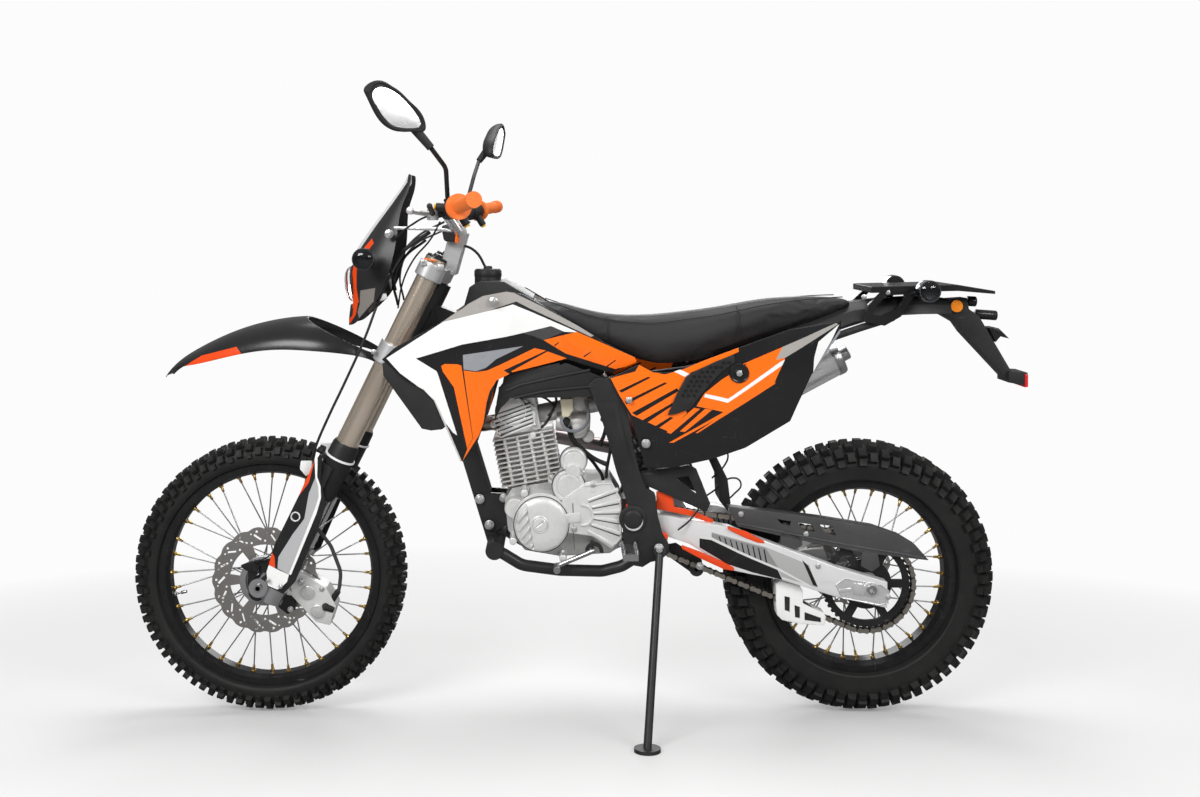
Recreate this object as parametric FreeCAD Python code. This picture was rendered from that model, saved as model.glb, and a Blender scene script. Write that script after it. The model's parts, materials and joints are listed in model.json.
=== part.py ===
import FreeCAD
import Part
import math
import os

# Enduro dirt bike: every sub-part is one STEP in parts/, in millimetres.
# The bike is drawn upright: X runs backwards along the wheelbase, Y to its right, Z up from the ground.
# It is then leaned to its left, onto the side stand that carries it.

V = FreeCAD.Vector

# Driving sizes
WHEELBASE = 1495.0
FRONT_TYRE_RADIUS = 346.0
REAR_TYRE_RADIUS = 342.0
LEAN_DEG = 9.0
RAKE_DEG = 26.0
VIEW_DISTANCE = 2700.0
CUT_OVERRUN = 400.0
FACE_GAP = 0.3
MOVING_GAP = 5.0
FACT_DIGITS = 7

# Photograph: where the wheel centres, the ground and the vanishing point of the lateral lines lie
FRONT_AXLE_X_PX = 272.0
REAR_AXLE_X_PX = 857.0
GROUND_Y_PX = 707.0
VANISH_X_PX = 560.0
VANISH_Y_PX = 226.0
MM_PER_PX = WHEELBASE / (REAR_AXLE_X_PX - FRONT_AXLE_X_PX)
MIDDLE_X_PX = (FRONT_AXLE_X_PX + REAR_AXLE_X_PX) / 2

# Wheels
SPOKE_COUNT = 36
SPOKE_RADIUS = 1.7
SPOKE_RIM_OFFSET = 7.0
TYRE_BEAD_GAP = 0.3
RIM_FLANGE_HEIGHT = 13.0
RIM_BED_DEPTH = 11.5
FRONT_RIM_SEAT_RADIUS = 267.0
FRONT_RIM_FLANGE_RADIUS = FRONT_RIM_SEAT_RADIUS + RIM_FLANGE_HEIGHT
FRONT_RIM_BED_RADIUS = FRONT_RIM_SEAT_RADIUS - RIM_BED_DEPTH
FRONT_RIM_WIDTH = 50.0
FRONT_TYRE_WIDTH = 88.0
FRONT_LUG_HEIGHT = 12.5
FRONT_LUG_COUNT = 59
FRONT_HUB_FLANGE_RADIUS = 34.0
FRONT_HUB_BARREL_RADIUS = 22.0
FRONT_HUB_FLANGE_SPREAD = 62.0
REAR_RIM_SEAT_RADIUS = 229.0
REAR_RIM_FLANGE_RADIUS = REAR_RIM_SEAT_RADIUS + RIM_FLANGE_HEIGHT
REAR_RIM_BED_RADIUS = REAR_RIM_SEAT_RADIUS - RIM_BED_DEPTH
REAR_RIM_WIDTH = 62.0
REAR_TYRE_WIDTH = 116.0
REAR_LUG_HEIGHT = 15.5
REAR_LUG_COUNT = 46
TYRE_BULGE_SHARE = 0.5
TYRE_SHOULDER_SHARE = 0.8
TYRE_CROWN_SHARE = 0.55
REAR_HUB_FLANGE_RADIUS = 50.0
REAR_HUB_BARREL_RADIUS = 30.0
REAR_HUB_FLANGE_SPREAD = 66.0
RIM_WALL = 4.0
GRIP_TIP_SHARE = 1.1
LEVER_PAD_SHARE = 1.4
TESSELLATION = 0.3
BORE_MIDDLE_SHARE = 0.75
TUBE_BEND_SHARE = 0.45
RIM_BED_SHARE = 0.5
RIM_WELL_SHARE = 0.4
SPOKE_LEAD_DEG = 62.0
SPOKE_CROSS_SHARE = 1.8
TOOTH_FOOT_SHARE = 0.28
TOOTH_TIP_SHARE = 0.1
SPIDER_OVERLAP = 1.0
SPROCKET_ARM_COUNT = 6
AXLE_LUG_SHARE = 0.8
ARM_BRIDGE_SHARE = 0.8
HUB_FLANGE_WALL = 11.0
AXLE_BORE_GAP = 0.12
FRONT_AXLE_RADIUS = 10.0
REAR_AXLE_RADIUS = 12.0
AXLE_HOLE_RADIUS = 6.0
AXLE_HEAD = 10.0
AXLE_END_GAP = 2.0

# Brake discs, rear sprocket and chain
DISC_THICKNESS = 4.0
FRONT_DISC_RADIUS = 132.0
FRONT_DISC_BAND = 34.0
FRONT_DISC_SIDE = 62.0
REAR_DISC_RADIUS = 110.0
REAR_DISC_BAND = 28.0
REAR_DISC_SIDE = 82.0
DISC_WAVE_DEPTH = 5.0
DISC_WAVES = 10
DISC_ARM_COUNT = 5
DISC_ARM_WIDTH = 18.0
DISC_SEAT_RADIUS = 44.0
CHAIN_PITCH = 15.875
CHAIN_PLATE_HALF_HEIGHT = 7.2
CHAIN_WAIST_SHARE = 0.62
CHAIN_SAG = 0.2
CHAIN_SIDE = 79.5
CHAIN_WIDTH = 17.0
CHAIN_ROLLER_HALF_HEIGHT = 4.6
SPROCKET_THICKNESS = 7.0
REAR_SPROCKET_TEETH = 46
FRONT_SPROCKET_TEETH = 13
SPROCKET_BAND = 16.0
SPROCKET_ARM_WIDTH = 20.0
SPROCKET_SEAT_RADIUS = 62.0
COUNTERSHAFT_X = 88.0
COUNTERSHAFT_Z = 520.0
CHAIN_RUN_GAP = 0.6

# Fork and steering
AXLE_LEAD = 37.7
CLAMP_OFFSET = 26.0
FORK_HALF_SPREAD = 100.0
FORK_TUBE_RADIUS = 28.0
FORK_TUBE_START = 383.0
FORK_TUBE_END = 912.0
FORK_SEAL_RADIUS = 31.5
FORK_SEAL_START = 352.0
FORK_LEG_RADIUS = 23.5
FORK_LEG_START = 62.0
FORK_FOOT_RADIUS = 29.0
FORK_FOOT_BOTTOM = -22.0
LOWER_CLAMP_START = 626.0
LOWER_CLAMP_LENGTH = 50.0
UPPER_CLAMP_START = 860.0
UPPER_CLAMP_LENGTH = 36.0
CLAMP_HALF_WIDTH = 133.0
CLAMP_FRONT = 34.0
CLAMP_BACK = 34.0
STEM_RADIUS = 15.0
HEAD_TUBE_RADIUS = 29.0
STEERING_DEG = 42.0

# Bars and controls
BAR_RADIUS = 11.1
BAR_BEND = 60.0
BAR_END_SIDE = 410.0
GRIP_RADIUS = 16.5
GRIP_FLANGE_RADIUS = 30.0
GRIP_FLANGE_WALL = 9.0
GRIP_SLEEVE_GAP = 0.2
BAR_RISER_WIDTH = 84.0
BAR_RISER_RADIUS = 22.0
SWITCH_RADIUS = 22.0
LEVER_RADIUS = 6.0
PERCH_RADIUS = 19.0
MIRROR_STEM_RADIUS = 5.5

# Body widths
TANK_HALF_WIDTH = 96.0
SEAT_HALF_WIDTH = 78.0
PANEL_WALL = 4.0
FENDER_WALL = 3.5
FENDER_HALF_WIDTH = 98.0
TAIL_DEPTH = 46.0
RAIL_SEAT_GAP = 0.9
TAIL_HALF_WIDTH = 66.0
SPAR_SIDE = 112.0
CRADLE_SIDE = 96.0
CRADLE_RADIUS = 14.0
SUBFRAME_SIDE = 58.0
SUBFRAME_RADIUS = 9.0
ARM_OUTER_SIDE = 122.0
ARM_INNER_SIDE = 93.0
ARM_ROOT_OUTER_SIDE = 94.0
ARM_ROOT_INNER_SIDE = 50.0
PIVOT_RADIUS = 20.0
PIVOT_BOLT_RADIUS = 12.0
PIVOT_CAP_RADIUS = 23.0
PIVOT_CAP_WALL = 5.0

# Side stand
STAND_PIVOT_X = 230.0
STAND_PIVOT_Z = 442.0
STAND_PIVOT_SIDE = 142.0
STAND_FOOT_FORWARD = 45.0
STAND_FOOT_SIDE = 325.0
STAND_ROD_RADIUS = 9.5
STAND_PAD_RADIUS = 30.0
STAND_PAD_WALL = 8.0
STAND_EYE_RADIUS = 15.0
STAND_EYE_HALF = 6.0
STAND_PIN_RADIUS = 6.0
STAND_PIN_GAP = 0.08
STAND_PIN_HEAD = 3.0
STAND_TILT_DEG = 14.3
STAND_TRAVEL_DEG = 118.0


def spot(point_px, side=0.0):
    """X and Z of the point seen at a pixel of the photograph, at a distance side to the left of the centre plane."""
    nearer = MM_PER_PX * (1 - side / VIEW_DISTANCE)
    x = (VANISH_X_PX - MIDDLE_X_PX) * MM_PER_PX + (point_px[0] - VANISH_X_PX) * nearer
    z = (GROUND_Y_PX - VANISH_Y_PX) * MM_PER_PX - (point_px[1] - VANISH_Y_PX) * nearer
    return x, z


def seen(point_px, side, y=None):
    """The same point as a vector; y is the place across the bike, which is minus side unless it is given."""
    x, z = spot(point_px, side)
    return V(x, -side if y is None else y, z)


FRONT_AXLE = V(-WHEELBASE / 2, 0, FRONT_TYRE_RADIUS)
RAKE = math.radians(RAKE_DEG)
LEAN = math.radians(LEAN_DEG)
FORK_UP = V(math.sin(RAKE), 0, math.cos(RAKE))
FORK_FRONT = V(-math.cos(RAKE), 0, math.sin(RAKE))
LATERAL = V(0, 1, 0)
ORIGIN = V(0, 0, 0)


def fork_point(along, front=0.0, y=0.0):
    """A point given along the fork from the axle's foot, ahead of the line of the fork legs, and across."""
    return FRONT_AXLE + FORK_UP * along + FORK_FRONT * (front - AXLE_LEAD) + LATERAL * y


STEERING_POINT = fork_point(LOWER_CLAMP_START, -CLAMP_OFFSET)


def rod(start, end, radius):
    """A round bar from start to end."""
    return Part.makeCylinder(radius, (end - start).Length, start, end - start)


def tube(points, radius, bend):
    """A round bar along straight runs that are joined by tangent arcs."""
    edges = []
    start = points[0]
    for before, corner, after in zip(points, points[1:], points[2:]):
        back, ahead = before - corner, after - corner
        turn = math.pi - back.getAngle(ahead)
        shorter = min(back.Length, ahead.Length)
        reach = min(bend * math.tan(turn / 2), TUBE_BEND_SHARE * shorter)
        arc_radius = reach / math.tan(turn / 2)
        back.normalize()
        ahead.normalize()
        inward = back + ahead
        inward.normalize()
        arc_start, arc_end = corner + back * reach, corner + ahead * reach
        middle = corner + inward * (arc_radius / math.cos(turn / 2) - arc_radius)
        edges.append(Part.LineSegment(start, arc_start).toShape())
        edges.append(Part.Arc(arc_start, middle, arc_end).toShape())
        start = arc_end
    edges.append(Part.LineSegment(start, points[-1]).toShape())
    profile = Part.Wire(Part.makeCircle(radius, points[0], points[1] - points[0]))
    return Part.Wire(edges).makePipeShell([profile], True, True)


def mirrored(shape):
    """The same shape on the other side of the bike's centre plane."""
    return shape.mirror(ORIGIN, LATERAL)


def both(shape):
    """A shape and its mirror image, as solids that don't touch."""
    return Part.makeCompound(shape.Solids + mirrored(shape).Solids)


def prism(corners, y_low, y_high):
    """A straight solid across the bike with an outline of X and Z pairs."""
    points = [V(x, y_low, z) for x, z in corners]
    return Part.Face(Part.makePolygon(points + points[:1])).extrude(LATERAL * (y_high - y_low))


def seen_prism(outline_px, side, y_low, y_high):
    """A prism whose outline is read from the photograph at the distance side."""
    return prism([spot(point, side) for point in outline_px], y_low, y_high)


def plan_prism(corners, z_low, z_high):
    """A straight solid upwards with an outline of X and Y pairs."""
    points = [V(x, y, z_low) for x, y in corners]
    return Part.Face(Part.makePolygon(points + points[:1])).extrude(V(0, 0, z_high - z_low))


def curved_slab(stations, wall, z_low, z_high, tilt=0.0):
    """An upright sheet that follows stations of X and side, wall thick, whose top leans out by tilt times its height."""
    outer = [V(x, -side, z_low) for x, side in stations]
    inner = [V(x, -side + wall, z_low) for x, side in stations]
    outer_curve, inner_curve = Part.BSplineCurve(), Part.BSplineCurve()
    outer_curve.interpolate(outer)
    inner_curve.interpolate(inner)
    edges = [
        outer_curve.toShape(),
        Part.LineSegment(outer[-1], inner[-1]).toShape(),
        inner_curve.toShape(),
        Part.LineSegment(inner[0], outer[0]).toShape(),
    ]
    height = z_high - z_low
    return Part.Face(Part.Wire(edges)).extrude(V(0, -tilt * height, height))


def revolved(outline, centre):
    """A ring about the lateral axis through centre, from an outline of radius and Y pairs."""
    points = [centre + V(radius, y, 0) for radius, y in outline]
    return Part.Face(Part.makePolygon(points + points[:1])).revolve(centre, LATERAL, 360)


# Wheels

def tyre_rows(outer, half_width, flange, rim_half, lug_height):
    """The section through a lug and the one through the gap beside it, as radius and Y pairs."""
    bead = (flange + TYRE_BEAD_GAP, rim_half - RIM_WALL / 2)
    bulge = (flange + (outer - flange) * TYRE_BULGE_SHARE, half_width)
    shoulder = (flange + (outer - flange) * TYRE_SHOULDER_SHARE, half_width)
    rows = []
    for crown in (outer, outer - lug_height):
        half = [bead, bulge, shoulder, (crown, half_width * TYRE_CROWN_SHARE)]
        rows.append([(radius, -y) for radius, y in half] + list(reversed(half)))
    return rows


def ring_row(centre, row, angle):
    """The points of a section's radius and Y pairs, turned to an angle about the lateral axis."""
    return [centre + V(radius * math.cos(angle), y, radius * math.sin(angle)) for radius, y in row]


def flat_face(points):
    """The face inside a closed run of points."""
    return Part.Face(Part.makePolygon(points + points[:1]))


def tyre(centre, outer, width, flange, rim_width, lug_height, lugs):
    """A tyre about centre with a row of cross lugs, one of them at the bottom."""
    lug_row, gap_row = tyre_rows(outer, width / 2, flange, rim_width / 2, lug_height)
    step = math.pi / lugs
    start = -(math.pi + step) / 2
    faces = []
    for index in range(2 * lugs):
        row = gap_row if index % 2 else lug_row
        near = ring_row(centre, row, start + index * step)
        far = ring_row(centre, row, start + (index + 1) * step)
        for place in range(len(row)):
            faces.append(flat_face([near[place - 1], near[place], far[place], far[place - 1]]))
        lug = ring_row(centre, lug_row, start + index * step)[2:-2]
        gap = ring_row(centre, gap_row, start + index * step)[3:-3]
        faces.append(flat_face(lug + list(reversed(gap))))
    shell = Part.Shell(faces)
    solid = Part.Solid(shell)
    if solid.Volume < 0:
        solid.reverse()
    return solid


def rim(centre, seat, flange, bed, width):
    """A rim with a well between two upstanding flanges."""
    half = width / 2
    outline = [
        (bed, -half * RIM_BED_SHARE),
        (seat - RIM_WALL, -half),
        (flange, -half),
        (flange, -half + RIM_WALL),
        (seat, -half + RIM_WALL),
        (bed + RIM_WALL, -half * RIM_WELL_SHARE),
        (bed + RIM_WALL, half * RIM_WELL_SHARE),
        (seat, half - RIM_WALL),
        (flange, half - RIM_WALL),
        (flange, half),
        (seat - RIM_WALL, half),
        (bed, half * RIM_BED_SHARE),
    ]
    return revolved(outline, centre)


def spoked_hub(centre, bed, flange_radius, barrel_radius, spread, axle_radius, half_length):
    """A hub with two flanges and its crossed spokes, bored for its axle."""
    hub = rod(centre - LATERAL * half_length, centre + LATERAL * half_length, barrel_radius)
    for way in (-1, 1):
        flange_side = way * spread / 2
        low = centre + LATERAL * (flange_side - HUB_FLANGE_WALL / 2)
        hub = hub.fuse(rod(low, low + LATERAL * HUB_FLANGE_WALL, flange_radius))
    spokes = []
    step = 2 * math.pi / SPOKE_COUNT
    for index in range(SPOKE_COUNT):
        way = 1 if index % 2 else -1
        lead = 1 if index % 4 < 2 else -1
        rim_angle = index * step
        hub_angle = rim_angle + lead * math.radians(SPOKE_LEAD_DEG)
        hub_radius = flange_radius - HUB_FLANGE_WALL / 2
        hub_y = way * spread / 2 + lead * SPOKE_RADIUS * SPOKE_CROSS_SHARE
        start = centre + V(hub_radius * math.cos(hub_angle), hub_y, hub_radius * math.sin(hub_angle))
        reach = bed - 2 * FACE_GAP
        end = centre + V(reach * math.cos(rim_angle), way * SPOKE_RIM_OFFSET, reach * math.sin(rim_angle))
        spokes.append(rod(start, end, SPOKE_RADIUS))
    hub = hub.fuse(spokes)
    over = LATERAL * CUT_OVERRUN
    return hub.cut(rod(centre - over, centre + over, axle_radius + AXLE_BORE_GAP))


def waved_circle(centre, radius, depth, waves):
    """A closed smooth curve whose radius rises and falls round the circle."""
    points = []
    for index in range(waves * 4):
        angle = index * math.pi / (2 * waves)
        reach = radius - depth / 2 + depth / 2 * math.cos(angle * waves)
        points.append(centre + V(reach * math.cos(angle), 0, reach * math.sin(angle)))
    curve = Part.BSplineCurve()
    curve.interpolate(points, PeriodicFlag=True)
    return Part.Wire(curve.toShape())


def spider(centre, outer, inner_seat, bore, arms, arm_width, thickness):
    """Straight arms from a ring about the hub out to a radius, thickness wide across the bike."""
    shape = rod(centre, centre + LATERAL * thickness, inner_seat)
    for index in range(arms):
        angle = 2 * math.pi * index / arms
        arm = Part.makeBox(outer, thickness, arm_width, centre - V(0, 0, arm_width / 2))
        arm.rotate(centre, LATERAL, math.degrees(angle))
        shape = shape.fuse(arm)
    over = LATERAL * CUT_OVERRUN
    return shape.cut(rod(centre - over, centre + over, bore))


def brake_disc(centre, radius, band, bore):
    """A waved disc with arms that carry it from the hub."""
    middle = centre - LATERAL * DISC_THICKNESS / 2
    face = Part.Face(waved_circle(middle, radius, DISC_WAVE_DEPTH, DISC_WAVES))
    ring = face.extrude(LATERAL * DISC_THICKNESS)
    hole = Part.Face(waved_circle(middle, radius - band, DISC_WAVE_DEPTH, DISC_WAVES))
    ring = ring.cut(hole.extrude(LATERAL * DISC_THICKNESS))
    arms = spider(middle, radius - band / 2, DISC_SEAT_RADIUS, bore, DISC_ARM_COUNT, DISC_ARM_WIDTH, DISC_THICKNESS)
    return ring.fuse(arms).removeSplitter()


def pitch_radius(teeth):
    """Pitch radius of a chain wheel."""
    return CHAIN_PITCH / (2 * math.sin(math.pi / teeth))


def sprocket(centre, teeth, bore):
    """A toothed ring on arms, whose tips stay clear inside the chain's rollers."""
    tip = pitch_radius(teeth) - CHAIN_ROLLER_HALF_HEIGHT - CHAIN_RUN_GAP
    root = tip - CHAIN_ROLLER_HALF_HEIGHT
    tooth = [(-TOOTH_FOOT_SHARE, root), (-TOOTH_TIP_SHARE, tip), (TOOTH_TIP_SHARE, tip), (TOOTH_FOOT_SHARE, root)]
    points = []
    for index in range(teeth):
        for share, reach in tooth:
            angle = 2 * math.pi * (index + share) / teeth
            points.append(centre + V(reach * math.cos(angle), 0, reach * math.sin(angle)))
    face = Part.Face(Part.makePolygon(points + points[:1]))
    shape = face.extrude(LATERAL * SPROCKET_THICKNESS)
    inner = root - SPROCKET_BAND
    window = rod(centre, centre + LATERAL * SPROCKET_THICKNESS, inner)
    arms = spider(centre, inner + SPIDER_OVERLAP, SPROCKET_SEAT_RADIUS, bore, SPROCKET_ARM_COUNT, SPROCKET_ARM_WIDTH,
                  SPROCKET_THICKNESS)
    return shape.cut(window).fuse(arms).removeSplitter()


def outer_tangent(centre_a, radius_a, centre_b, radius_b, way):
    """The ends of the straight run that touches two circles, above them with way 1 and below with -1."""
    across = centre_b - centre_a
    along = math.atan2(across.z, across.x)
    normal = along + way * math.acos((radius_a - radius_b) / across.Length)
    out = V(math.cos(normal), 0, math.sin(normal))
    return centre_a + out * radius_a, centre_b + out * radius_b


def loop_face(centre_a, radius_a, centre_b, radius_b):
    """The face inside a belt round two circles."""
    top_a, top_b = outer_tangent(centre_a, radius_a, centre_b, radius_b, 1)
    low_a, low_b = outer_tangent(centre_a, radius_a, centre_b, radius_b, -1)
    edges = [
        Part.LineSegment(top_a, top_b).toShape(),
        Part.Arc(top_b, centre_b + V(radius_b, 0, 0), low_b).toShape(),
        Part.LineSegment(low_b, low_a).toShape(),
        Part.Arc(low_a, centre_a - V(radius_a, 0, 0), top_a).toShape(),
    ]
    return Part.Face(Part.Wire(edges))


def facing(angle):
    """The direction at an angle from the front-to-back axis in the centre plane."""
    return V(math.cos(angle), 0, math.sin(angle))


def belt_angles(centre_a, radius_a, centre_b, radius_b):
    """The slope of the line between two circles, and how far from it a belt leaves them."""
    across = centre_b - centre_a
    return math.atan2(across.z, across.x), math.acos((radius_a - radius_b) / across.Length)


def scalloped_loop(centre_a, radius_a, centre_b, radius_b):
    """The outer edge of a chain on two pitch circles: high over each pin and low between pins."""
    slope, reach = belt_angles(centre_a, radius_a, centre_b, radius_b)
    top_a, top_b = outer_tangent(centre_a, radius_a, centre_b, radius_b, 1)
    low_a, low_b = outer_tangent(centre_a, radius_a, centre_b, radius_b, -1)
    run = (top_b - top_a).Length
    arc_b = 2 * reach * radius_b
    arc_a = 2 * (math.pi - reach) * radius_a
    length = 2 * run + arc_a + arc_b
    count = 2 * round(length / CHAIN_PITCH)
    points = []
    for index in range(count):
        way = length * index / count
        height = CHAIN_PLATE_HALF_HEIGHT * (CHAIN_WAIST_SHARE if index % 2 else 1)
        if way < run:
            points.append(top_a + (top_b - top_a) * (way / run) + facing(slope + reach) * height)
        elif way < run + arc_b:
            points.append(centre_b + facing(slope + reach - (way - run) / radius_b) * (radius_b + height))
        elif way < 2 * run + arc_b:
            share = (way - run - arc_b) / run
            points.append(low_b + (low_a - low_b) * share + facing(slope - reach) * height)
        else:
            angle = slope - reach - (way - 2 * run - arc_b) / radius_a
            points.append(centre_a + facing(angle) * (radius_a + height))
    return flat_face(points)


def arc_points(centre, radius, start, turn):
    """Points along an arc, close enough that its chords sag by CHAIN_SAG at most."""
    count = math.ceil(abs(turn) / (2 * math.acos(1 - CHAIN_SAG / radius)))
    return [centre + facing(start + turn * index / count) * radius for index in range(count + 1)]


def coarse_loop(centre_a, radius_a, centre_b, radius_b):
    """The face inside a belt round two circles, with straight edges only."""
    slope, reach = belt_angles(centre_a, radius_a, centre_b, radius_b)
    far = arc_points(centre_b, radius_b, slope + reach, -2 * reach)
    near = arc_points(centre_a, radius_a, slope - reach, -2 * (math.pi - reach))
    return flat_face(far + near)


def chain_loop(front_centre, rear_centre):
    """The chain as one closed loop between the two sprockets' pitch circles."""
    shift = -LATERAL * CHAIN_WIDTH / 2
    front, rear = front_centre + shift, rear_centre + shift
    front_radius, rear_radius = pitch_radius(FRONT_SPROCKET_TEETH), pitch_radius(REAR_SPROCKET_TEETH)
    half = CHAIN_PLATE_HALF_HEIGHT
    outer = scalloped_loop(front, front_radius, rear, rear_radius)
    inner = coarse_loop(front, front_radius - half, rear, rear_radius - half)
    band = outer.extrude(LATERAL * CHAIN_WIDTH).cut(inner.extrude(LATERAL * CHAIN_WIDTH))
    groove_half = SPROCKET_THICKNESS / 2 + CHAIN_RUN_GAP
    groove_front = front_centre - LATERAL * groove_half
    groove_rear = rear_centre - LATERAL * groove_half
    roller = CHAIN_ROLLER_HALF_HEIGHT
    groove = coarse_loop(groove_front, front_radius - roller, groove_rear, rear_radius - roller)
    return band.cut(groove.extrude(LATERAL * groove_half * 2))


# Fork and steering

def clamp(start, length, bore_radius):
    """A triple clamp: a plate across both fork tubes and the stem, bored for the tubes."""
    corners_share = [
        (-1.0, -0.4), (-0.9, 0.55), (-0.62, 1.0), (-0.3, 0.45), (0.3, 0.45), (0.62, 1.0), (0.9, 0.55), (1.0, -0.4),
        (0.86, -1.0), (0.56, -1.0), (0.28, -1.35), (-0.28, -1.35), (-0.56, -1.0), (-0.86, -1.0),
    ]
    points = []
    for across, front in corners_share:
        reach = CLAMP_FRONT if front > 0 else CLAMP_BACK
        points.append(fork_point(start, front * reach, across * CLAMP_HALF_WIDTH))
    plate = Part.Face(Part.makePolygon(points + points[:1])).extrude(FORK_UP * length)
    for way in (-1, 1):
        y = way * FORK_HALF_SPREAD
        plate = plate.cut(rod(fork_point(start - length, 0, y), fork_point(start + 2 * length, 0, y), bore_radius))
    return plate


def triple_clamps():
    """Both clamps on the stem that turns in the head tube, and the riser that holds the bar."""
    bore = FORK_TUBE_RADIUS + FACE_GAP / 2
    lower = clamp(LOWER_CLAMP_START, LOWER_CLAMP_LENGTH, bore)
    upper = clamp(UPPER_CLAMP_START, UPPER_CLAMP_LENGTH, bore)
    low = fork_point(LOWER_CLAMP_START, -CLAMP_OFFSET)
    high = fork_point(UPPER_CLAMP_START + UPPER_CLAMP_LENGTH, -CLAMP_OFFSET)
    return lower.fuse([upper, rod(low, high, STEM_RADIUS), bar_riser(high)])


def fork_tubes():
    """Upper tubes of the upside-down fork with their caps."""
    y = LATERAL * FORK_HALF_SPREAD
    leg = rod(fork_point(FORK_TUBE_START) + y, fork_point(FORK_TUBE_END) + y, FORK_TUBE_RADIUS)
    return both(leg)


def fork_legs():
    """Lower legs with the seal collars above and the axle feet below."""
    y = LATERAL * FORK_HALF_SPREAD
    collar = rod(fork_point(FORK_SEAL_START) + y, fork_point(FORK_TUBE_START - FACE_GAP) + y, FORK_SEAL_RADIUS)
    leg = rod(fork_point(FORK_LEG_START) + y, fork_point(FORK_SEAL_START) + y, FORK_LEG_RADIUS)
    foot = rod(fork_point(FORK_FOOT_BOTTOM) + y, fork_point(FORK_LEG_START) + y, FORK_FOOT_RADIUS)
    half = FORK_FOOT_RADIUS - MOVING_GAP
    lug_low = FRONT_AXLE + y - LATERAL * half
    lug = rod(lug_low, lug_low + LATERAL * 2 * half, FORK_FOOT_RADIUS * AXLE_LUG_SHARE)
    shape = collar.fuse([leg, foot, lug])
    over = LATERAL * CUT_OVERRUN
    shape = shape.cut(rod(FRONT_AXLE, FRONT_AXLE + over, FRONT_AXLE_RADIUS + AXLE_BORE_GAP))
    return both(shape)


def front_axle():
    """The hollow axle with a head at its left end."""
    reach = FORK_HALF_SPREAD + FORK_FOOT_RADIUS
    axle = rod(FRONT_AXLE - LATERAL * reach, FRONT_AXLE + LATERAL * reach, FRONT_AXLE_RADIUS)
    return axle.cut(rod(FRONT_AXLE - LATERAL * 2 * reach, FRONT_AXLE - LATERAL * reach / 2, AXLE_HOLE_RADIUS))


FORK_GUARD_PX = [(316, 452), (322, 455), (321, 482), (326, 504), (320, 523), (295, 582), (283, 594), (267, 586),
                 (266, 574), (274, 546), (300, 493), (314, 462)]
FORK_GUARD_REACH = 40.0
GUARD_BOSS_RADIUS = 9.0


def fork_guards():
    """Plastic guards over the front and outside of the lower legs."""
    outer_side = FORK_HALF_SPREAD + FORK_GUARD_REACH
    plate = seen_prism(FORK_GUARD_PX, outer_side, -outer_side, -outer_side + PANEL_WALL)
    y = -LATERAL * FORK_HALF_SPREAD
    front = FORK_GUARD_REACH - PANEL_WALL
    low, high = FORK_LEG_START, FORK_SEAL_START - MOVING_GAP
    shell = rod(fork_point(low) + y, fork_point(high) + y, FORK_GUARD_REACH)
    hollow = rod(fork_point(low - high) + y, fork_point(2 * high) + y, front)
    behind = Part.makeBox(2 * CUT_OVERRUN, 2 * CUT_OVERRUN, 2 * CUT_OVERRUN, V(0, -CUT_OVERRUN, -CUT_OVERRUN))
    behind.rotate(ORIGIN, LATERAL, RAKE_DEG)
    behind.translate(fork_point(low) + y)
    inside = Part.makeBox(4 * CUT_OVERRUN, 2 * CUT_OVERRUN, 4 * CUT_OVERRUN, V(-2 * CUT_OVERRUN, 0, 0))
    inside.translate(V(fork_point(low).x, -FORK_HALF_SPREAD, -CUT_OVERRUN))
    shell = shell.cut(hollow).cut(behind).cut(inside)
    plate = plate.cut(rod(fork_point(-high) + y, fork_point(2 * high) + y, FORK_FOOT_RADIUS + MOVING_GAP / 2))
    boss_start = low + GUARD_BOSS_RADIUS * 2
    boss = rod(fork_point(boss_start) + y, fork_point(boss_start, front + PANEL_WALL / 2) + y, GUARD_BOSS_RADIUS)
    leg = rod(fork_point(low) + y, fork_point(high) + y, FORK_LEG_RADIUS + FACE_GAP)
    return both(shell.fuse([plate, boss]).cut(leg))


BAR_CENTRE_PX = (460, 232)
BAR_GRIP_PX = (458, 207)
BAR_END_PX = (473, 200)
BAR_BEND_SIDE = 175.0
BAR_CLAMP_SIDE = 60.0
BAR_GRIP_SIDE = 290.0


def bar_run(way):
    """The straight outer run of the bar on one side: the grip's inner end and the bar's end."""
    grip_x, grip_z = spot(BAR_GRIP_PX, BAR_GRIP_SIDE)
    end_x, end_z = spot(BAR_END_PX, BAR_END_SIDE)
    return V(grip_x, -way * BAR_GRIP_SIDE, grip_z), V(end_x, -way * BAR_END_SIDE, end_z)


def run_point(way, side):
    """The point of the bar's outer run at a distance side from the centre plane."""
    grip, end = bar_run(way)
    return grip + (end - grip) * ((side - BAR_GRIP_SIDE) / (BAR_END_SIDE - BAR_GRIP_SIDE))


def bar_half(way):
    """The bar's centre line on one side, from its clamp outwards."""
    x, z = spot(BAR_CENTRE_PX)
    return [V(x, -way * BAR_CLAMP_SIDE, z), run_point(way, BAR_BEND_SIDE), bar_run(way)[1]]


def handlebar():
    """One bent tube from grip to grip."""
    return tube(list(reversed(bar_half(1))) + bar_half(-1), BAR_RADIUS, BAR_BEND)


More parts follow.
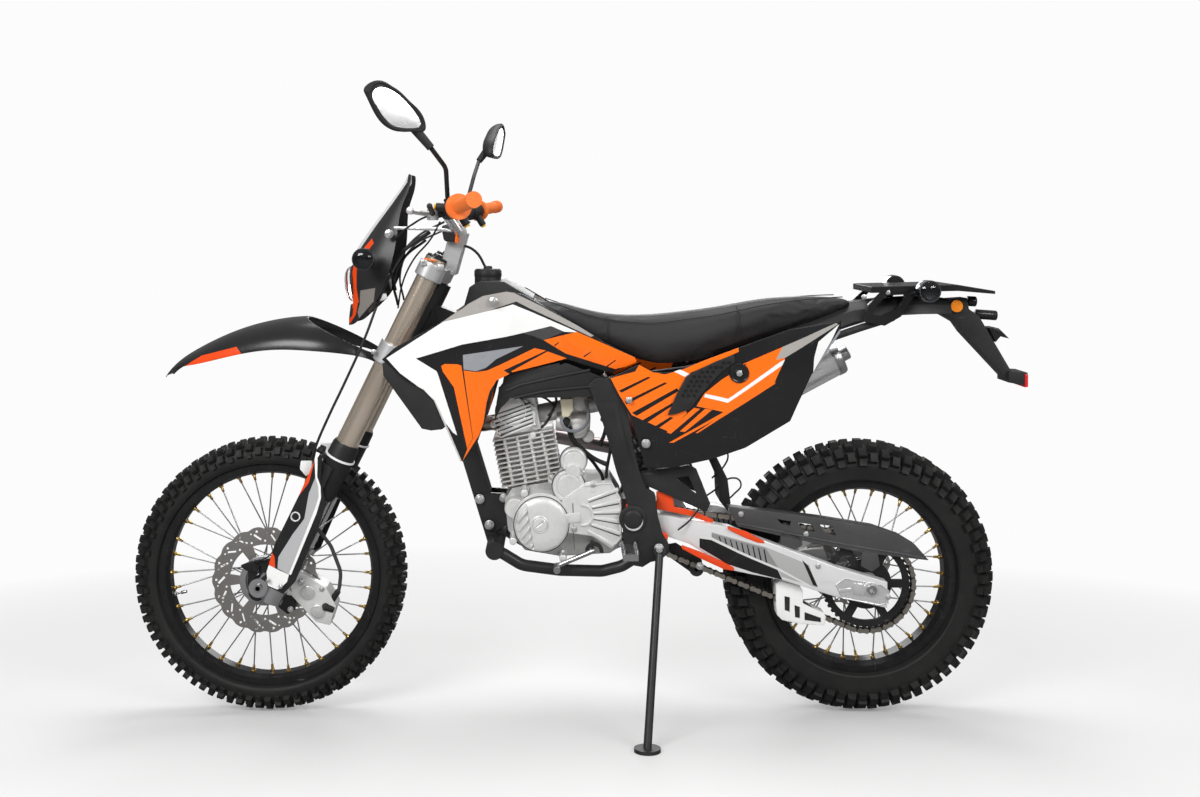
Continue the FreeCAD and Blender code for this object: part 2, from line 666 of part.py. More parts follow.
def bar_riser(foot):
    """The block on the upper clamp that holds the bar."""
    x, z = spot(BAR_CENTRE_PX)
    half = BAR_RISER_WIDTH / 2
    cap = rod(V(x, -half, z), V(x, half, z), BAR_RISER_RADIUS)
    reach = BAR_RISER_RADIUS
    corners = [(x - reach, z), (foot.x - reach, foot.z - UPPER_CLAMP_LENGTH / 2),
               (foot.x + reach, foot.z - UPPER_CLAMP_LENGTH / 2), (x + reach, z)]
    post = prism(corners, -half, half)
    over = LATERAL * CUT_OVERRUN
    return cap.fuse(post).cut(rod(V(x, 0, z) - over, V(x, 0, z) + over, BAR_RADIUS + FACE_GAP / 2))


def grips():
    """Rubber grips with round flanges at their inner ends."""
    solids = []
    for way in (1, -1):
        start, end = bar_run(way)
        direction = (end - start).normalize()
        grip = rod(start, end, GRIP_RADIUS)
        flange = rod(start, start + direction * GRIP_FLANGE_WALL, GRIP_FLANGE_RADIUS)
        tip = rod(end - direction * GRIP_FLANGE_WALL, end + direction * GRIP_FLANGE_WALL, GRIP_RADIUS * GRIP_TIP_SHARE)
        hole = rod(start - direction * CUT_OVERRUN, end + direction * GRIP_SLEEVE_GAP, BAR_RADIUS + GRIP_SLEEVE_GAP)
        solids += grip.fuse([flange, tip]).cut(hole).Solids
    return Part.makeCompound(solids)


LEVER_TIP_FORWARD = 88.0
LEVER_ROOT_FORWARD = 44.0
LEVER_TIP_SIDE = 385.0
LEVER_DROP = 10.0
PERCH_START_SIDE = 198.0
PERCH_END_SIDE = 236.0
SWITCH_END_SIDE = 284.0
MIRROR_FOOT_SIDE = 205.0
LEVER_ARM_SHARE = 0.6


def bar_controls():
    """Switch housings with the lever perches and their levers."""
    solids = []
    for way in (1, -1):
        perch_start, perch_end = run_point(way, PERCH_START_SIDE), run_point(way, PERCH_END_SIDE)
        switch_end = run_point(way, SWITCH_END_SIDE)
        perch = rod(perch_start, perch_end, PERCH_RADIUS)
        housing = rod(perch_end, switch_end, SWITCH_RADIUS)
        root = perch_end + V(-LEVER_ROOT_FORWARD, 0, -LEVER_DROP)
        tip = run_point(way, LEVER_TIP_SIDE) + V(-LEVER_TIP_FORWARD, 0, -LEVER_DROP)
        arm = rod((perch_start + perch_end) * 0.5, root, PERCH_RADIUS * LEVER_ARM_SHARE)
        lever = rod(root, tip, LEVER_RADIUS)
        shape = perch.fuse([housing, arm, lever, Part.makeSphere(LEVER_RADIUS * GRIP_TIP_SHARE, tip)])
        direction = (switch_end - perch_start).normalize() * CUT_OVERRUN
        bore = rod(perch_start - direction, perch_start + direction, BAR_RADIUS + FACE_GAP / 2)
        solids += shape.cut(bore).Solids
    return Part.makeCompound(solids)


MIRROR_KNEE_PX = (446, 168)
MIRROR_NECK_PX = (431, 148)
MIRROR_HEAD_PX = (398, 107)
RIGHT_MIRROR_KNEE_PX = (474, 176)
RIGHT_MIRROR_NECK_PX = (479, 161)
RIGHT_MIRROR_HEAD_PX = (498, 141)
MIRROR_KNEE_SIDE = 290.0
MIRROR_NECK_SIDE = 360.0
MIRROR_HEAD_SIDE = 400.0
MIRROR_LENGTH = 140.0
MIRROR_DEPTH = 36.0
MIRROR_NECK_RADIUS = 9.0
MIRROR_ROOT_RADIUS = 12.0
MIRROR_TURN_DEG = (32.0, 77.0)
MIRROR_OUTLINE_SHARE = [
    (0.53, 0.21), (0.43, 0.02), (0.2, -0.29), (0.02, -0.37), (-0.26, -0.37), (-0.46, -0.34), (-0.46, -0.2),
    (-0.16, 0.13), (0.09, 0.31), (0.38, 0.38),
]
MIRROR_BACK_SHARE = [(1.0, 0.0), (1.0, 0.25), (0.86, 0.7), (0.5, 1.0)]
MIRROR_ROOT_SHARE = (-0.2, -0.16, 0.55)


def mirror_point(centre, outward, backward, shares):
    """A point of a mirror head from its shares of length outwards and up, and of depth behind the glass."""
    across, up, depth = shares
    return centre + outward * (across * MIRROR_LENGTH) + V(0, 0, up * MIRROR_LENGTH) + backward * (depth * MIRROR_DEPTH)


def mirror_head(centre, neck, outward, backward):
    """An egg-shaped head with a flat glass side and a domed back, on a tapered neck."""
    wires = []
    for size, depth in MIRROR_BACK_SHARE:
        curve = Part.BSplineCurve()
        points = [mirror_point(centre, outward, backward, (size * a, size * b, depth)) for a, b in MIRROR_OUTLINE_SHARE]
        curve.interpolate(points, PeriodicFlag=True)
        wires.append(Part.Wire(curve.toShape()))
    head = Part.makeLoft(wires, True, False)
    root = mirror_point(centre, outward, backward, MIRROR_ROOT_SHARE)
    return head.fuse(Part.makeCone(MIRROR_NECK_RADIUS, MIRROR_ROOT_RADIUS, (root - neck).Length, neck, root - neck))


def mirrors():
    """Two bar mirrors on bent stems that stand on the lever perches."""
    solids = []
    tables = (
        (1, MIRROR_KNEE_PX, MIRROR_NECK_PX, MIRROR_HEAD_PX, MIRROR_TURN_DEG[0]),
        (-1, RIGHT_MIRROR_KNEE_PX, RIGHT_MIRROR_NECK_PX, RIGHT_MIRROR_HEAD_PX, MIRROR_TURN_DEG[1]),
    )
    for way, knee_px, neck_px, head_px, turn_deg in tables:
        turn = math.radians(turn_deg)
        outward = V(math.cos(turn), math.sin(turn), 0) * -way
        backward = V(-math.sin(turn), math.cos(turn), 0)
        centre, neck = seen(head_px, way * MIRROR_HEAD_SIDE), seen(neck_px, way * MIRROR_NECK_SIDE)
        stem = tube([run_point(way, MIRROR_FOOT_SIDE), seen(knee_px, way * MIRROR_KNEE_SIDE), neck],
                    MIRROR_STEM_RADIUS, BAR_BEND)
        perch = rod(run_point(way, PERCH_START_SIDE), run_point(way, PERCH_END_SIDE), PERCH_RADIUS + FACE_GAP)
        solids += stem.fuse(mirror_head(centre, neck, outward, backward)).cut(perch).Solids
    return Part.makeCompound(solids)


# Front bodywork

MASK_PX = [(409, 174), (399, 190), (387, 202), (380, 208), (368, 227), (356, 246), (351, 262), (349, 280),
           (353, 300), (349, 320), (352, 325), (378, 300), (388, 270), (398, 242), (396, 216), (406, 202)]
MASK_WIDTHS_PX = [(170, 40.0), (190, 52.0), (208, 66.0), (228, 84.0), (248, 101.0), (268, 108.0), (290, 106.0),
                  (306, 92.0), (328, 60.0)]
MASK_STRAP_PX = [(384, 240), (378, 292)]
MASK_STRAP_RADIUS = 9.0
LAMP_PX = [(347, 266), (343, 276), (345, 290), (350, 304), (372, 304), (384, 282), (386, 262), (372, 246),
           (357, 252)]
LAMP_HALF_WIDTH = 66.0


def mask_body(inset):
    """The mask's outline from the front, inset by a wall and reaching through the bike's front."""
    half = [(width - inset, spot((MASK_PX[0][0], row))[1]) for row, width in MASK_WIDTHS_PX]
    ring = half + [(-y, z) for y, z in reversed(half)]
    return flat_face([V(-CUT_OVERRUN, y, z) for y, z in ring]).extrude(V(2 * CUT_OVERRUN, 0, 0))


def mask_half_width(row_px):
    """The mask's half width at a row of the photograph."""
    for (low, narrow), (high, wide) in zip(MASK_WIDTHS_PX, MASK_WIDTHS_PX[1:]):
        if row_px <= high:
            return narrow + (wide - narrow) * (row_px - low) / (high - low)
    return MASK_WIDTHS_PX[-1][1]


def headlight_mask():
    """The mask round the headlamp: a shell that is open towards the fork, with straps to the fork tubes."""
    outline = [spot(point) for point in MASK_PX]
    widest = max(width for row, width in MASK_WIDTHS_PX)
    shell = prism(outline, -widest, widest).common(mask_body(0))
    inside = prism(outline, -widest, widest).common(mask_body(PANEL_WALL))
    inside.translate(V(PANEL_WALL * 2, 0, 0))
    shell = shell.cut(inside)
    for place in MASK_STRAP_PX:
        x, z = spot(place)
        along = (z - FRONT_AXLE.z) / math.cos(RAKE)
        for way in (-1, 1):
            y = way * (mask_half_width(place[1]) - PANEL_WALL)
            shell = shell.fuse(rod(V(x, y, z), fork_point(along, 0, way * FORK_HALF_SPREAD), MASK_STRAP_RADIUS))
    lamp = seen_prism(LAMP_PX, 0, -LAMP_HALF_WIDTH - FACE_GAP, LAMP_HALF_WIDTH + FACE_GAP)
    shell = shell.cut(lamp)
    for way in (-1, 1):
        y = LATERAL * way * FORK_HALF_SPREAD
        shell = shell.cut(rod(fork_point(0) + y, fork_point(2 * FORK_TUBE_END) + y, FORK_TUBE_RADIUS + FACE_GAP))
    return shell


def headlamp():
    """The lamp with its lens in the mask's front."""
    return seen_prism(LAMP_PX, 0, -LAMP_HALF_WIDTH, LAMP_HALF_WIDTH)


FRONT_INDICATOR_PX = (374, 261)
FRONT_INDICATOR_HEAD_PX = (364, 259)


def front_indicators():
    """The front indicators on the sides of the mask."""
    reach = mask_half_width(FRONT_INDICATOR_PX[1])
    root = seen(FRONT_INDICATOR_PX, 0, -reach - FACE_GAP)
    x, z = spot(FRONT_INDICATOR_HEAD_PX, reach + INDICATOR_REACH)
    head = V(x, -reach - INDICATOR_REACH, z)
    out = V(root.x, head.y, root.z)
    lamp = rod(head - LATERAL * INDICATOR_HEAD_WALL / 2, head + LATERAL * INDICATOR_HEAD_WALL / 2, INDICATOR_HEAD_RADIUS)
    return both(rod(root, out, INDICATOR_STALK_RADIUS).fuse(lamp))


FRONT_FENDER_TOP_PX = [(170, 373), (200, 349), (241, 331), (282, 321), (319, 319), (350, 325), (370, 337),
                       (386, 357)]
FRONT_FENDER_EDGE_PX = [(171, 376), (206, 365), (242, 356), (282, 350), (316, 351), (342, 354), (362, 358),
                        (382, 368)]
FRONT_FENDER_WIDTH_SHARE = [0.3, 0.6, 0.78, 0.92, 1.0, 0.92, 0.76, 0.6]
FENDER_MOUNT_RADIUS = 26.0
FENDER_MOUNT_LENGTH = 34.0


def front_fender():
    """The high front mudguard, bolted under the lower clamp."""
    rows = []
    for top_px, edge_px, share in zip(FRONT_FENDER_TOP_PX, FRONT_FENDER_EDGE_PX, FRONT_FENDER_WIDTH_SHARE):
        half = share * FENDER_HALF_WIDTH
        x, top = spot(top_px)
        rows.append((x, half, top, min(spot(edge_px, half)[1], top - 2 * FENDER_WALL)))
    sheet = curved_sheet(rows, FENDER_WALL)
    mount_end = fork_point(LOWER_CLAMP_START - FACE_GAP)
    mount = rod(mount_end - FORK_UP * FENDER_MOUNT_LENGTH, mount_end, FENDER_MOUNT_RADIUS)
    above = Part.makeBox(2 * CUT_OVERRUN, 2 * CUT_OVERRUN, CUT_OVERRUN, V(-CUT_OVERRUN, -CUT_OVERRUN, 0))
    above.rotate(ORIGIN, LATERAL, RAKE_DEG)
    above.translate(mount_end)
    return sheet.fuse(mount).cut(above)


# Frame

DOWN_TUBE_KNEE_PX = (446, 372)
DOWN_TUBE_FOOT_PX = (497, 538)
DOWN_TUBE_HALF_WIDTH = 27.0
DOWN_TUBE_START_SHARE = 0.5
DOWN_TUBE_HALF_DEPTH = 22.0
BACKBONE_HALF_WIDTH = 24.0
CROSS_RADIUS = 20.0
SPAR_TOP_PX = (602, 386)
SPAR_WALL = 34.0


def beam(start, end, half_depth, half_width):
    """A flat-sided beam between two points in the centre plane."""
    along = end - start
    up = V(-along.z, 0, along.x)
    up.normalize()
    corners = [start + up * half_depth, end + up * half_depth, end - up * half_depth, start - up * half_depth]
    return prism([(p.x, p.z) for p in corners], -half_width, half_width)


def head_tube_ends():
    """The ends of the head tube's axis, a little short of both clamps."""
    low = fork_point(LOWER_CLAMP_START + LOWER_CLAMP_LENGTH + MOVING_GAP, -CLAMP_OFFSET)
    high = fork_point(UPPER_CLAMP_START - MOVING_GAP, -CLAMP_OFFSET)
    return low, high


def cross_point():
    """The middle of the cross piece between the tops of the side spars."""
    x, z = spot(SPAR_TOP_PX, SPAR_SIDE)
    return V(x, 0, z)


def frame_backbone():
    """Head tube, backbone and the cross piece that carries the side spars, the seat rails and the tank."""
    low, high = head_tube_ends()
    head = rod(low, high, HEAD_TUBE_RADIUS)
    middle = (low + high) * 0.5
    back = cross_point()
    backbone = beam(middle, back, HEAD_TUBE_RADIUS, BACKBONE_HALF_WIDTH)
    reach = LATERAL * (spar_inner_side() - FACE_GAP)
    cross = rod(back - reach, back + reach, CROSS_RADIUS)
    shape = head.fuse([backbone, cross])
    bore = rod(low - FORK_UP * CUT_OVERRUN, high + FORK_UP * CUT_OVERRUN, STEM_RADIUS + FACE_GAP)
    return shape.cut(bore)


MOUNT_PLATE_PX = [(476, 492), (510, 494), (510, 522), (496, 532), (486, 530)]
MOUNT_PLATE_SIDE = 30.0
MOUNT_PLATE_WALL = 7.0


def down_tube(cases):
    """The single down tube with the foot that joins the two cradle tubes."""
    knee_point, end = seen(DOWN_TUBE_KNEE_PX, 0), seen(DOWN_TUBE_FOOT_PX, 0)
    low, high = head_tube_ends()
    start = low + FORK_UP * (high - low).Length * DOWN_TUBE_START_SHARE
    upper = beam(start, knee_point, DOWN_TUBE_HALF_DEPTH, DOWN_TUBE_HALF_WIDTH)
    lower = beam(knee_point, end, DOWN_TUBE_HALF_DEPTH, DOWN_TUBE_HALF_WIDTH)
    foot_reach = CRADLE_SIDE + CRADLE_RADIUS
    foot = rod(end - LATERAL * foot_reach, end + LATERAL * foot_reach, DOWN_TUBE_HALF_DEPTH)
    half_width = LATERAL * DOWN_TUBE_HALF_WIDTH
    knee = rod(knee_point - half_width, knee_point + half_width, DOWN_TUBE_HALF_DEPTH)
    plate = seen_prism(MOUNT_PLATE_PX, MOUNT_PLATE_SIDE, -MOUNT_PLATE_SIDE, -MOUNT_PLATE_SIDE + MOUNT_PLATE_WALL)
    shape = upper.fuse([lower, foot, knee, plate, mirrored(plate)])
    return shape.cut(cases).cut(frame_backbone()).cut(rod(low, high, HEAD_TUBE_RADIUS + FACE_GAP))


CRADLE_PX = [(504, 554), (522, 565), (560, 570), (602, 571), (622, 566), (636, 557)]
CRADLE_BEND = 60.0


def cradle_tubes(plates):
    """The two lower tubes that run under the engine from the down tube's foot to the pivot plates."""
    end = seen(DOWN_TUBE_FOOT_PX, 0)
    points = [V(end.x, -CRADLE_SIDE, end.z)] + [seen(point, CRADLE_SIDE) for point in CRADLE_PX]
    shape = tube(points, CRADLE_RADIUS, CRADLE_BEND)
    over = LATERAL * CUT_OVERRUN
    foot = rod(end - over, end + over, DOWN_TUBE_HALF_DEPTH + FACE_GAP)
    return both(shape.cut(foot).cut(plates))


SPAR_PX = [(588, 384), (596, 377), (612, 378), (622, 392), (629, 420), (632, 440), (639, 470), (646, 488),
           (655, 494), (657, 513), (662, 532), (668, 542), (668, 551), (660, 558), (650, 560), (642, 565),
           (631, 563), (624, 541), (622, 522), (628, 506), (618, 478), (608, 440), (600, 414)]
PIVOT_PX = (633, 519)
GUSSET_PX = [(636, 473), (690, 466), (697, 470), (711, 505), (707, 513), (697, 509), (655, 490), (640, 484)]
GUSSET_WINDOW_PX = [(676, 479), (689, 477), (697, 495)]
GUSSET_WALL = 8.0


def pivot_point():
    """The swingarm pivot in the centre plane."""
    x, z = spot(PIVOT_PX, SPAR_SIDE)
    return V(x, 0, z)


def spar_inner_side():
    """Distance from the centre plane to the inner faces of the spars."""
    return SPAR_SIDE - SPAR_WALL / 2


def side_spars():
    """Both side spars, each in one piece with its pivot plate and rear gusset."""
    inner = spar_inner_side()
    spar = seen_prism(SPAR_PX, SPAR_SIDE, -inner - SPAR_WALL, -inner)
    gusset = seen_prism(GUSSET_PX, SPAR_SIDE, -inner - GUSSET_WALL, -inner)
    window = seen_prism(GUSSET_WINDOW_PX, SPAR_SIDE, -CUT_OVERRUN, 0)
    pivot = pivot_point()
    hole = rod(pivot - LATERAL * CUT_OVERRUN, pivot, PIVOT_BOLT_RADIUS + FACE_GAP)
    return both(spar.fuse(gusset.cut(window)).cut(hole))


SUBFRAME_PX = [(600, 388), (690, 376), (790, 352), (860, 328), (892, 318)]
SUBFRAME_STRUT_PX = [(640, 474), (690, 428), (764, 358)]
STRUT_FOOT_SIDE = 80.0


def rail_point(index):
    """A corner of the left seat rail's centre line."""
    return seen(SUBFRAME_PX[index], SUBFRAME_SIDE)


def subframe():
    """Seat rails with their struts and cross tubes."""
    rail = tube([rail_point(index) for index in range(len(SUBFRAME_PX))], SUBFRAME_RADIUS, CRADLE_BEND)
    foot = seen(SUBFRAME_STRUT_PX[0], SPAR_SIDE, -STRUT_FOOT_SIDE)
    strut_foot = rod(foot, foot - LATERAL * (spar_inner_side() - FACE_GAP - STRUT_FOOT_SIDE), SUBFRAME_RADIUS)
    strut = tube([foot] + [seen(point, SUBFRAME_SIDE) for point in SUBFRAME_STRUT_PX[1:]], SUBFRAME_RADIUS, CRADLE_BEND)
    side = rail.fuse([strut, strut_foot])
    shape = side.fuse(mirrored(side))
    for index in (2, 4):
        point = rail_point(index)
        shape = shape.fuse(rod(point, mirrored(Part.Vertex(point)).Point, SUBFRAME_RADIUS))
    back = cross_point()
    over = LATERAL * CUT_OVERRUN
    return shape.cut(rod(back - over, back + over, CROSS_RADIUS + FACE_GAP))


ARM_PX = [(630, 515), (654, 517), (730, 528), (767, 542), (799, 554), (838, 568), (868, 577), (890, 583),
          (887, 608), (836, 597), (816, 590), (782, 580), (733, 571), (690, 546), (654, 536), (630, 532)]
ARM_PLAN_SHARE = [(0.0, 0.0), (0.17, 0.0), (0.3, 0.6), (0.48, 1.0), (1.0, 1.0)]
ARM_BRIDGE_START_SHARE = 0.22
ARM_BRIDGE_END_SHARE = 0.32


def swingarm(rear_axle):
    """The alloy swingarm: two beams that run outside the wheel, a bridge and the pivot tube."""
    pivot = pivot_point()
    outline = [spot(point, ARM_OUTER_SIDE) for point in ARM_PX]
    front = pivot.x - PIVOT_RADIUS
    length = rear_axle.x + 2 * PIVOT_RADIUS - front
    outer, inner = [], []
    for share, spread in ARM_PLAN_SHARE:
        x = front + share * length
        outer.append((x, -(ARM_ROOT_OUTER_SIDE + spread * (ARM_OUTER_SIDE - ARM_ROOT_OUTER_SIDE))))
        inner.append((x, -(ARM_ROOT_INNER_SIDE + spread * (ARM_INNER_SIDE - ARM_ROOT_INNER_SIDE))))
    plan = plan_prism(outer + list(reversed(inner)), 0, 3 * CUT_OVERRUN)
    beam_left = prism(outline, -ARM_OUTER_SIDE, 0).common(plan)
    boss = rod(pivot - LATERAL * ARM_ROOT_OUTER_SIDE, pivot - LATERAL * ARM_ROOT_INNER_SIDE, PIVOT_RADIUS)
    side = beam_left.fuse(boss)
    bridge_x = front + ARM_BRIDGE_START_SHARE * length
    bridge_end = front + ARM_BRIDGE_END_SHARE * length
    bridge_box = plan_prism([(bridge_x, -ARM_INNER_SIDE), (bridge_end, -ARM_INNER_SIDE), (bridge_end, ARM_INNER_SIDE),
                             (bridge_x, ARM_INNER_SIDE)], 0, 3 * CUT_OVERRUN)
    bridge = prism(outline, -ARM_INNER_SIDE * ARM_BRIDGE_SHARE, ARM_INNER_SIDE * ARM_BRIDGE_SHARE).common(bridge_box)
    tube_across = rod(pivot - LATERAL * ARM_ROOT_INNER_SIDE, pivot + LATERAL * ARM_ROOT_INNER_SIDE, PIVOT_RADIUS)
    shape = side.fuse([mirrored(side), bridge, tube_across, pivot_bolt()])
    over = LATERAL * CUT_OVERRUN
    return shape.cut(rod(rear_axle - over, rear_axle + over, REAR_AXLE_RADIUS + AXLE_BORE_GAP))


def pivot_bolt():
    """The bolt that the swingarm turns on, with the round caps at its ends."""
    pivot = pivot_point()
    inner = spar_inner_side() + SPAR_WALL + FACE_GAP
    bolt = rod(pivot - LATERAL * inner, pivot + LATERAL * inner, PIVOT_BOLT_RADIUS)
    caps = [rod(pivot + LATERAL * way * inner, pivot + LATERAL * way * (inner + PIVOT_CAP_WALL), PIVOT_CAP_RADIUS)
            for way in (-1, 1)]
    return bolt.fuse(caps)


# Engine

CASE_PX = [(505, 500), (512, 488), (560, 480), (612, 482), (622, 498), (622, 545), (610, 553), (560, 556), (525, 550),
           (508, 530)]
CASE_HALF_WIDTH = 66.0
COVER_SIDE = 118.0
IGNITION_PX = (541, 521)
IGNITION_RADIUS = 68.0
STARTER_COVER_PX = (568, 485)
STARTER_COVER_RADIUS = 38.0
STARTER_COVER_SIDE = 106.0
STARTER_PX = (574, 463)
STARTER_RADIUS = 28.0
SPROCKET_COVER_PX = [(562, 500), (584, 484), (612, 482), (621, 498), (622, 538), (612, 549), (592, 536), (562, 532)]
SPROCKET_COVER_WALL = 22.0
CLUTCH_RADIUS = 70.0
CLUTCH_OFFSET = 27.0
CYLINDER_BASE_PX = (532, 484)
CYLINDER_TILT_DEG = 11.0
CYLINDER_LENGTH = 128.0
CYLINDER_FOOT = 12.0
CYLINDER_HALF_DEPTH = 76.0
CYLINDER_HALF_WIDTH = 74.0
CYLINDER_CORE_SHARE = 0.72
FIN_COUNT = 11
FIN_WALL = 3.2
HEAD_HEIGHT = 82.0
HEAD_COVER_RADIUS = 42.0
HEAD_COVER_WALL = 12.0
HEAD_WIDTH_SHARE = 0.85
HEAD_DEPTH_SHARE = 0.62
HEAD_COVER_SHARE = 0.55
INTAKE_SHARE = 0.34
EXHAUST_SHARE = 0.35


def engine_cases():
    """The crankcase as one block with the outline of the real one."""
    return seen_prism(CASE_PX, CASE_HALF_WIDTH, -CASE_HALF_WIDTH, CASE_HALF_WIDTH)


def side_covers():
    """The ignition, starter and sprocket covers on the left with the starter motor, and the clutch cover."""
    base, up = cylinder_frame()
    barrel = block(base, 0, CYLINDER_LENGTH, CYLINDER_HALF_DEPTH + FACE_GAP, CYLINDER_HALF_WIDTH + FACE_GAP)
    face = LATERAL * (CASE_HALF_WIDTH + FACE_GAP)
    ignition = seen(IGNITION_PX, COVER_SIDE)
    left = rod(ignition, V(ignition.x, 0, ignition.z) - face, IGNITION_RADIUS)
    starter = seen(STARTER_COVER_PX, STARTER_COVER_SIDE)
    left = left.fuse(rod(starter, V(starter.x, 0, starter.z) - face, STARTER_COVER_RADIUS))
    motor = seen(STARTER_PX, STARTER_COVER_SIDE)
    left = left.fuse(rod(motor, V(motor.x, 0, motor.z) - face, STARTER_RADIUS))
    cover = seen_prism(SPROCKET_COVER_PX, COVER_SIDE, -COVER_SIDE, -COVER_SIDE + SPROCKET_COVER_WALL)
    return Part.makeCompound(left.fuse(cover).cut(barrel).Solids + clutch_cover().Solids)


def clutch_cover():
    """The round cover on the right of the crankcase."""
    centre = seen(IGNITION_PX, COVER_SIDE)
    low = V(centre.x + CLUTCH_OFFSET, CASE_HALF_WIDTH + FACE_GAP, centre.z)
    return rod(low, V(low.x, COVER_SIDE, low.z), CLUTCH_RADIUS)


def cylinder_frame():
    """The cylinder's foot and the direction it rises in."""
    x, z = spot(CYLINDER_BASE_PX, CYLINDER_HALF_WIDTH)
    tilt = math.radians(CYLINDER_TILT_DEG)
    return V(x, 0, z), V(-math.sin(tilt), 0, math.cos(tilt))


def block(base, start, end, half_depth, half_width):
    """A box about the cylinder's line from start to end along it."""
    shape = Part.makeBox(2 * half_depth, 2 * half_width, end - start, V(-half_depth, -half_width, start))
    shape.rotate(ORIGIN, LATERAL, -CYLINDER_TILT_DEG)
    shape.translate(base)
    return shape


def cylinder(cases):
    """The finned cylinder on the crankcase."""
    base, up = cylinder_frame()
    core = block(base, -CYLINDER_FOOT, CYLINDER_LENGTH, CYLINDER_HALF_DEPTH * CYLINDER_CORE_SHARE,
                 CYLINDER_HALF_WIDTH * CYLINDER_CORE_SHARE)
    step = CYLINDER_LENGTH / FIN_COUNT
    fins = []
    for index in range(FIN_COUNT):
        low = (index + 0.5) * step - FIN_WALL / 2
        fins.append(block(base, low, low + FIN_WALL, CYLINDER_HALF_DEPTH, CYLINDER_HALF_WIDTH))
    return core.fuse(fins).cut(cases)


def cylinder_head():
    """The head with the round cover of its cam wheel."""
    base, up = cylinder_frame()
    low = CYLINDER_LENGTH
    half_width = CYLINDER_HALF_WIDTH * HEAD_WIDTH_SHARE
    shape = block(base, low, low + HEAD_HEIGHT, CYLINDER_HALF_DEPTH * HEAD_DEPTH_SHARE, half_width)
    centre = base + up * (low + HEAD_HEIGHT * HEAD_COVER_SHARE)
    cover = rod(centre - LATERAL * (half_width + HEAD_COVER_WALL), centre, HEAD_COVER_RADIUS)
    return shape.fuse(cover)


def head_port(way, height_share):
    """The middle of a port face of the head and the direction out of it: way 1 is the rear."""
    base, up = cylinder_frame()
    out = V(up.z, 0, -up.x) * way
    return base + up * (CYLINDER_LENGTH + HEAD_HEIGHT * height_share) + out * (
        CYLINDER_HALF_DEPTH * HEAD_DEPTH_SHARE + FACE_GAP), out


CARB_RADIUS = 24.0
CARB_LENGTH = 150.0
CARB_BOWL_PLACE_SHARE = 0.55
CARB_BOWL_RADIUS = 22.0
CARB_BOWL_DROP = 58.0
CARB_TOP_RISE = 48.0


def carburettor():
    """The intake pipe behind the head with the carburettor's body and float bowl."""
    start, out = head_port(1, INTAKE_SHARE)
    end = start + out * CARB_LENGTH
    centre = start + out * CARB_LENGTH * CARB_BOWL_PLACE_SHARE
    bowl = rod(centre - V(0, 0, CARB_BOWL_DROP), centre + V(0, 0, CARB_TOP_RISE), CARB_BOWL_RADIUS)
    return rod(start, end, CARB_RADIUS).fuse(bowl)


# Exhaust

HEADER_RADIUS = 19.0
HEADER_BEND = 70.0
HEADER_SIDE = 152.0
HEADER_FORWARD = 56.0
HEADER_CORNER_PX = (556, 436)
HEADER_BACK_PX = (640, 452)
SILENCER_SIDE = 134.0
SILENCER_START_PX = (700, 430)
SILENCER_END_PX = (838, 356)
SILENCER_RADIUS = 46.0
SILENCER_NECK_SHARE = 0.12
SILENCER_OUTLET_RADIUS = 18.0
SILENCER_OUTLET_DEPTH = 60.0


def silencer_ends():
    """The ends of the silencer's axis on the right of the bike."""
    return seen(SILENCER_START_PX, -SILENCER_SIDE), seen(SILENCER_END_PX, -SILENCER_SIDE)


def exhaust_header():
    """The header from the front of the head, round the right of the engine and back to the silencer."""
    port, out = head_port(-1, EXHAUST_SHARE)
    front = port + out * HEADER_FORWARD
    start, end = silencer_ends()
    along = (end - start).normalize()
    points = [port, front, V(front.x, HEADER_SIDE, front.z - HEADER_RADIUS), seen(HEADER_CORNER_PX, -HEADER_SIDE),
              seen(HEADER_BACK_PX, -HEADER_SIDE), start - along * (2 * HEADER_RADIUS), start - along * FACE_GAP]
    return tube(points, HEADER_RADIUS, HEADER_BEND)


def silencer():
    """The silencer with an open outlet."""
    start, end = silencer_ends()
    body_start = start + (end - start) * SILENCER_NECK_SHARE
    along = (end - start).normalize()
    cone = Part.makeCone(HEADER_RADIUS, SILENCER_RADIUS, (body_start - start).Length, start, end - start)
    can = rod(body_start, end, SILENCER_RADIUS).fuse(cone)
    outlet = rod(end - along * SILENCER_OUTLET_DEPTH, end + along * SILENCER_OUTLET_DEPTH, SILENCER_OUTLET_RADIUS)
    return can.cut(outlet)


# Bodywork

TANK_TOP_PX = [(466, 303), (471, 286), (482, 280), (506, 280), (534, 296)]
TANK_UNDER_PX = [(534, 300), (558, 318), (586, 334), (612, 350), (606, 358), (560, 354), (500, 352), (470, 332)]
TANK_NOSE_SHARE = 0.5
TANK_SHOULDER_SHARE = 0.35
TANK_CAP_PX = (488, 280)
TANK_CAP_RADIUS = 34.0
TANK_CAP_HEIGHT = 24.0


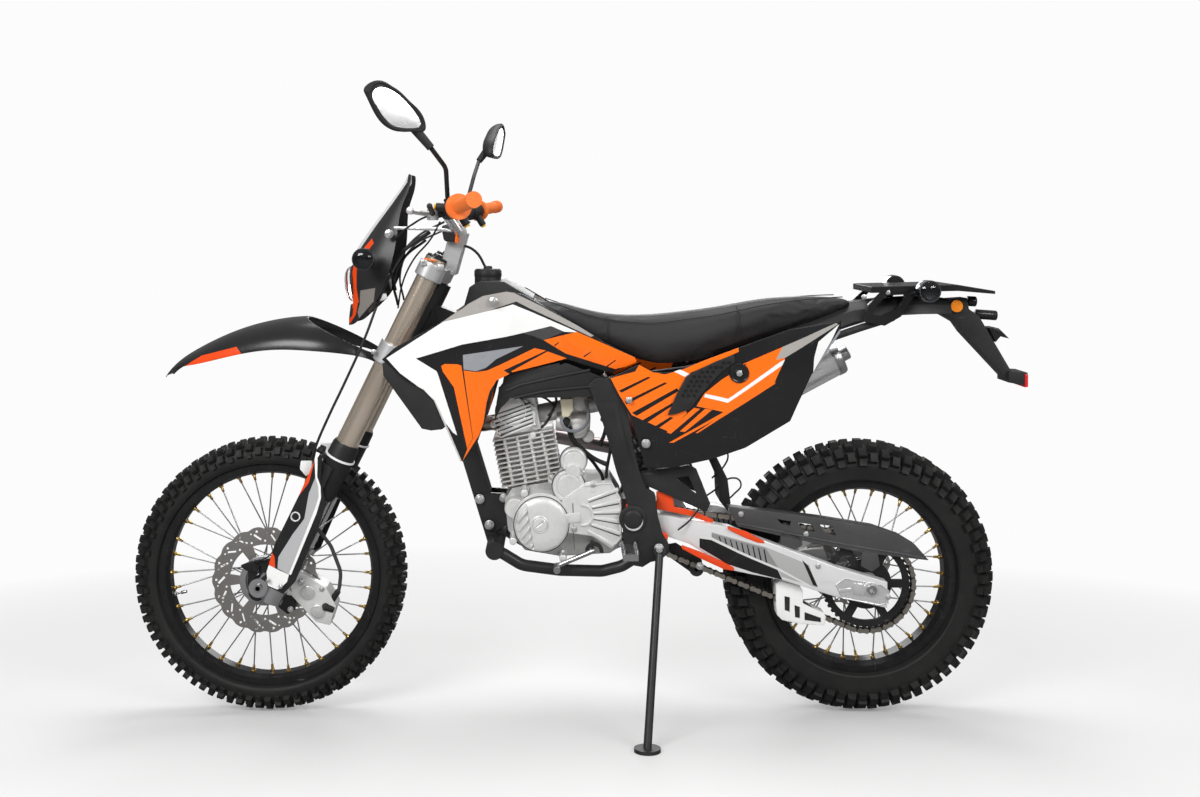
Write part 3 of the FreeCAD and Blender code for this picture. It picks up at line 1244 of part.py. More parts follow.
def fuel_tank():
    """The tank over the backbone with its round cap, narrower towards the steering head."""
    outline = TANK_TOP_PX + TANK_UNDER_PX
    shape = seen_prism(outline, 0, -TANK_HALF_WIDTH, TANK_HALF_WIDTH)
    xs = [spot(point)[0] for point in outline]
    front, back = min(xs), max(xs)
    shoulder = front + TANK_SHOULDER_SHARE * (back - front)
    nose = TANK_HALF_WIDTH * TANK_NOSE_SHARE
    half = TANK_HALF_WIDTH
    plan = [(front, -nose), (shoulder, -half), (back, -half), (back, half), (shoulder, half), (front, nose)]
    shape = shape.common(plan_prism(plan, 0, 4 * CUT_OVERRUN))
    x, z = spot(TANK_CAP_PX)
    cap = rod(V(x, 0, z - TANK_CAP_HEIGHT), V(x, 0, z + TANK_CAP_HEIGHT), TANK_CAP_RADIUS)
    low, high = head_tube_ends()
    tunnel = beam((low + high) * 0.5, cross_point(), HEAD_TUBE_RADIUS + FACE_GAP, BACKBONE_HALF_WIDTH + FACE_GAP)
    back_point = cross_point()
    over = LATERAL * CUT_OVERRUN
    cross = rod(back_point - over, back_point + over, CROSS_RADIUS + FACE_GAP)
    return shape.fuse(cap).cut(tunnel).cut(cross)


SEAT_TOP_PX = [(537, 296), (560, 303), (588, 311), (625, 316), (664, 314), (712, 309), (755, 301), (788, 297),
               (820, 295), (848, 296)]
SEAT_BOTTOM_PX = [(537, 302), (560, 317), (588, 336), (625, 354), (655, 371), (712, 356), (755, 339), (788, 327),
                  (820, 315), (848, 303)]
SEAT_WIDTH_SHARE = [0.62, 0.66, 0.74, 0.88, 1.0, 1.0, 0.96, 0.9, 0.8, 0.6]


def seat_stations():
    """Half width, top and underside of the seat at each of its stations."""
    rows = []
    for top_px, bottom_px, share in zip(SEAT_TOP_PX, SEAT_BOTTOM_PX, SEAT_WIDTH_SHARE):
        half = share * SEAT_HALF_WIDTH
        top_x, top_z = spot(top_px)
        rows.append((top_x, half, top_z, spot(bottom_px, half)[1]))
    return rows


SEAT_EDGE_SHARE = [(0.9, 0.0), (1.0, 0.25), (0.86, 0.8), (0.5, 1.0)]


def seat():
    """The long seat as one closed body."""
    wires = []
    for x, half, top, bottom in seat_stations():
        left = [V(x, -width * half, bottom + height * (top - bottom)) for width, height in SEAT_EDGE_SHARE]
        right = [V(point.x, -point.y, point.z) for point in reversed(left)]
        points = left + right
        wires.append(Part.makePolygon(points + points[:1]))
    return Part.makeLoft(wires, True, True)


SHROUD_PX = [(384, 358), (397, 346), (445, 320), (466, 305), (483, 296), (506, 292), (523, 295), (546, 308),
             (576, 326), (606, 345), (636, 360), (639, 365), (612, 376), (566, 361), (513, 373), (496, 381),
             (493, 393), (486, 418), (478, 441), (464, 460), (461, 460), (435, 399), (425, 388), (406, 378)]
SHROUD_STATIONS_SHARE = [(0.0, 1.0), (0.15, 0.99), (0.35, 0.9), (0.6, 0.7), (0.8, 0.6), (1.0, 0.56)]
SHROUD_FRONT_SIDE = 190.0
PANEL_VIEW_SHARE = 0.85
BOSS_RADIUS = 9.0


def panel_outline(outline_px, side):
    """A panel's outline in X and Z, read at the mean distance of the panel from the centre plane."""
    return [spot(point, side * PANEL_VIEW_SHARE) for point in outline_px]


def panel_sides(outline, side, shares, inset=0.0):
    """Places along a panel, each with its distance from the centre plane."""
    xs = [x for x, z in outline]
    low, high = min(xs) - PANEL_WALL, max(xs) + PANEL_WALL
    return [(low + share * (high - low), spread * side - inset) for share, spread in shares]


def panel(outline, sides, wall):
    """A curved body panel on the left, wall thick, with an outline in X and Z."""
    low = min(z for x, z in outline) - wall
    high = max(z for x, z in outline) + wall
    return prism(outline, -CUT_OVERRUN, 0).common(curved_slab(sides, wall, low, high))


def side_at(sides, x):
    """A panel's distance from the centre plane at a place along the bike."""
    for (x_low, low), (x_high, high) in zip(sides, sides[1:]):
        if x <= x_high:
            return low + (high - low) * (x - x_low) / (x_high - x_low)
    return sides[-1][1]


def bosses(places_px, side, sides, wall, inner_side):
    """Round bosses that carry a left panel on what lies inside it."""
    shapes = []
    for place in places_px:
        x, z = spot(place, side * PANEL_VIEW_SHARE)
        outer = side_at(sides, x) - wall / 2
        shapes.append(rod(V(x, -outer, z), V(x, -inner_side - FACE_GAP, z), BOSS_RADIUS))
    return shapes


SHROUD_BOSS_PX = [(508, 318), (560, 335)]
SCOOP_PX = [(384, 362), (390, 360), (436, 394), (448, 424), (443, 428), (432, 429), (423, 427), (385, 374)]
SCOOP_WALL = 6.0
FRAME_COVER_PX = [(499, 386), (566, 362), (606, 378), (611, 388), (596, 396), (499, 397)]
FRAME_COVER_SIDE = 126.0
FRAME_COVER_SHARE = [(0.0, 1.0), (0.5, 1.0), (1.0, 0.97)]
FRAME_COVER_BOSS_PX = [(528, 384)]
SIDE_PANEL_PX = [(610, 377), (638, 364), (653, 372), (673, 371), (712, 357), (755, 340), (788, 329), (842, 321),
                 (841, 333), (811, 374), (801, 394), (789, 420), (744, 446), (712, 457), (673, 466), (645, 467),
                 (632, 420), (621, 400)]
SIDE_PANEL_SIDE = 146.0
SIDE_PANEL_SHARE = [(0.0, 0.93), (0.25, 0.96), (0.5, 1.0), (0.75, 0.96), (1.0, 0.8)]
SIDE_PANEL_BOSS_PX = [(700, 374), (786, 353)]


def shrouds():
    """Both tank shrouds with the bosses that hold them to the tank."""
    outline = panel_outline(SHROUD_PX, SHROUD_FRONT_SIDE)
    sides = panel_sides(outline, SHROUD_FRONT_SIDE, SHROUD_STATIONS_SHARE)
    shape = panel(outline, sides, PANEL_WALL)
    return both(shape.fuse(bosses(SHROUD_BOSS_PX, SHROUD_FRONT_SIDE, sides, PANEL_WALL, TANK_HALF_WIDTH)))


def lower_covers(spars):
    """Black air scoops under the fronts of the shrouds, and dark covers over the frame above the engine."""
    shroud_outline = panel_outline(SHROUD_PX, SHROUD_FRONT_SIDE)
    scoop_sides = panel_sides(shroud_outline, SHROUD_FRONT_SIDE, SHROUD_STATIONS_SHARE, PANEL_WALL + FACE_GAP)
    scoop = panel(panel_outline(SCOOP_PX, SHROUD_FRONT_SIDE), scoop_sides, SCOOP_WALL)
    outline = panel_outline(FRAME_COVER_PX, FRAME_COVER_SIDE)
    sides = panel_sides(outline, FRAME_COVER_SIDE, FRAME_COVER_SHARE)
    cover = panel(outline, sides, PANEL_WALL)
    posts = bosses(FRAME_COVER_BOSS_PX, FRAME_COVER_SIDE, sides, PANEL_WALL, BACKBONE_HALF_WIDTH)
    cover = cover.fuse(posts).cut(spars)
    return Part.makeCompound(both(scoop).Solids + both(cover).Solids)


def side_panels():
    """Both side panels below the seat; the right one ends above the silencer."""
    outline = panel_outline(SIDE_PANEL_PX, SIDE_PANEL_SIDE)
    sides = panel_sides(outline, SIDE_PANEL_SIDE, SIDE_PANEL_SHARE)
    left = panel(outline, sides, PANEL_WALL)
    posts = bosses(SIDE_PANEL_BOSS_PX, SIDE_PANEL_SIDE, sides, PANEL_WALL, SUBFRAME_SIDE + SUBFRAME_RADIUS)
    left = left.fuse(posts)
    start, end = silencer_ends()
    along = (end - start).normalize()
    up = V(-along.z, 0, along.x) * (SILENCER_RADIUS + MOVING_GAP)
    line_start, line_end = start - along * CUT_OVERRUN + up, end + along * CUT_OVERRUN + up
    below = [(line_start.x, line_start.z), (line_end.x, line_end.z), (line_end.x, 0), (line_start.x, 0)]
    right = mirrored(left).cut(prism(below, 0, CUT_OVERRUN))
    return Part.makeCompound(left.Solids + right.Solids)


TAIL_END_PX = [(880, 298), (915, 296), (945, 298)]
TAIL_HALF_WIDTH_SHARE = [0.86, 0.88, 0.9, 0.92, 0.96, 1.0, 0.95, 0.8]
TAIL_DROP_SHARE = [(-1.0, 1.0), (-0.8, 0.4), (-0.4, 0.0), (0.4, 0.0), (0.8, 0.4), (1.0, 1.0)]


def rail_height(x):
    """Height of the top of the seat rails at a place along the bike."""
    points = [rail_point(index) for index in range(len(SUBFRAME_PX))]
    for low, high in zip(points, points[1:]):
        if x <= high.x:
            return low.z + (high.z - low.z) * (x - low.x) / (high.x - low.x) + SUBFRAME_RADIUS
    return points[-1].z + SUBFRAME_RADIUS


def sheet_section(x, half_width, top, edge, wall):
    """A closed section of an arched sheet: over the top outside and back inside."""
    outer = [V(x, share * half_width, top + (edge - top) * drop) for share, drop in TAIL_DROP_SHARE]
    inner = []
    for point, (share, drop) in zip(outer, TAIL_DROP_SHARE):
        inner.append(V(x, point.y - math.copysign(wall * drop, share), point.z - wall * (1 - drop)))
    return outer + list(reversed(inner))


def arched_sheet(rows, wall):
    """A mudguard from rows of place, half width, top height and edge height."""
    wires = []
    for x, half_width, top, edge in rows:
        points = sheet_section(x, half_width, top, edge, wall)
        wires.append(Part.makePolygon(points + points[:1]))
    return Part.makeLoft(wires, True, True)


def curved_sheet(rows, wall):
    """The same mudguard with curved sections that run smoothly into each other."""
    wires = []
    for x, half_width, top, edge in rows:
        points = sheet_section(x, half_width, top, edge, wall)
        count = len(points) // 2
        edges = []
        for side in (points[:count], points[count:]):
            curve = Part.BSplineCurve()
            curve.interpolate(side)
            edges.append(curve.toShape())
        edges.insert(1, Part.LineSegment(points[count - 1], points[count]).toShape())
        edges.append(Part.LineSegment(points[-1], points[0]).toShape())
        wires.append(Part.Wire(edges))
    return Part.makeLoft(wires, True, False)


def rear_fender():
    """The arched rear mudguard: its edges rest on the seat rails and its top carries the seat."""
    tops = [(x, bottom - FACE_GAP) for x, half, top, bottom in seat_stations()[-5:]]
    tops += [spot(point) for point in TAIL_END_PX]
    rows = []
    for (x, top), share in zip(tops, TAIL_HALF_WIDTH_SHARE):
        edge = max(rail_height(x) + RAIL_SEAT_GAP, top - TAIL_DEPTH)
        rows.append((x, share * TAIL_HALF_WIDTH, top, edge))
    return arched_sheet(rows, FENDER_WALL)


PLATE_ARM_PX = [(938, 300), (967, 298), (969, 309), (979, 316), (991, 336), (1014, 376), (1006, 378), (964, 333),
                (957, 323), (938, 312)]
PLATE_ARM_HALF_WIDTH = 24.0
REFLECTOR_PX = [(1007, 371), (1026, 372), (1025, 385), (1007, 382)]
REFLECTOR_HALF_WIDTH = 36.0


def plate_carrier(fender):
    """The arm behind the mudguard that carries the number plate and the rear reflector."""
    arm = seen_prism(PLATE_ARM_PX, PLATE_ARM_HALF_WIDTH, -PLATE_ARM_HALF_WIDTH, PLATE_ARM_HALF_WIDTH)
    reflector = seen_prism(REFLECTOR_PX, PLATE_ARM_HALF_WIDTH, -REFLECTOR_HALF_WIDTH, REFLECTOR_HALF_WIDTH)
    return arm.fuse(reflector).cut(fender)


RACK_PX = [(862, 285), (946, 283), (982, 289), (982, 292), (946, 289), (862, 291)]
RACK_HALF_WIDTH = 82.0
RACK_HOLE_RADIUS = 3.5
RACK_HOLE_CIRCLE = 50.0
RACK_HOLE_COUNT = 4
RACK_MIDDLE_PX = (904, 287)
HANDLE_PX = [(861, 321), (866, 304), (880, 291), (910, 286), (911, 296), (898, 316), (882, 325)]
HANDLE_WINDOW_PX = [(870, 313), (874, 305), (884, 295), (902, 294), (902, 298), (892, 310), (879, 315)]
HANDLE_WALL = 13.0
INDICATOR_PX = (908, 294)
INDICATOR_HEAD_PX = (928, 291)
INDICATOR_STALK_RADIUS = 6.0
INDICATOR_HEAD_RADIUS = 25.0
INDICATOR_HEAD_WALL = 34.0
INDICATOR_REACH = 52.0


def indicator(root, head, way):
    """A round lamp on a rubber stalk that runs out from the bike."""
    out = LATERAL * way * INDICATOR_HEAD_WALL / 2
    stalk = rod(root, head, INDICATOR_STALK_RADIUS)
    return stalk.fuse(rod(head - out, head + out, INDICATOR_HEAD_RADIUS))


def rack_middle():
    """The centre of the rack's four holes."""
    x, z = spot(RACK_MIDDLE_PX)
    return V(x, 0, z)


def grab_rails():
    """The rack plate with the grab handles that hold it to the seat rails, and the rear indicators."""
    rack = seen_prism(RACK_PX, 0, -RACK_HALF_WIDTH, RACK_HALF_WIDTH)
    inner = SUBFRAME_SIDE + SUBFRAME_RADIUS + FACE_GAP
    outer = inner + HANDLE_WALL
    handle = seen_prism(HANDLE_PX, SUBFRAME_SIDE, -outer, -inner)
    handle = handle.cut(seen_prism(HANDLE_WINDOW_PX, SUBFRAME_SIDE, -CUT_OVERRUN, 0))
    side = outer + INDICATOR_REACH
    lamp = indicator(seen(INDICATOR_PX, SUBFRAME_SIDE, -inner - HANDLE_WALL / 2), seen(INDICATOR_HEAD_PX, side), -1)
    left = handle.fuse(lamp)
    shape = rack.fuse([left, mirrored(left)])
    over = V(0, 0, CUT_OVERRUN)
    for index in range(RACK_HOLE_COUNT):
        angle = 2 * math.pi * (index + 1 / 2) / RACK_HOLE_COUNT
        centre = rack_middle() + V(math.cos(angle), math.sin(angle), 0) * RACK_HOLE_CIRCLE
        shape = shape.cut(rod(centre - over / 4, centre + over / 4, RACK_HOLE_RADIUS))
    return shape


# Rear suspension, chain covers, calipers and foot controls

SHOCK_LOW_PX = (664, 492)
SHOCK_RADIUS = 30.0
SHOCK_ROD_RADIUS = 9.0
SHOCK_SPRING_SHARE = [0.12, 0.82]
LINK_PX = [(656, 484), (672, 484), (700, 530), (680, 530)]
LINK_HALF_WIDTH = 22.0


def rear_shock(arm):
    """The spring and damper behind the engine, hung from the cross piece and linked to the swingarm."""
    top, low = cross_point(), seen(SHOCK_LOW_PX, 0)
    first, last = [top + (low - top) * share for share in SHOCK_SPRING_SHARE]
    shape = rod(top, low, SHOCK_ROD_RADIUS).fuse(rod(first, last, SHOCK_RADIUS))
    link = seen_prism(LINK_PX, 0, -LINK_HALF_WIDTH, LINK_HALF_WIDTH)
    over = LATERAL * CUT_OVERRUN
    seat_gap = rod(top - over, top + over, CROSS_RADIUS + FACE_GAP)
    return shape.fuse(link).cut(arm).cut(seat_gap)


CHAIN_GUARD_PX = [(728, 507), (769, 511), (874, 526), (900, 535), (916, 545), (929, 560), (868, 554), (811, 543),
                  (738, 527)]
CHAIN_GUARD_TAB_PX = [(796, 530), (818, 530), (818, 566), (796, 560)]
CHAIN_GUIDE_PX = [(776, 574), (803, 580), (803, 604), (825, 614), (824, 626), (779, 620)]
GUARD_WALL = 3.0
GUARD_OUTER_SIDE = 98.0
GUARD_INNER_SIDE = 66.0
GUIDE_OUTER_SIDE = 98.0
GUIDE_INNER_SIDE = 63.0


def chain_covers(arm, rear_axle):
    """The guard over the chain's upper run and the guide round its lower run."""
    chain_outer = CHAIN_SIDE + CHAIN_WIDTH / 2 + GUARD_WALL
    guard = seen_prism(CHAIN_GUARD_PX, GUARD_OUTER_SIDE, -GUARD_OUTER_SIDE, -GUARD_INNER_SIDE)
    hollow = seen_prism(CHAIN_GUARD_PX, GUARD_OUTER_SIDE, -chain_outer, 0)
    hollow.translate(V(0, 0, -GUARD_WALL))
    tab = seen_prism(CHAIN_GUARD_TAB_PX, GUARD_OUTER_SIDE, -GUARD_OUTER_SIDE, -chain_outer)
    guard = guard.cut(hollow).fuse(tab).cut(arm)
    guide = seen_prism(CHAIN_GUIDE_PX, GUIDE_OUTER_SIDE, -GUIDE_OUTER_SIDE, -GUIDE_INNER_SIDE)
    front = V(COUNTERSHAFT_X, -chain_outer, COUNTERSHAFT_Z)
    rear = V(rear_axle.x, -chain_outer, rear_axle.z)
    reach = CHAIN_PLATE_HALF_HEIGHT + GUARD_WALL
    passage = loop_face(front, pitch_radius(FRONT_SPROCKET_TEETH) + reach, rear,
                        pitch_radius(REAR_SPROCKET_TEETH) + reach)
    passage = passage.extrude(LATERAL * (CHAIN_WIDTH + 2 * GUARD_WALL))
    guide = guide.cut(passage).cut(arm)
    return Part.makeCompound(guard.Solids + guide.Solids)


FRONT_CALIPER_PX = [(289, 574), (300, 572), (326, 588), (336, 606), (330, 625), (316, 622), (292, 596)]
FRONT_CALIPER_SIDE = 88.0
FRONT_CALIPER_DEPTH = 50.0
CALIPER_ARM_RADIUS = 9.0
DISC_GAP = 3.0


def slot(centre, side, radius):
    """The room that a brake disc turns in, for a disc at side to the left."""
    low = centre - LATERAL * (side + DISC_THICKNESS / 2 + DISC_GAP)
    return rod(low, low + LATERAL * (DISC_THICKNESS + 2 * DISC_GAP), radius + MOVING_GAP)


def front_caliper():
    """The caliper over the rear of the front disc, on the foot of the left fork leg."""
    body = seen_prism(FRONT_CALIPER_PX, FRONT_CALIPER_SIDE, -FRONT_CALIPER_SIDE,
                      -FRONT_CALIPER_SIDE + FRONT_CALIPER_DEPTH)
    y = -FRONT_CALIPER_SIDE + CALIPER_ARM_RADIUS
    xs_zs = [spot(point, FRONT_CALIPER_SIDE) for point in FRONT_CALIPER_PX]
    middle = V(sum(x for x, z in xs_zs) / len(xs_zs), y, sum(z for x, z in xs_zs) / len(xs_zs))
    leg_axis = -LATERAL * FORK_HALF_SPREAD
    arm = rod(fork_point(0, 0, y), middle, CALIPER_ARM_RADIUS)
    body = body.fuse(arm).cut(slot(FRONT_AXLE, FRONT_DISC_SIDE, FRONT_DISC_RADIUS))
    over = FORK_UP * CUT_OVERRUN
    foot = fork_point(0) + leg_axis
    body = body.cut(rod(foot - over, foot + over, FORK_FOOT_RADIUS + FACE_GAP))
    return max(body.Solids, key=lambda solid: solid.Volume)


BRAKE_HOSE_PX = [(311, 520), (331, 546), (341, 572), (339, 592), (328, 604)]
BRAKE_HOSE_SIDES = [98.0, 99.0, 95.0, 86.0, 72.0]
BRAKE_HOSE_RADIUS = 4.5
BRAKE_HOSE_BEND = 60.0


def brake_hose(legs, caliper):
    """The hose that leaves the back of the left fork leg and ends in the caliper."""
    route = [seen(point, side) for point, side in zip(BRAKE_HOSE_PX, BRAKE_HOSE_SIDES)]
    hose = tube(route, BRAKE_HOSE_RADIUS, BRAKE_HOSE_BEND).cut(legs).cut(caliper)
    return max(hose.Solids, key=lambda solid: solid.Volume)


REAR_CALIPER_PX = [(812, 569), (838, 566), (846, 590), (838, 606), (816, 600)]
REAR_CALIPER_INNER_SIDE = 64.0


def rear_caliper(rear_axle):
    """The caliper in front of the rear axle, against the inner face of the right swingarm beam."""
    body = mirrored(seen_prism(REAR_CALIPER_PX, REAR_DISC_SIDE, -ARM_INNER_SIDE + FACE_GAP,
                               -REAR_CALIPER_INNER_SIDE))
    return body.cut(slot(rear_axle, -REAR_DISC_SIDE, REAR_DISC_RADIUS))


PEG_LENGTH = 88.0
PEG_HALF_WIDTH = 18.0
PEG_HEIGHT = 16.0
PEG_POINT_PX = (631, 558)
GEAR_PIVOT_PX = (593, 551)
GEAR_TIP_PX = (557, 566)
PEDAL_PIVOT_PX = (640, 560)
PEDAL_TIP_PX = (566, 566)
PEDAL_SIDE = 152.0
PEDAL_RADIUS = 6.0
GEAR_SIDE = 132.0
TIP_LENGTH = 34.0


def lever(pivot_px, tip_px, side, root_side, way):
    """A foot lever: a shaft out from the bike, an arm and a tip to step on; way is 1 on the left."""
    pivot, tip = seen(pivot_px, side), seen(tip_px, side)
    root = V(pivot.x, -root_side - FACE_GAP, pivot.z)
    pad = rod(tip, tip - LATERAL * TIP_LENGTH, PEDAL_RADIUS * LEVER_PAD_SHARE)
    shape = rod(root, pivot, PEDAL_RADIUS).fuse([rod(pivot, tip, PEDAL_RADIUS), pad])
    shape = shape.fuse([Part.makeSphere(PEDAL_RADIUS, pivot)])
    return shape if way > 0 else mirrored(shape)


def foot_controls():
    """Footpegs on the pivot plates, the gear lever on the left and the brake pedal on the right."""
    plate_side = spar_inner_side() + SPAR_WALL
    x, z = spot(PEG_POINT_PX, plate_side + PEG_LENGTH)
    peg = Part.makeBox(2 * PEG_HALF_WIDTH, PEG_LENGTH, PEG_HEIGHT,
                       V(x - PEG_HALF_WIDTH, -plate_side - FACE_GAP - PEG_LENGTH, z - PEG_HEIGHT / 2))
    gear = lever(GEAR_PIVOT_PX, GEAR_TIP_PX, GEAR_SIDE, CASE_HALF_WIDTH, 1)
    pedal = lever(PEDAL_PIVOT_PX, PEDAL_TIP_PX, PEDAL_SIDE, plate_side, -1)
    return Part.makeCompound(both(peg).Solids + gear.Solids + pedal.Solids)


# Side stand

def stand_axis():
    """Direction of the stand's hinge in the upright bike."""
    tilt = math.radians(STAND_TILT_DEG)
    return V(0, math.cos(tilt), -math.sin(tilt))


def stand_pivot():
    """The middle of the stand's eye."""
    return V(STAND_PIVOT_X, -STAND_PIVOT_SIDE, STAND_PIVOT_Z)


def stand_pin():
    """The pin that the stand turns on, rooted in the left pivot plate."""
    pivot = stand_pivot()
    outer = pivot - stand_axis() * (STAND_EYE_HALF + STAND_PIN_HEAD)
    inner = pivot + stand_axis() * (STAND_PIVOT_SIDE - spar_inner_side() - SPAR_WALL / 2)
    return rod(outer, inner, STAND_PIN_RADIUS)


def stand_foot(floor):
    """The middle of the stand's foot on the floor, whose height in the leaned bike is floor."""
    foot_z = (STAND_FOOT_SIDE * math.sin(LEAN) + floor) / math.cos(LEAN)
    return V(STAND_PIVOT_X - STAND_FOOT_FORWARD, -STAND_FOOT_SIDE, foot_z)


def side_stand(floor):
    """The stand leg from its eye to a flat foot on the floor."""
    pivot = stand_pivot()
    foot = stand_foot(floor)
    up = V(0, math.sin(LEAN), math.cos(LEAN))
    pad = Part.makeCylinder(STAND_PAD_RADIUS, STAND_PAD_WALL, foot, up)
    leg = rod(pivot, foot + up * STAND_PAD_WALL / 2, STAND_ROD_RADIUS)
    half = stand_axis() * STAND_EYE_HALF
    eye = rod(pivot - half, pivot + half, STAND_EYE_RADIUS)
    over = stand_axis() * CUT_OVERRUN
    below = Part.makeBox(CUT_OVERRUN, CUT_OVERRUN, CUT_OVERRUN, V(-CUT_OVERRUN / 2, -CUT_OVERRUN / 2, -CUT_OVERRUN))
    below.rotate(ORIGIN, V(1, 0, 0), -LEAN_DEG)
    below.translate(foot)
    return leg.fuse([pad, eye]).cut(rod(pivot - over, pivot + over, STAND_PIN_RADIUS + STAND_PIN_GAP)).cut(below)


def wheel_reach(shape):
    """How far below its axle a tyre reaches once it is leaned."""
    leaned = shape.copy()
    leaned.rotate(ORIGIN, V(1, 0, 0), LEAN_DEG)
    return -lowest(leaned)[2]


def lowest(shape):
    """Least X, Y and Z of a shape, and then the greatest."""
    points = shape.tessellate(TESSELLATION)[0]
    lows = [min(point[index] for point in points) for index in range(3)]
    return lows + [max(point[index] for point in points) for index in range(3)]


def front_wheel_nodes(front_tyre):
    """The pieces that turn on the front axle."""
    front_tyre.translate(FRONT_AXLE)
    centre = FRONT_AXLE
    half_length = FORK_HALF_SPREAD - FORK_FOOT_RADIUS - AXLE_END_GAP
    hub = spoked_hub(centre, FRONT_RIM_BED_RADIUS, FRONT_HUB_FLANGE_RADIUS, FRONT_HUB_BARREL_RADIUS,
                     FRONT_HUB_FLANGE_SPREAD, FRONT_AXLE_RADIUS, half_length)
    disc = brake_disc(centre - LATERAL * FRONT_DISC_SIDE, FRONT_DISC_RADIUS, FRONT_DISC_BAND,
                      FRONT_HUB_BARREL_RADIUS + FACE_GAP)
    wheel_rim = rim(centre, FRONT_RIM_SEAT_RADIUS, FRONT_RIM_FLANGE_RADIUS, FRONT_RIM_BED_RADIUS, FRONT_RIM_WIDTH)
    return {"front_tyre": front_tyre, "front_rim": wheel_rim, "front_hub": hub, "front_disc": disc}


def rear_wheel_nodes(rear_tyre, rear_axle):
    """The pieces that turn on the rear axle."""
    rear_tyre.translate(rear_axle)
    half_length = ARM_INNER_SIDE - MOVING_GAP
    hub = spoked_hub(rear_axle, REAR_RIM_BED_RADIUS, REAR_HUB_FLANGE_RADIUS, REAR_HUB_BARREL_RADIUS,
                     REAR_HUB_FLANGE_SPREAD, REAR_AXLE_RADIUS, half_length)
    disc = brake_disc(rear_axle + LATERAL * REAR_DISC_SIDE, REAR_DISC_RADIUS, REAR_DISC_BAND,
                      REAR_HUB_BARREL_RADIUS + FACE_GAP)
    gear = sprocket(rear_axle - LATERAL * (CHAIN_SIDE + SPROCKET_THICKNESS / 2), REAR_SPROCKET_TEETH,
                    REAR_HUB_BARREL_RADIUS + FACE_GAP)
    wheel_rim = rim(rear_axle, REAR_RIM_SEAT_RADIUS, REAR_RIM_FLANGE_RADIUS, REAR_RIM_BED_RADIUS, REAR_RIM_WIDTH)
    return {"rear_tyre": rear_tyre, "rear_rim": wheel_rim, "rear_hub": hub, "rear_disc": disc,
            "rear_sprocket": gear}


def rear_axle_pin(rear_axle):
    """The hollow rear axle, open at its left end."""
    reach = LATERAL * (ARM_OUTER_SIDE + AXLE_HEAD)
    axle = rod(rear_axle - reach, rear_axle + reach, REAR_AXLE_RADIUS)
    return axle.cut(rod(rear_axle - reach * 2, rear_axle - reach / 2, AXLE_HOLE_RADIUS))


def chassis_nodes(rear_axle):
    """The pieces of the frame, engine and body, which stay still."""
    spars = side_spars()
    pinned = max(spars.Solids, key=lambda solid: -solid.CenterOfMass.y).fuse(stand_pin())
    spars = Part.makeCompound(pinned.Solids + min(spars.Solids, key=lambda solid: -solid.CenterOfMass.y).Solids)
    cases = engine_cases()
    arm = swingarm(rear_axle)
    fender = rear_fender()
    countershaft = V(COUNTERSHAFT_X, -CHAIN_SIDE, COUNTERSHAFT_Z)
    return {
        "frame_backbone": frame_backbone(),
        "frame_down_tube": down_tube(cases),
        "frame_cradle": cradle_tubes(spars),
        "frame_side_spars": spars,
        "subframe": subframe(),
        "crankcase": cases,
        "engine_covers": side_covers(),
        "cylinder": cylinder(cases),
        "cylinder_head": cylinder_head(),
        "carburettor": carburettor(),
        "exhaust_header": exhaust_header(),
        "silencer": silencer(),
        "fuel_tank": fuel_tank(),
        "seat": seat(),
        "tank_shrouds": shrouds(),
        "lower_covers": lower_covers(spars),
        "side_panels": side_panels(),
        "rear_fender": fender,
        "grab_rails": grab_rails(),
        "plate_carrier": plate_carrier(fender),
        "swingarm": arm,
        "chain": chain_loop(countershaft, rear_axle - LATERAL * CHAIN_SIDE),
        "front_sprocket": front_sprocket(countershaft),
        "chain_covers": chain_covers(arm, rear_axle),
        "rear_shock": rear_shock(arm),
        "foot_controls": foot_controls(),
        "rear_caliper": rear_caliper(rear_axle),
        "rear_axle": rear_axle_pin(rear_axle),
    }


def front_sprocket(countershaft):
    """The front sprocket on the end of the gearbox shaft."""
    tip = pitch_radius(FRONT_SPROCKET_TEETH) - CHAIN_ROLLER_HALF_HEIGHT - CHAIN_RUN_GAP
    half = LATERAL * SPROCKET_THICKNESS / 2
    shaft_root = V(countershaft.x, -CASE_HALF_WIDTH - FACE_GAP, countershaft.z)
    return rod(countershaft - half, countershaft + half, tip).fuse(rod(countershaft, shaft_root, PIVOT_BOLT_RADIUS))


def steering_nodes():
    """The pieces that turn with the fork."""
    legs, caliper = fork_legs(), front_caliper()
    return {
        "triple_clamps": triple_clamps(),
        "fork_tubes": fork_tubes(),
        "fork_legs": legs,
        "fork_guards": fork_guards(),
        "handlebar": handlebar(),
        "grips": grips(),
        "bar_controls": bar_controls(),
        "mirrors": mirrors(),
        "headlight_mask": headlight_mask(),
        "headlamp": headlamp(),
        "front_fender": front_fender(),
        "front_indicators": front_indicators(),
        "front_caliper": caliper,
        "brake_hose": brake_hose(legs, caliper),
        "front_axle": front_axle(),
    }


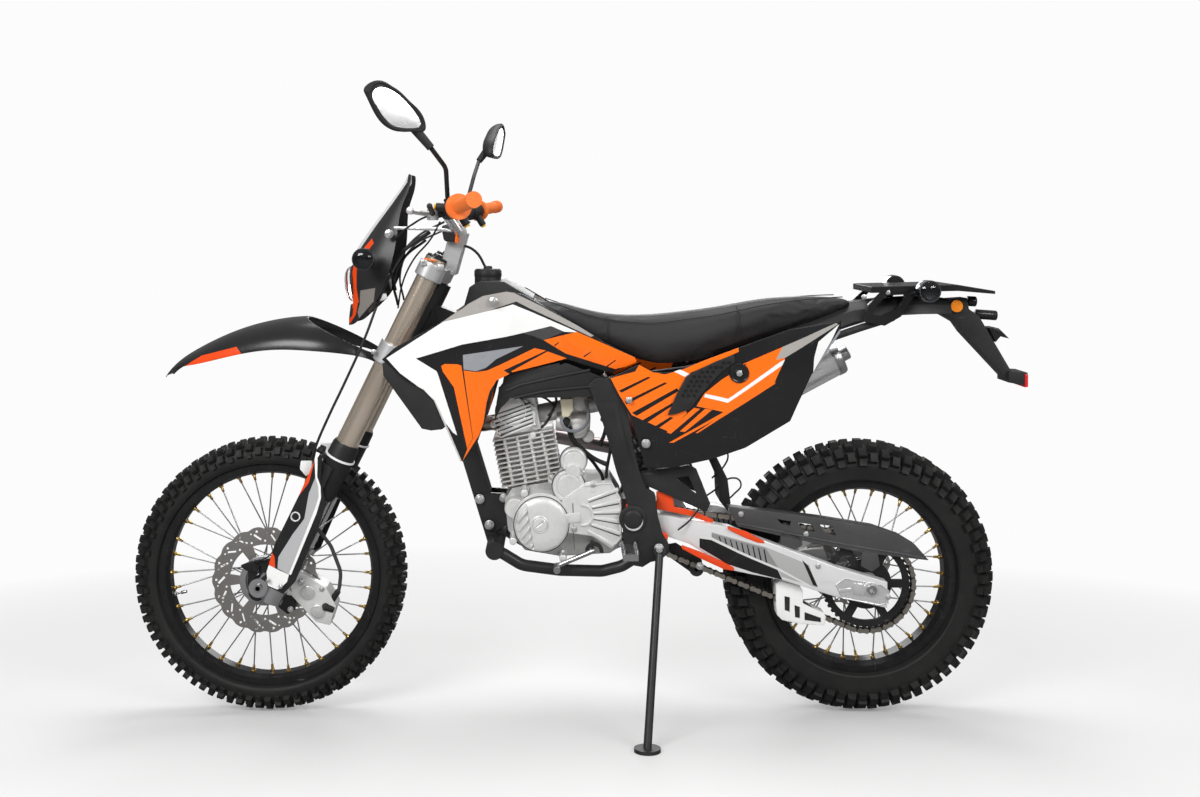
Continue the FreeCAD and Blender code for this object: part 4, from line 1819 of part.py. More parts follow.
def upright_nodes():
    """Every piece of the upright bike, the drop that puts the leaned tyres on the floor, and the rear axle."""
    front_tyre = tyre(ORIGIN, FRONT_TYRE_RADIUS, FRONT_TYRE_WIDTH, FRONT_RIM_FLANGE_RADIUS, FRONT_RIM_WIDTH,
                      FRONT_LUG_HEIGHT, FRONT_LUG_COUNT)
    rear_tyre = tyre(ORIGIN, REAR_TYRE_RADIUS, REAR_TYRE_WIDTH, REAR_RIM_FLANGE_RADIUS, REAR_RIM_WIDTH,
                     REAR_LUG_HEIGHT, REAR_LUG_COUNT)
    floor = FRONT_AXLE.z * math.cos(LEAN) - wheel_reach(front_tyre)
    rear_axle = V(WHEELBASE / 2, 0, (wheel_reach(rear_tyre) + floor) / math.cos(LEAN))
    nodes = chassis_nodes(rear_axle)
    nodes.update(steering_nodes())
    nodes.update(front_wheel_nodes(front_tyre))
    nodes.update(rear_wheel_nodes(rear_tyre, rear_axle))
    nodes["side_stand"] = side_stand(floor)
    return nodes, floor, rear_axle


def placement(nodes, floor):
    """The lean onto the stand, then the shift that puts the middle of the bike's box over the origin."""
    lean = FreeCAD.Placement(V(0, 0, -floor), FreeCAD.Rotation(V(1, 0, 0), LEAN_DEG))
    boxes = []
    for shape in nodes.values():
        leaned = shape.copy()
        leaned.Placement = lean.multiply(leaned.Placement)
        boxes.append(lowest(leaned))
    middle = [(min(box[axis] for box in boxes) + max(box[axis + 3] for box in boxes)) / 2 for axis in (0, 1)]
    shift = FreeCAD.Placement(V(-middle[0], -middle[1], 0), FreeCAD.Rotation())
    return shift.multiply(lean)


def world_facts(place, floor, rear_axle):
    """Points and directions of the leaned bike that the joints and mounts use."""
    turn = place.Rotation
    points = {
        "steering point": place.multVec(STEERING_POINT),
        "steering axis": turn.multVec(FORK_UP),
        "front axle": place.multVec(FRONT_AXLE),
        "rear axle": place.multVec(rear_axle),
        "axle direction": turn.multVec(LATERAL),
        "stand pivot": place.multVec(stand_pivot()),
        "stand axis": turn.multVec(stand_axis()),
        "upright origin": place.multVec(ORIGIN),
        "rack middle": place.multVec(rack_middle()),
        "rack up": turn.multVec(V(0, 0, 1)),
        "front bore": place.multVec(FRONT_AXLE - LATERAL * (FORK_HALF_SPREAD + FORK_FOOT_RADIUS) * BORE_MIDDLE_SHARE),
        "rear bore": place.multVec(rear_axle - LATERAL * (ARM_OUTER_SIDE + AXLE_HEAD) * BORE_MIDDLE_SHARE),
        "foot": place.multVec(stand_foot(floor)),
    }
    for name, point in points.items():
        print(name, round(point.x, FACT_DIGITS), round(point.y, FACT_DIGITS), round(point.z, FACT_DIGITS))


def main():
    """Builds, places and writes every piece."""
    nodes, floor, rear_axle = upright_nodes()
    place = placement(nodes, floor)
    os.makedirs("parts", exist_ok=True)
    for name, shape in nodes.items():
        shape.Placement = place.multiply(shape.Placement)
        shape.exportStep("parts/" + name + ".step")
    world_facts(place, floor, rear_axle)


main()
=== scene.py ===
"""Looks of the enduro dirt bike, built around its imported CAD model.

The bike is drawn upright, as the photograph shows it, and each finished piece is then leaned onto the
side stand, as the CAD model stands. X runs backwards, Y to the bike's right and Z up. Sizes are in metres.
"""

import json
import logging
import math
import random
from dataclasses import dataclass, field, replace
from enum import Enum
from typing import Iterable, Sequence

import bmesh
import bpy
from mathutils import Matrix, Vector
from mathutils.geometry import tessellate_polygon

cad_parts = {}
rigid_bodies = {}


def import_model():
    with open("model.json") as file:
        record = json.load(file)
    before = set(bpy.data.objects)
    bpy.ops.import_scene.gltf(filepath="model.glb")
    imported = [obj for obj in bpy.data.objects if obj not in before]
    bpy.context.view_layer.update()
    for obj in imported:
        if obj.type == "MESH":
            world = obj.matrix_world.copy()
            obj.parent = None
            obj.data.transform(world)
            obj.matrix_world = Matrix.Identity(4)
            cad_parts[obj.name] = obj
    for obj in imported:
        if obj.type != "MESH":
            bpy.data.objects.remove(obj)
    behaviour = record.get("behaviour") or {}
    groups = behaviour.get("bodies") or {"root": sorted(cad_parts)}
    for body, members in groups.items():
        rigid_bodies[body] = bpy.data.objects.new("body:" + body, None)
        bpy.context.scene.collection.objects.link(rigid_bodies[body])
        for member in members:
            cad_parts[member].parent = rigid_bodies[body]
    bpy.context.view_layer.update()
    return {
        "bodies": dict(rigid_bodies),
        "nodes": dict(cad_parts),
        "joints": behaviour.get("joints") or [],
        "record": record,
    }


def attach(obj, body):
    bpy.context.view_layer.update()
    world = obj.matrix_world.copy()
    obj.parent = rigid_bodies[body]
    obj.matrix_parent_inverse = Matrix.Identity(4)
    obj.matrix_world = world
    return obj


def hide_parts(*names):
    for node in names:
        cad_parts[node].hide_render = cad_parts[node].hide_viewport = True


logging.basicConfig(level=logging.INFO, format="%(message)s")
log = logging.getLogger("enduro")

Point = tuple[float, float, float]
Flat = tuple[float, float]
Colour = tuple[float, float, float]

# The upright bike's axles; its fork's rake, how far its centreline runs behind the axle, and half its width; its chain
FRONT_AXLE: Point = (-0.7475, 0.0, 0.346)
REAR_AXLE: Point = (0.7475, 0.0, 0.34314)
RAKE = math.radians(26.0)
FORK_OFFSET = 0.0377
FORK_LEFT = 0.1
CHAIN_PITCH = 0.015875
SMALL_WHEEL_TEETH = 13
LARGE_WHEEL_TEETH = 46
SMALL_WHEEL_SPOT: Flat = (0.088, 0.520)  # X and Z of the small chain wheel
WHITE_LEVEL = 0.975  # brightness of the room and the far floor, just short of white
OUTWARD: Point = (0.0, -1.0, 0.0)  # out of the bike's left side


class Slot(str, Enum):
    """The record's material slots."""

    ALLOY = "alloy"
    BLACK = "black_plastic"
    CHAIN = "chain"
    EXHAUST = "exhaust"
    FRAME = "frame_paint"
    GOLD = "gold"
    ORANGE = "orange"
    GRIP = "orange_rubber"
    RIM = "rim"
    RUBBER = "rubber"
    SILVER = "silver_paint"
    STEEL = "steel"
    TYRE = "tyre"
    VINYL = "vinyl"
    WHITE = "white_plastic"


class Body(str, Enum):
    """The bodies that move on their own."""

    CHASSIS = "chassis"
    STEERING = "steering"
    FRONT_WHEEL = "front_wheel"
    REAR_WHEEL = "rear_wheel"
    STAND = "side_stand"


@dataclass(frozen=True)
class Stance:
    """How the upright bike is set down: leaned about X onto its stand and moved."""

    lean: float = math.radians(9.0)
    shift: Point = (-0.037652, 0.219804, 0.003665)

    def matrix(self) -> Matrix:
        """Return the move from the upright bike to the standing one."""
        return Matrix.Translation(self.shift) @ Matrix.Rotation(self.lean, 4, "X")

    def spot(self, point: Sequence[float]) -> Vector:
        """Return where a point of the upright bike stands."""
        return self.matrix() @ Vector(point)


STANCE = Stance()


@dataclass(frozen=True)
class PhotoView:
    """The photograph's camera, level and square to the upright bike."""

    scale: float = 1.495 / 585.0
    vanish: Flat = (560.0, 226.0)
    distance: float = 2.7
    middle: float = -0.0115
    eye_height: float = 1.2292
    width_px: int = 1200
    height_px: int = 797
    sensor: float = 36.0

    def seen(self, px: float, py: float, left: float) -> Vector:
        """Place a pixel of the photograph on the upright bike.

        Args:
            px: Pixel column.
            py: Pixel row.
            left: How far the place lies to the bike's left of its middle.

        Returns:
            The place on the upright bike.
        """
        size = self.scale * (1.0 - left / self.distance)
        return Vector((self.middle + (px - self.vanish[0]) * size, -left,
                       self.eye_height - (py - self.vanish[1]) * size))

    def flat(self, points: Iterable[Flat], left: float) -> list[Flat]:
        """Place pixels on an upright plane along the bike and return their X and Z."""
        return [(p.x, p.z) for p in (self.seen(px, py, left) for px, py in points)]

    def build(self) -> bpy.types.Object:
        """Add the camera at the photograph's viewpoint and make it the scene's own."""
        data = bpy.data.cameras.new("photo_camera")
        data.sensor_width = self.sensor
        data.lens = self.sensor * self.distance / (self.width_px * self.scale)
        data.shift_x = (self.width_px / 2 - self.vanish[0]) / self.width_px
        data.shift_y = (self.vanish[1] - self.height_px / 2) / self.width_px
        data.clip_end = 60.0
        camera = bpy.data.objects.new("photo_camera", data)
        bpy.context.scene.collection.objects.link(camera)
        upright = Matrix.Translation((self.middle, -self.distance, self.eye_height)) @ Matrix.Rotation(
            math.pi / 2, 4, "X")
        camera.matrix_world = STANCE.matrix() @ upright
        bpy.context.scene.camera = camera
        return camera


VIEW = PhotoView()


def fork_spot(along: float, ahead: float = 0.0, left: float = FORK_LEFT) -> Vector:
    """Place a point by the fork.

    Args:
        along: Distance up the fork from the level of the front axle.
        ahead: Distance in front of the fork's centreline, square to it.
        left: Distance to the bike's left of its middle.

    Returns:
        The place on the upright bike.
    """
    up = Vector((math.sin(RAKE), 0.0, math.cos(RAKE)))
    front = Vector((-math.cos(RAKE), 0.0, math.sin(RAKE)))
    return Vector(FRONT_AXLE) + up * along + front * (ahead - FORK_OFFSET) + Vector((0.0, -left, 0.0))


class NodeSheet:
    """A node tree that is filled in step by step."""

    def __init__(self, tree: bpy.types.NodeTree) -> None:
        """Take the tree to fill."""
        self.tree = tree

    def add(self, kind: str, inputs: dict | None = None, **settings: object) -> bpy.types.Node:
        """Add a node.

        Args:
            kind: Blender's name of the node.
            inputs: Values or sockets for its inputs, by name or number.
            settings: The node's own settings.

        Returns:
            The node.
        """
        node = self.tree.nodes.new(kind)
        for name, value in settings.items():
            setattr(node, name, value)
        for key, value in (inputs or {}).items():
            if isinstance(value, bpy.types.NodeSocket):
                self.tree.links.new(value, node.inputs[key])
            else:
                node.inputs[key].default_value = value
        return node

    def math(self, operation: str, first: object, second: object = 0.0, third: object = 0.0,
             clamp: bool = False) -> bpy.types.NodeSocket:
        """Return the result of a Math node."""
        inputs = {0: first, 1: second, 2: third}
        return self.add("ShaderNodeMath", inputs, operation=operation, use_clamp=clamp).outputs[0]

    def mix(self, share: object, first: object, second: object) -> bpy.types.NodeSocket:
        """Return a mix of two colours."""
        node = self.add("ShaderNodeMix", {0: share, 6: first, 7: second}, data_type="RGBA")
        return node.outputs[2]

    def noise(self, vector: object, scale: float, detail: float = 3.0, rough: float = 0.5) -> bpy.types.NodeSocket:
        """Return the value of a Noise Texture."""
        inputs = {"Vector": vector, "Scale": scale, "Detail": detail, "Roughness": rough}
        return self.add("ShaderNodeTexNoise", inputs).outputs[0]

    def ramp(self, value: object, low: float, high: float, to_low: float = 0.0,
             to_high: float = 1.0) -> bpy.types.NodeSocket:
        """Return the value spread from one range to another and held there."""
        inputs = {0: value, 1: low, 2: high, 3: to_low, 4: to_high}
        return self.add("ShaderNodeMapRange", inputs).outputs[0]

    def bump(self, height: object, strength: float, distance: float, normal: object = None) -> bpy.types.NodeSocket:
        """Return a normal bent by a height."""
        inputs = {"Height": height, "Strength": strength, "Distance": distance}
        if normal is not None:
            inputs["Normal"] = normal
        return self.add("ShaderNodeBump", inputs).outputs[0]

    def place(self) -> bpy.types.NodeSocket:
        """Return the place on the piece."""
        return self.add("ShaderNodeTexCoord").outputs["Object"]

    def upright(self, centre: Point = (0.0, 0.0, 0.0)) -> bpy.types.NodeSocket:
        """Return the place on the upright bike, counted from a centre."""
        shift = STANCE.spot(centre)
        inputs = {"Vector": self.place(), "Location": shift, "Rotation": (STANCE.lean, 0.0, 0.0)}
        return self.add("ShaderNodeMapping", inputs, vector_type="TEXTURE").outputs[0]


class EffectLibrary:
    """The node groups that several finishes share, each built once."""

    def __init__(self) -> None:
        """Start with no groups built."""
        self._made: dict[str, bpy.types.NodeTree] = {}

    def _start(self, name: str, inputs: dict[str, tuple[str, object]],
               outputs: dict[str, str]) -> tuple[NodeSheet, bpy.types.Node, bpy.types.Node]:
        """Begin a group with named sockets and return its sheet, its inputs and its outputs."""
        tree = bpy.data.node_groups.new(name, "ShaderNodeTree")
        for label, (kind, value) in inputs.items():
            socket = tree.interface.new_socket(name=label, in_out="INPUT", socket_type=kind)
            if value is not None:
                socket.default_value = value
        for label, kind in outputs.items():
            tree.interface.new_socket(name=label, in_out="OUTPUT", socket_type=kind)
        sheet = NodeSheet(tree)
        self._made[name] = tree
        return sheet, sheet.add("NodeGroupInput"), sheet.add("NodeGroupOutput")

    def _close(self, sheet: NodeSheet, end: bpy.types.Node, results: dict[str, object]) -> None:
        """Join the results to the group's outputs."""
        for label, socket in results.items():
            sheet.tree.links.new(socket, end.inputs[label])

    def use(self, sheet: NodeSheet, name: str, values: dict[str, object]) -> bpy.types.Node:
        """Place a group in a sheet, building it on first use.

        Args:
            sheet: The node tree that uses it.
            name: One of the effects below.
            values: Values or sockets for its inputs.

        Returns:
            The group's node.
        """
        if name not in self._made:
            getattr(self, "_build_" + name)()
        return sheet.add("ShaderNodeGroup", values, node_tree=self._made[name])

    def _build_grain(self) -> None:
        """Moulded texture: fine pits with slow variation of gloss."""
        sheet, start, end = self._start(
            "grain", {"Place": ("NodeSocketVector", None), "Scale": ("NodeSocketFloat", 900.0)},
            {"Height": "NodeSocketFloat", "Variation": "NodeSocketFloat"})
        place, scale = start.outputs["Place"], start.outputs["Scale"]
        pits = sheet.add("ShaderNodeTexVoronoi", {"Vector": place, "Scale": scale}).outputs[0]
        fine = sheet.noise(place, 160.0, 4.0, 0.6)
        slow = sheet.noise(place, 9.0, 4.0, 0.55)
        height = sheet.math("ADD", sheet.math("MULTIPLY", pits, 0.7), sheet.math("MULTIPLY", fine, 0.5))
        self._close(sheet, end, {"Height": height, "Variation": slow})

    def _build_scuffs(self) -> None:
        """Fine hairline scratches in crossing directions and small worn patches."""
        sheet, start, end = self._start(
            "scuffs", {"Place": ("NodeSocketVector", None), "Amount": ("NodeSocketFloat", 0.5)},
            {"Mask": "NodeSocketFloat", "Height": "NodeSocketFloat"})
        place = start.outputs["Place"]
        lines = []
        for turn, scale in (((0.3, 0.5, 0.9), (14.0, 620.0, 14.0)), ((0.9, -0.4, -0.7), (620.0, 11.0, 11.0))):
            turned = sheet.add("ShaderNodeMapping", {"Vector": place, "Rotation": turn, "Scale": scale}).outputs[0]
            lines.append(sheet.ramp(sheet.noise(turned, 1.0, 2.0), 0.66, 0.74))
        patches = sheet.ramp(sheet.noise(place, 14.0, 5.0, 0.65), 0.5, 0.72)
        both = sheet.math("MAXIMUM", lines[0], lines[1])
        mask = sheet.math("MULTIPLY", sheet.math("MULTIPLY", both, patches), start.outputs["Amount"], clamp=True)
        self._close(sheet, end, {"Mask": mask, "Height": both})

    def _build_dust(self) -> None:
        """Road dust that lies thicker low down, in soft clouds."""
        sheet, start, end = self._start(
            "dust", {"Place": ("NodeSocketVector", None), "Amount": ("NodeSocketFloat", 0.3)},
            {"Mask": "NodeSocketFloat"})
        place = start.outputs["Place"]
        height = sheet.add("ShaderNodeSeparateXYZ", {0: place}).outputs[2]
        low = sheet.ramp(height, 0.0, 1.1, 1.0, 0.25)
        clouds = sheet.ramp(sheet.noise(place, 26.0, 6.0, 0.7), 0.42, 0.78)
        specks = sheet.ramp(sheet.noise(place, 420.0, 2.0), 0.6, 0.72)
        total = sheet.math("MAXIMUM", clouds, sheet.math("MULTIPLY", specks, 0.5))
        mask = sheet.math("MULTIPLY", sheet.math("MULTIPLY", total, low), start.outputs["Amount"], clamp=True)
        self._close(sheet, end, {"Mask": mask})

    def _build_casting(self) -> None:
        """Sand-cast and bead-blasted metal: a soft pebble with small pores."""
        sheet, start, end = self._start(
            "casting", {"Place": ("NodeSocketVector", None), "Scale": ("NodeSocketFloat", 260.0)},
            {"Height": "NodeSocketFloat", "Stain": "NodeSocketFloat"})
        place = start.outputs["Place"]
        pebble = sheet.noise(place, start.outputs["Scale"], 4.0, 0.6)
        pores = sheet.ramp(sheet.add("ShaderNodeTexVoronoi", {"Vector": place, "Scale": 540.0}).outputs[0], 0.05, 0.2)
        height = sheet.math("ADD", pebble, sheet.math("MULTIPLY", pores, 0.35))
        stain = sheet.ramp(sheet.noise(place, 12.0, 6.0, 0.7), 0.35, 0.75)
        self._close(sheet, end, {"Height": height, "Stain": stain})

    def _build_turned(self) -> None:
        """Fine turning marks round an axis, from the distance to it."""
        sheet, start, end = self._start(
            "turned", {"Offset": ("NodeSocketVector", None), "Pitch": ("NodeSocketFloat", 900.0)},
            {"Height": "NodeSocketFloat", "Radius": "NodeSocketFloat"})
        flat = sheet.add("ShaderNodeVectorMath", {0: start.outputs["Offset"], 1: (1.0, 0.0, 1.0)},
                         operation="MULTIPLY").outputs[0]
        radius = sheet.add("ShaderNodeVectorMath", {0: flat}, operation="LENGTH").outputs["Value"]
        line = sheet.add("ShaderNodeCombineXYZ", {0: sheet.math("MULTIPLY", radius, start.outputs["Pitch"])})
        marks = sheet.noise(line.outputs[0], 1.0, 3.0, 0.7)
        self._close(sheet, end, {"Height": marks, "Radius": radius})

    def _build_edge(self) -> None:
        """Share of how far inside a straight edge of a stripe a place lies."""
        sheet, start, end = self._start(
            "edge", {"Flat": ("NodeSocketVector", None), "Line": ("NodeSocketVector", None),
                     "Before": ("NodeSocketFloat", 1.0)}, {"Inside": "NodeSocketFloat"})
        depth = sheet.add("ShaderNodeVectorMath", {0: start.outputs["Flat"], 1: start.outputs["Line"]},
                          operation="DOT_PRODUCT").outputs["Value"]
        self._close(sheet, end, {"Inside": sheet.math("MINIMUM", depth, start.outputs["Before"])})


EFFECTS = EffectLibrary()


@dataclass(frozen=True)
class Stripe:
    """A flat area of another colour on a panel, seen from the side."""

    colour: Colour
    outline_px: tuple[Flat, ...]
    left: float

    def mask(self, sheet: NodeSheet, flat: bpy.types.NodeSocket) -> bpy.types.NodeSocket:
        """Return one inside the stripe and zero outside, from its triangles' edges.

        Args:
            sheet: The node tree.
            flat: The place on the upright bike, with one as its Y.

        Returns:
            The mask.
        """
        corners = [Vector((x, z, 0.0)) for x, z in VIEW.flat(self.outline_px, self.left)]
        total: object = 0.0
        for shape in convex_parts(corners):
            depth: object = 1.0
            for first, second in zip(shape, shape[1:] + shape[:1]):
                along = (second - first).normalized()
                inward = Vector((-along.y, along.x))
                line = (inward.x, -inward.dot(first.to_2d()), inward.y)
                node = EFFECTS.use(sheet, "edge", {"Flat": flat, "Line": line, "Before": depth})
                depth = node.outputs[0]
            total = sheet.math("MAXIMUM", total, sheet.ramp(depth, -0.0002, 0.0001))
        return total


def convex_parts(corners: Sequence[Vector]) -> list[list[Vector]]:
    """Split an outline into convex shapes that turn anticlockwise.

    Args:
        corners: The outline in order.

    Returns:
        The shapes, each a list of corners.
    """
    shapes = []
    for triangle in tessellate_polygon([corners]):
        points = [corners[i] for i in triangle]
        if (points[1] - points[0]).cross(points[2] - points[0]).z < 0.0:
            points.reverse()
        if (points[1] - points[0]).cross(points[2] - points[0]).z > 1e-9:
            shapes.append(points)
    merged = True
    while merged:
        merged = False
        for a in range(len(shapes)):
            for b in range(a + 1, len(shapes)):
                joined = joined_convex(shapes[a], shapes[b])
                if joined is not None:
                    shapes[a] = joined
                    del shapes[b]
                    merged = True
                    break
            if merged:
                break
    return shapes


def joined_convex(first: list[Vector], second: list[Vector]) -> list[Vector] | None:
    """Return two shapes joined across the side they share, or None if that isn't convex."""
    for i, start in enumerate(first):
        finish = first[(i + 1) % len(first)]
        for j, other in enumerate(second):
            if other is finish and second[(j + 1) % len(second)] is start:
                shape = first[i + 1:] + first[:i + 1]
                rest = second[j + 1:] + second[:j + 1]
                joined = shape + rest[1:-1]
                sides = zip(joined, joined[1:] + joined[:1], joined[2:] + joined[:2])
                if all((b - a).cross(c - b).z > -1e-12 for a, b, c in sides):
                    return joined
    return None


# How much of each finish's gloss and dust shows
GLOSS_SHARE = 0.85
DUST_SHARE = 0.3


class Relief(Enum):
    """What the surface of a finish feels like."""

    GRAIN = "grain"
    CAST = "cast"
    TURNED = "turned"
    BRUSHED = "brushed"
    PEEL = "peel"


@dataclass(frozen=True)
class Finish:
    """A finish with variation of colour and gloss, relief, scuffs, dust and painted stripes.

    Attributes:
        name: The material's name.
        colour: Its main colour.
        second: The colour that it drifts to in slow clouds.
        rough: Roughness where it is cleanest.
        spread: How much the roughness varies.
        metallic: One for bare metal.
        coat: Weight of the clear coat.
        relief: The kind of fine relief.
        depth: Strength of that relief.
        scale: Scale of that relief.
        scuffs: Amount of hairline scratches.
        scuff_colour: Colour under a scratch.
        dust: Amount of road dust.
        centre: Centre of turning marks, on the upright bike.
        along: Stretch of brushing along X, Y and Z of the upright bike.
        stripes: Painted areas, later ones on top.
        soft_edge: Radius to which hard edges are rounded in the light.
        gloss: Level of the mirror-like part of the reflection.
    """

    name: str
    colour: Colour
    second: Colour
    rough: float = 0.4
    spread: float = 0.15
    metallic: float = 0.0
    coat: float = 0.0
    relief: Relief = Relief.PEEL
    depth: float = 0.2
    scale: float = 900.0
    scuffs: float = 0.3
    scuff_colour: Colour = (0.5, 0.5, 0.5)
    dust: float = 0.15
    centre: Point = (0.0, 0.0, 0.0)
    along: Point = (6.0, 400.0, 400.0)
    stripes: tuple[Stripe, ...] = ()
    soft_edge: float = 0.0
    gloss: float = 0.5

    def relief_height(self, sheet: NodeSheet, place: bpy.types.NodeSocket) -> tuple[object, object, float]:
        """Return the relief's height, its slow variation and its depth in metres."""
        slow = sheet.noise(place, 7.0, 4.0, 0.6)
        if self.relief is Relief.GRAIN:
            node = EFFECTS.use(sheet, "grain", {"Place": place, "Scale": self.scale})
            return node.outputs["Height"], node.outputs["Variation"], 0.0004
        if self.relief is Relief.CAST:
            node = EFFECTS.use(sheet, "casting", {"Place": place, "Scale": self.scale})
            return node.outputs["Height"], node.outputs["Stain"], 0.0006
        if self.relief is Relief.TURNED:
            node = EFFECTS.use(sheet, "turned", {"Offset": sheet.upright(self.centre), "Pitch": self.scale})
            return node.outputs["Height"], slow, 0.0002
        if self.relief is Relief.BRUSHED:
            stretched = sheet.add("ShaderNodeMapping", {"Vector": sheet.upright(), "Scale": self.along}).outputs[0]
            return sheet.noise(stretched, 1.0, 3.0, 0.6), slow, 0.0002
        return sheet.noise(place, self.scale * 0.35, 2.0, 0.4), slow, 0.0004

    def build(self) -> bpy.types.Material:
        """Make the material."""
        material = bpy.data.materials.new(self.name)
        material.use_nodes = True
        sheet = NodeSheet(material.node_tree)
        shader = material.node_tree.nodes["Principled BSDF"]
        place = sheet.place()
        height, slow, depth = self.relief_height(sheet, place)
        colour: object = sheet.mix(sheet.ramp(slow, 0.3, 0.7), (*self.colour, 1.0), (*self.second, 1.0))
        if self.stripes:
            upright = sheet.upright()
            masked = sheet.add("ShaderNodeVectorMath", {0: upright, 1: (1.0, 0.0, 1.0)}, operation="MULTIPLY")
            flat = sheet.add("ShaderNodeVectorMath", {0: masked.outputs[0], 1: (0.0, 1.0, 0.0)},
                             operation="ADD").outputs[0]
            for stripe in self.stripes:
                colour = sheet.mix(stripe.mask(sheet, flat), colour, (*stripe.colour, 1.0))
        rough: object = sheet.ramp(slow, 0.25, 0.75, self.rough, self.rough + self.spread)
        if self.scuffs:
            scuff = EFFECTS.use(sheet, "scuffs", {"Place": place, "Amount": self.scuffs})
            colour = sheet.mix(scuff.outputs["Mask"], colour, (*self.scuff_colour, 1.0))
            rough = sheet.math("MULTIPLY_ADD", scuff.outputs["Mask"], 0.25, rough)
        if self.dust:
            dust = EFFECTS.use(sheet, "dust", {"Place": place, "Amount": self.dust * DUST_SHARE})
            colour = sheet.mix(dust.outputs["Mask"], colour, (0.2, 0.18, 0.155, 1.0))
            rough = sheet.math("MULTIPLY_ADD", dust.outputs["Mask"], 0.4, rough, clamp=True)
        sheet.tree.links.new(colour, shader.inputs["Base Color"])
        sheet.tree.links.new(rough, shader.inputs["Roughness"])
        shader.inputs["Metallic"].default_value = self.metallic
        shader.inputs["Coat Weight"].default_value = self.coat
        shader.inputs["Coat Roughness"].default_value = 0.08
        shader.inputs["Specular IOR Level"].default_value = self.gloss * GLOSS_SHARE
        under = None
        if self.soft_edge:
            under = sheet.add("ShaderNodeBevel", {"Radius": self.soft_edge}, samples=4).outputs[0]
        normal = sheet.bump(height, self.depth, depth, under)
        sheet.tree.links.new(normal, shader.inputs["Normal"])
        return material


@dataclass(frozen=True)
class Lens:
    """A clear or tinted moulded lens."""

    name: str
    tint: Colour
    rough: float = 0.05
    clear: float = 1.0
    ribs: float = 0.0

    def build(self) -> bpy.types.Material:
        """Make the material, with fine moulding waves or ribs."""
        material = bpy.data.materials.new(self.name)
        material.use_nodes = True
        sheet = NodeSheet(material.node_tree)
        shader = material.node_tree.nodes["Principled BSDF"]
        place = sheet.place()
        slow = sheet.noise(place, 30.0, 3.0)
        edge = tuple(c * 0.86 for c in self.tint)
        colour = sheet.mix(sheet.ramp(slow, 0.3, 0.7), (*self.tint, 1.0), (*edge, 1.0))
        sheet.tree.links.new(colour, shader.inputs["Base Color"])
        rough = sheet.ramp(slow, 0.3, 0.7, self.rough, self.rough + 0.05)
        sheet.tree.links.new(rough, shader.inputs["Roughness"])
        shader.inputs["Transmission Weight"].default_value = self.clear
        shader.inputs["IOR"].default_value = 1.49
        height: object = slow
        if self.ribs:
            height = sheet.add("ShaderNodeTexWave", {"Vector": place, "Scale": self.ribs, "Distortion": 0.2},
                               wave_type="BANDS", bands_direction="X").outputs[1]
        normal = sheet.bump(height, 0.35 if self.ribs else 0.05, 0.001)
        sheet.tree.links.new(normal, shader.inputs["Normal"])
        return material


def dress(piece: bpy.types.Object, material: bpy.types.Material) -> None:
    """Give a piece or a CAD node its material."""
    if not piece.material_slots:
        piece.data.materials.append(material)
    for place in piece.material_slots:
        place.material = material


BLACK = (0.011, 0.011, 0.012)
WHITE = (0.82, 0.82, 0.81)
ORANGE = (0.93, 0.155, 0.004)
RED_ORANGE = (0.76, 0.06, 0.004)
GREY_TRIM = (0.36, 0.34, 0.32)
POCKET_GREY = (0.27, 0.28, 0.3)
SILVER_LINE = (0.5, 0.5, 0.5)
HATCH = (0.06, 0.06, 0.06)
INSET = (0.42, 0.42, 0.43)
ARM_GREY = (0.5, 0.5, 0.49)
ARM_HATCH = (0.3, 0.3, 0.3)

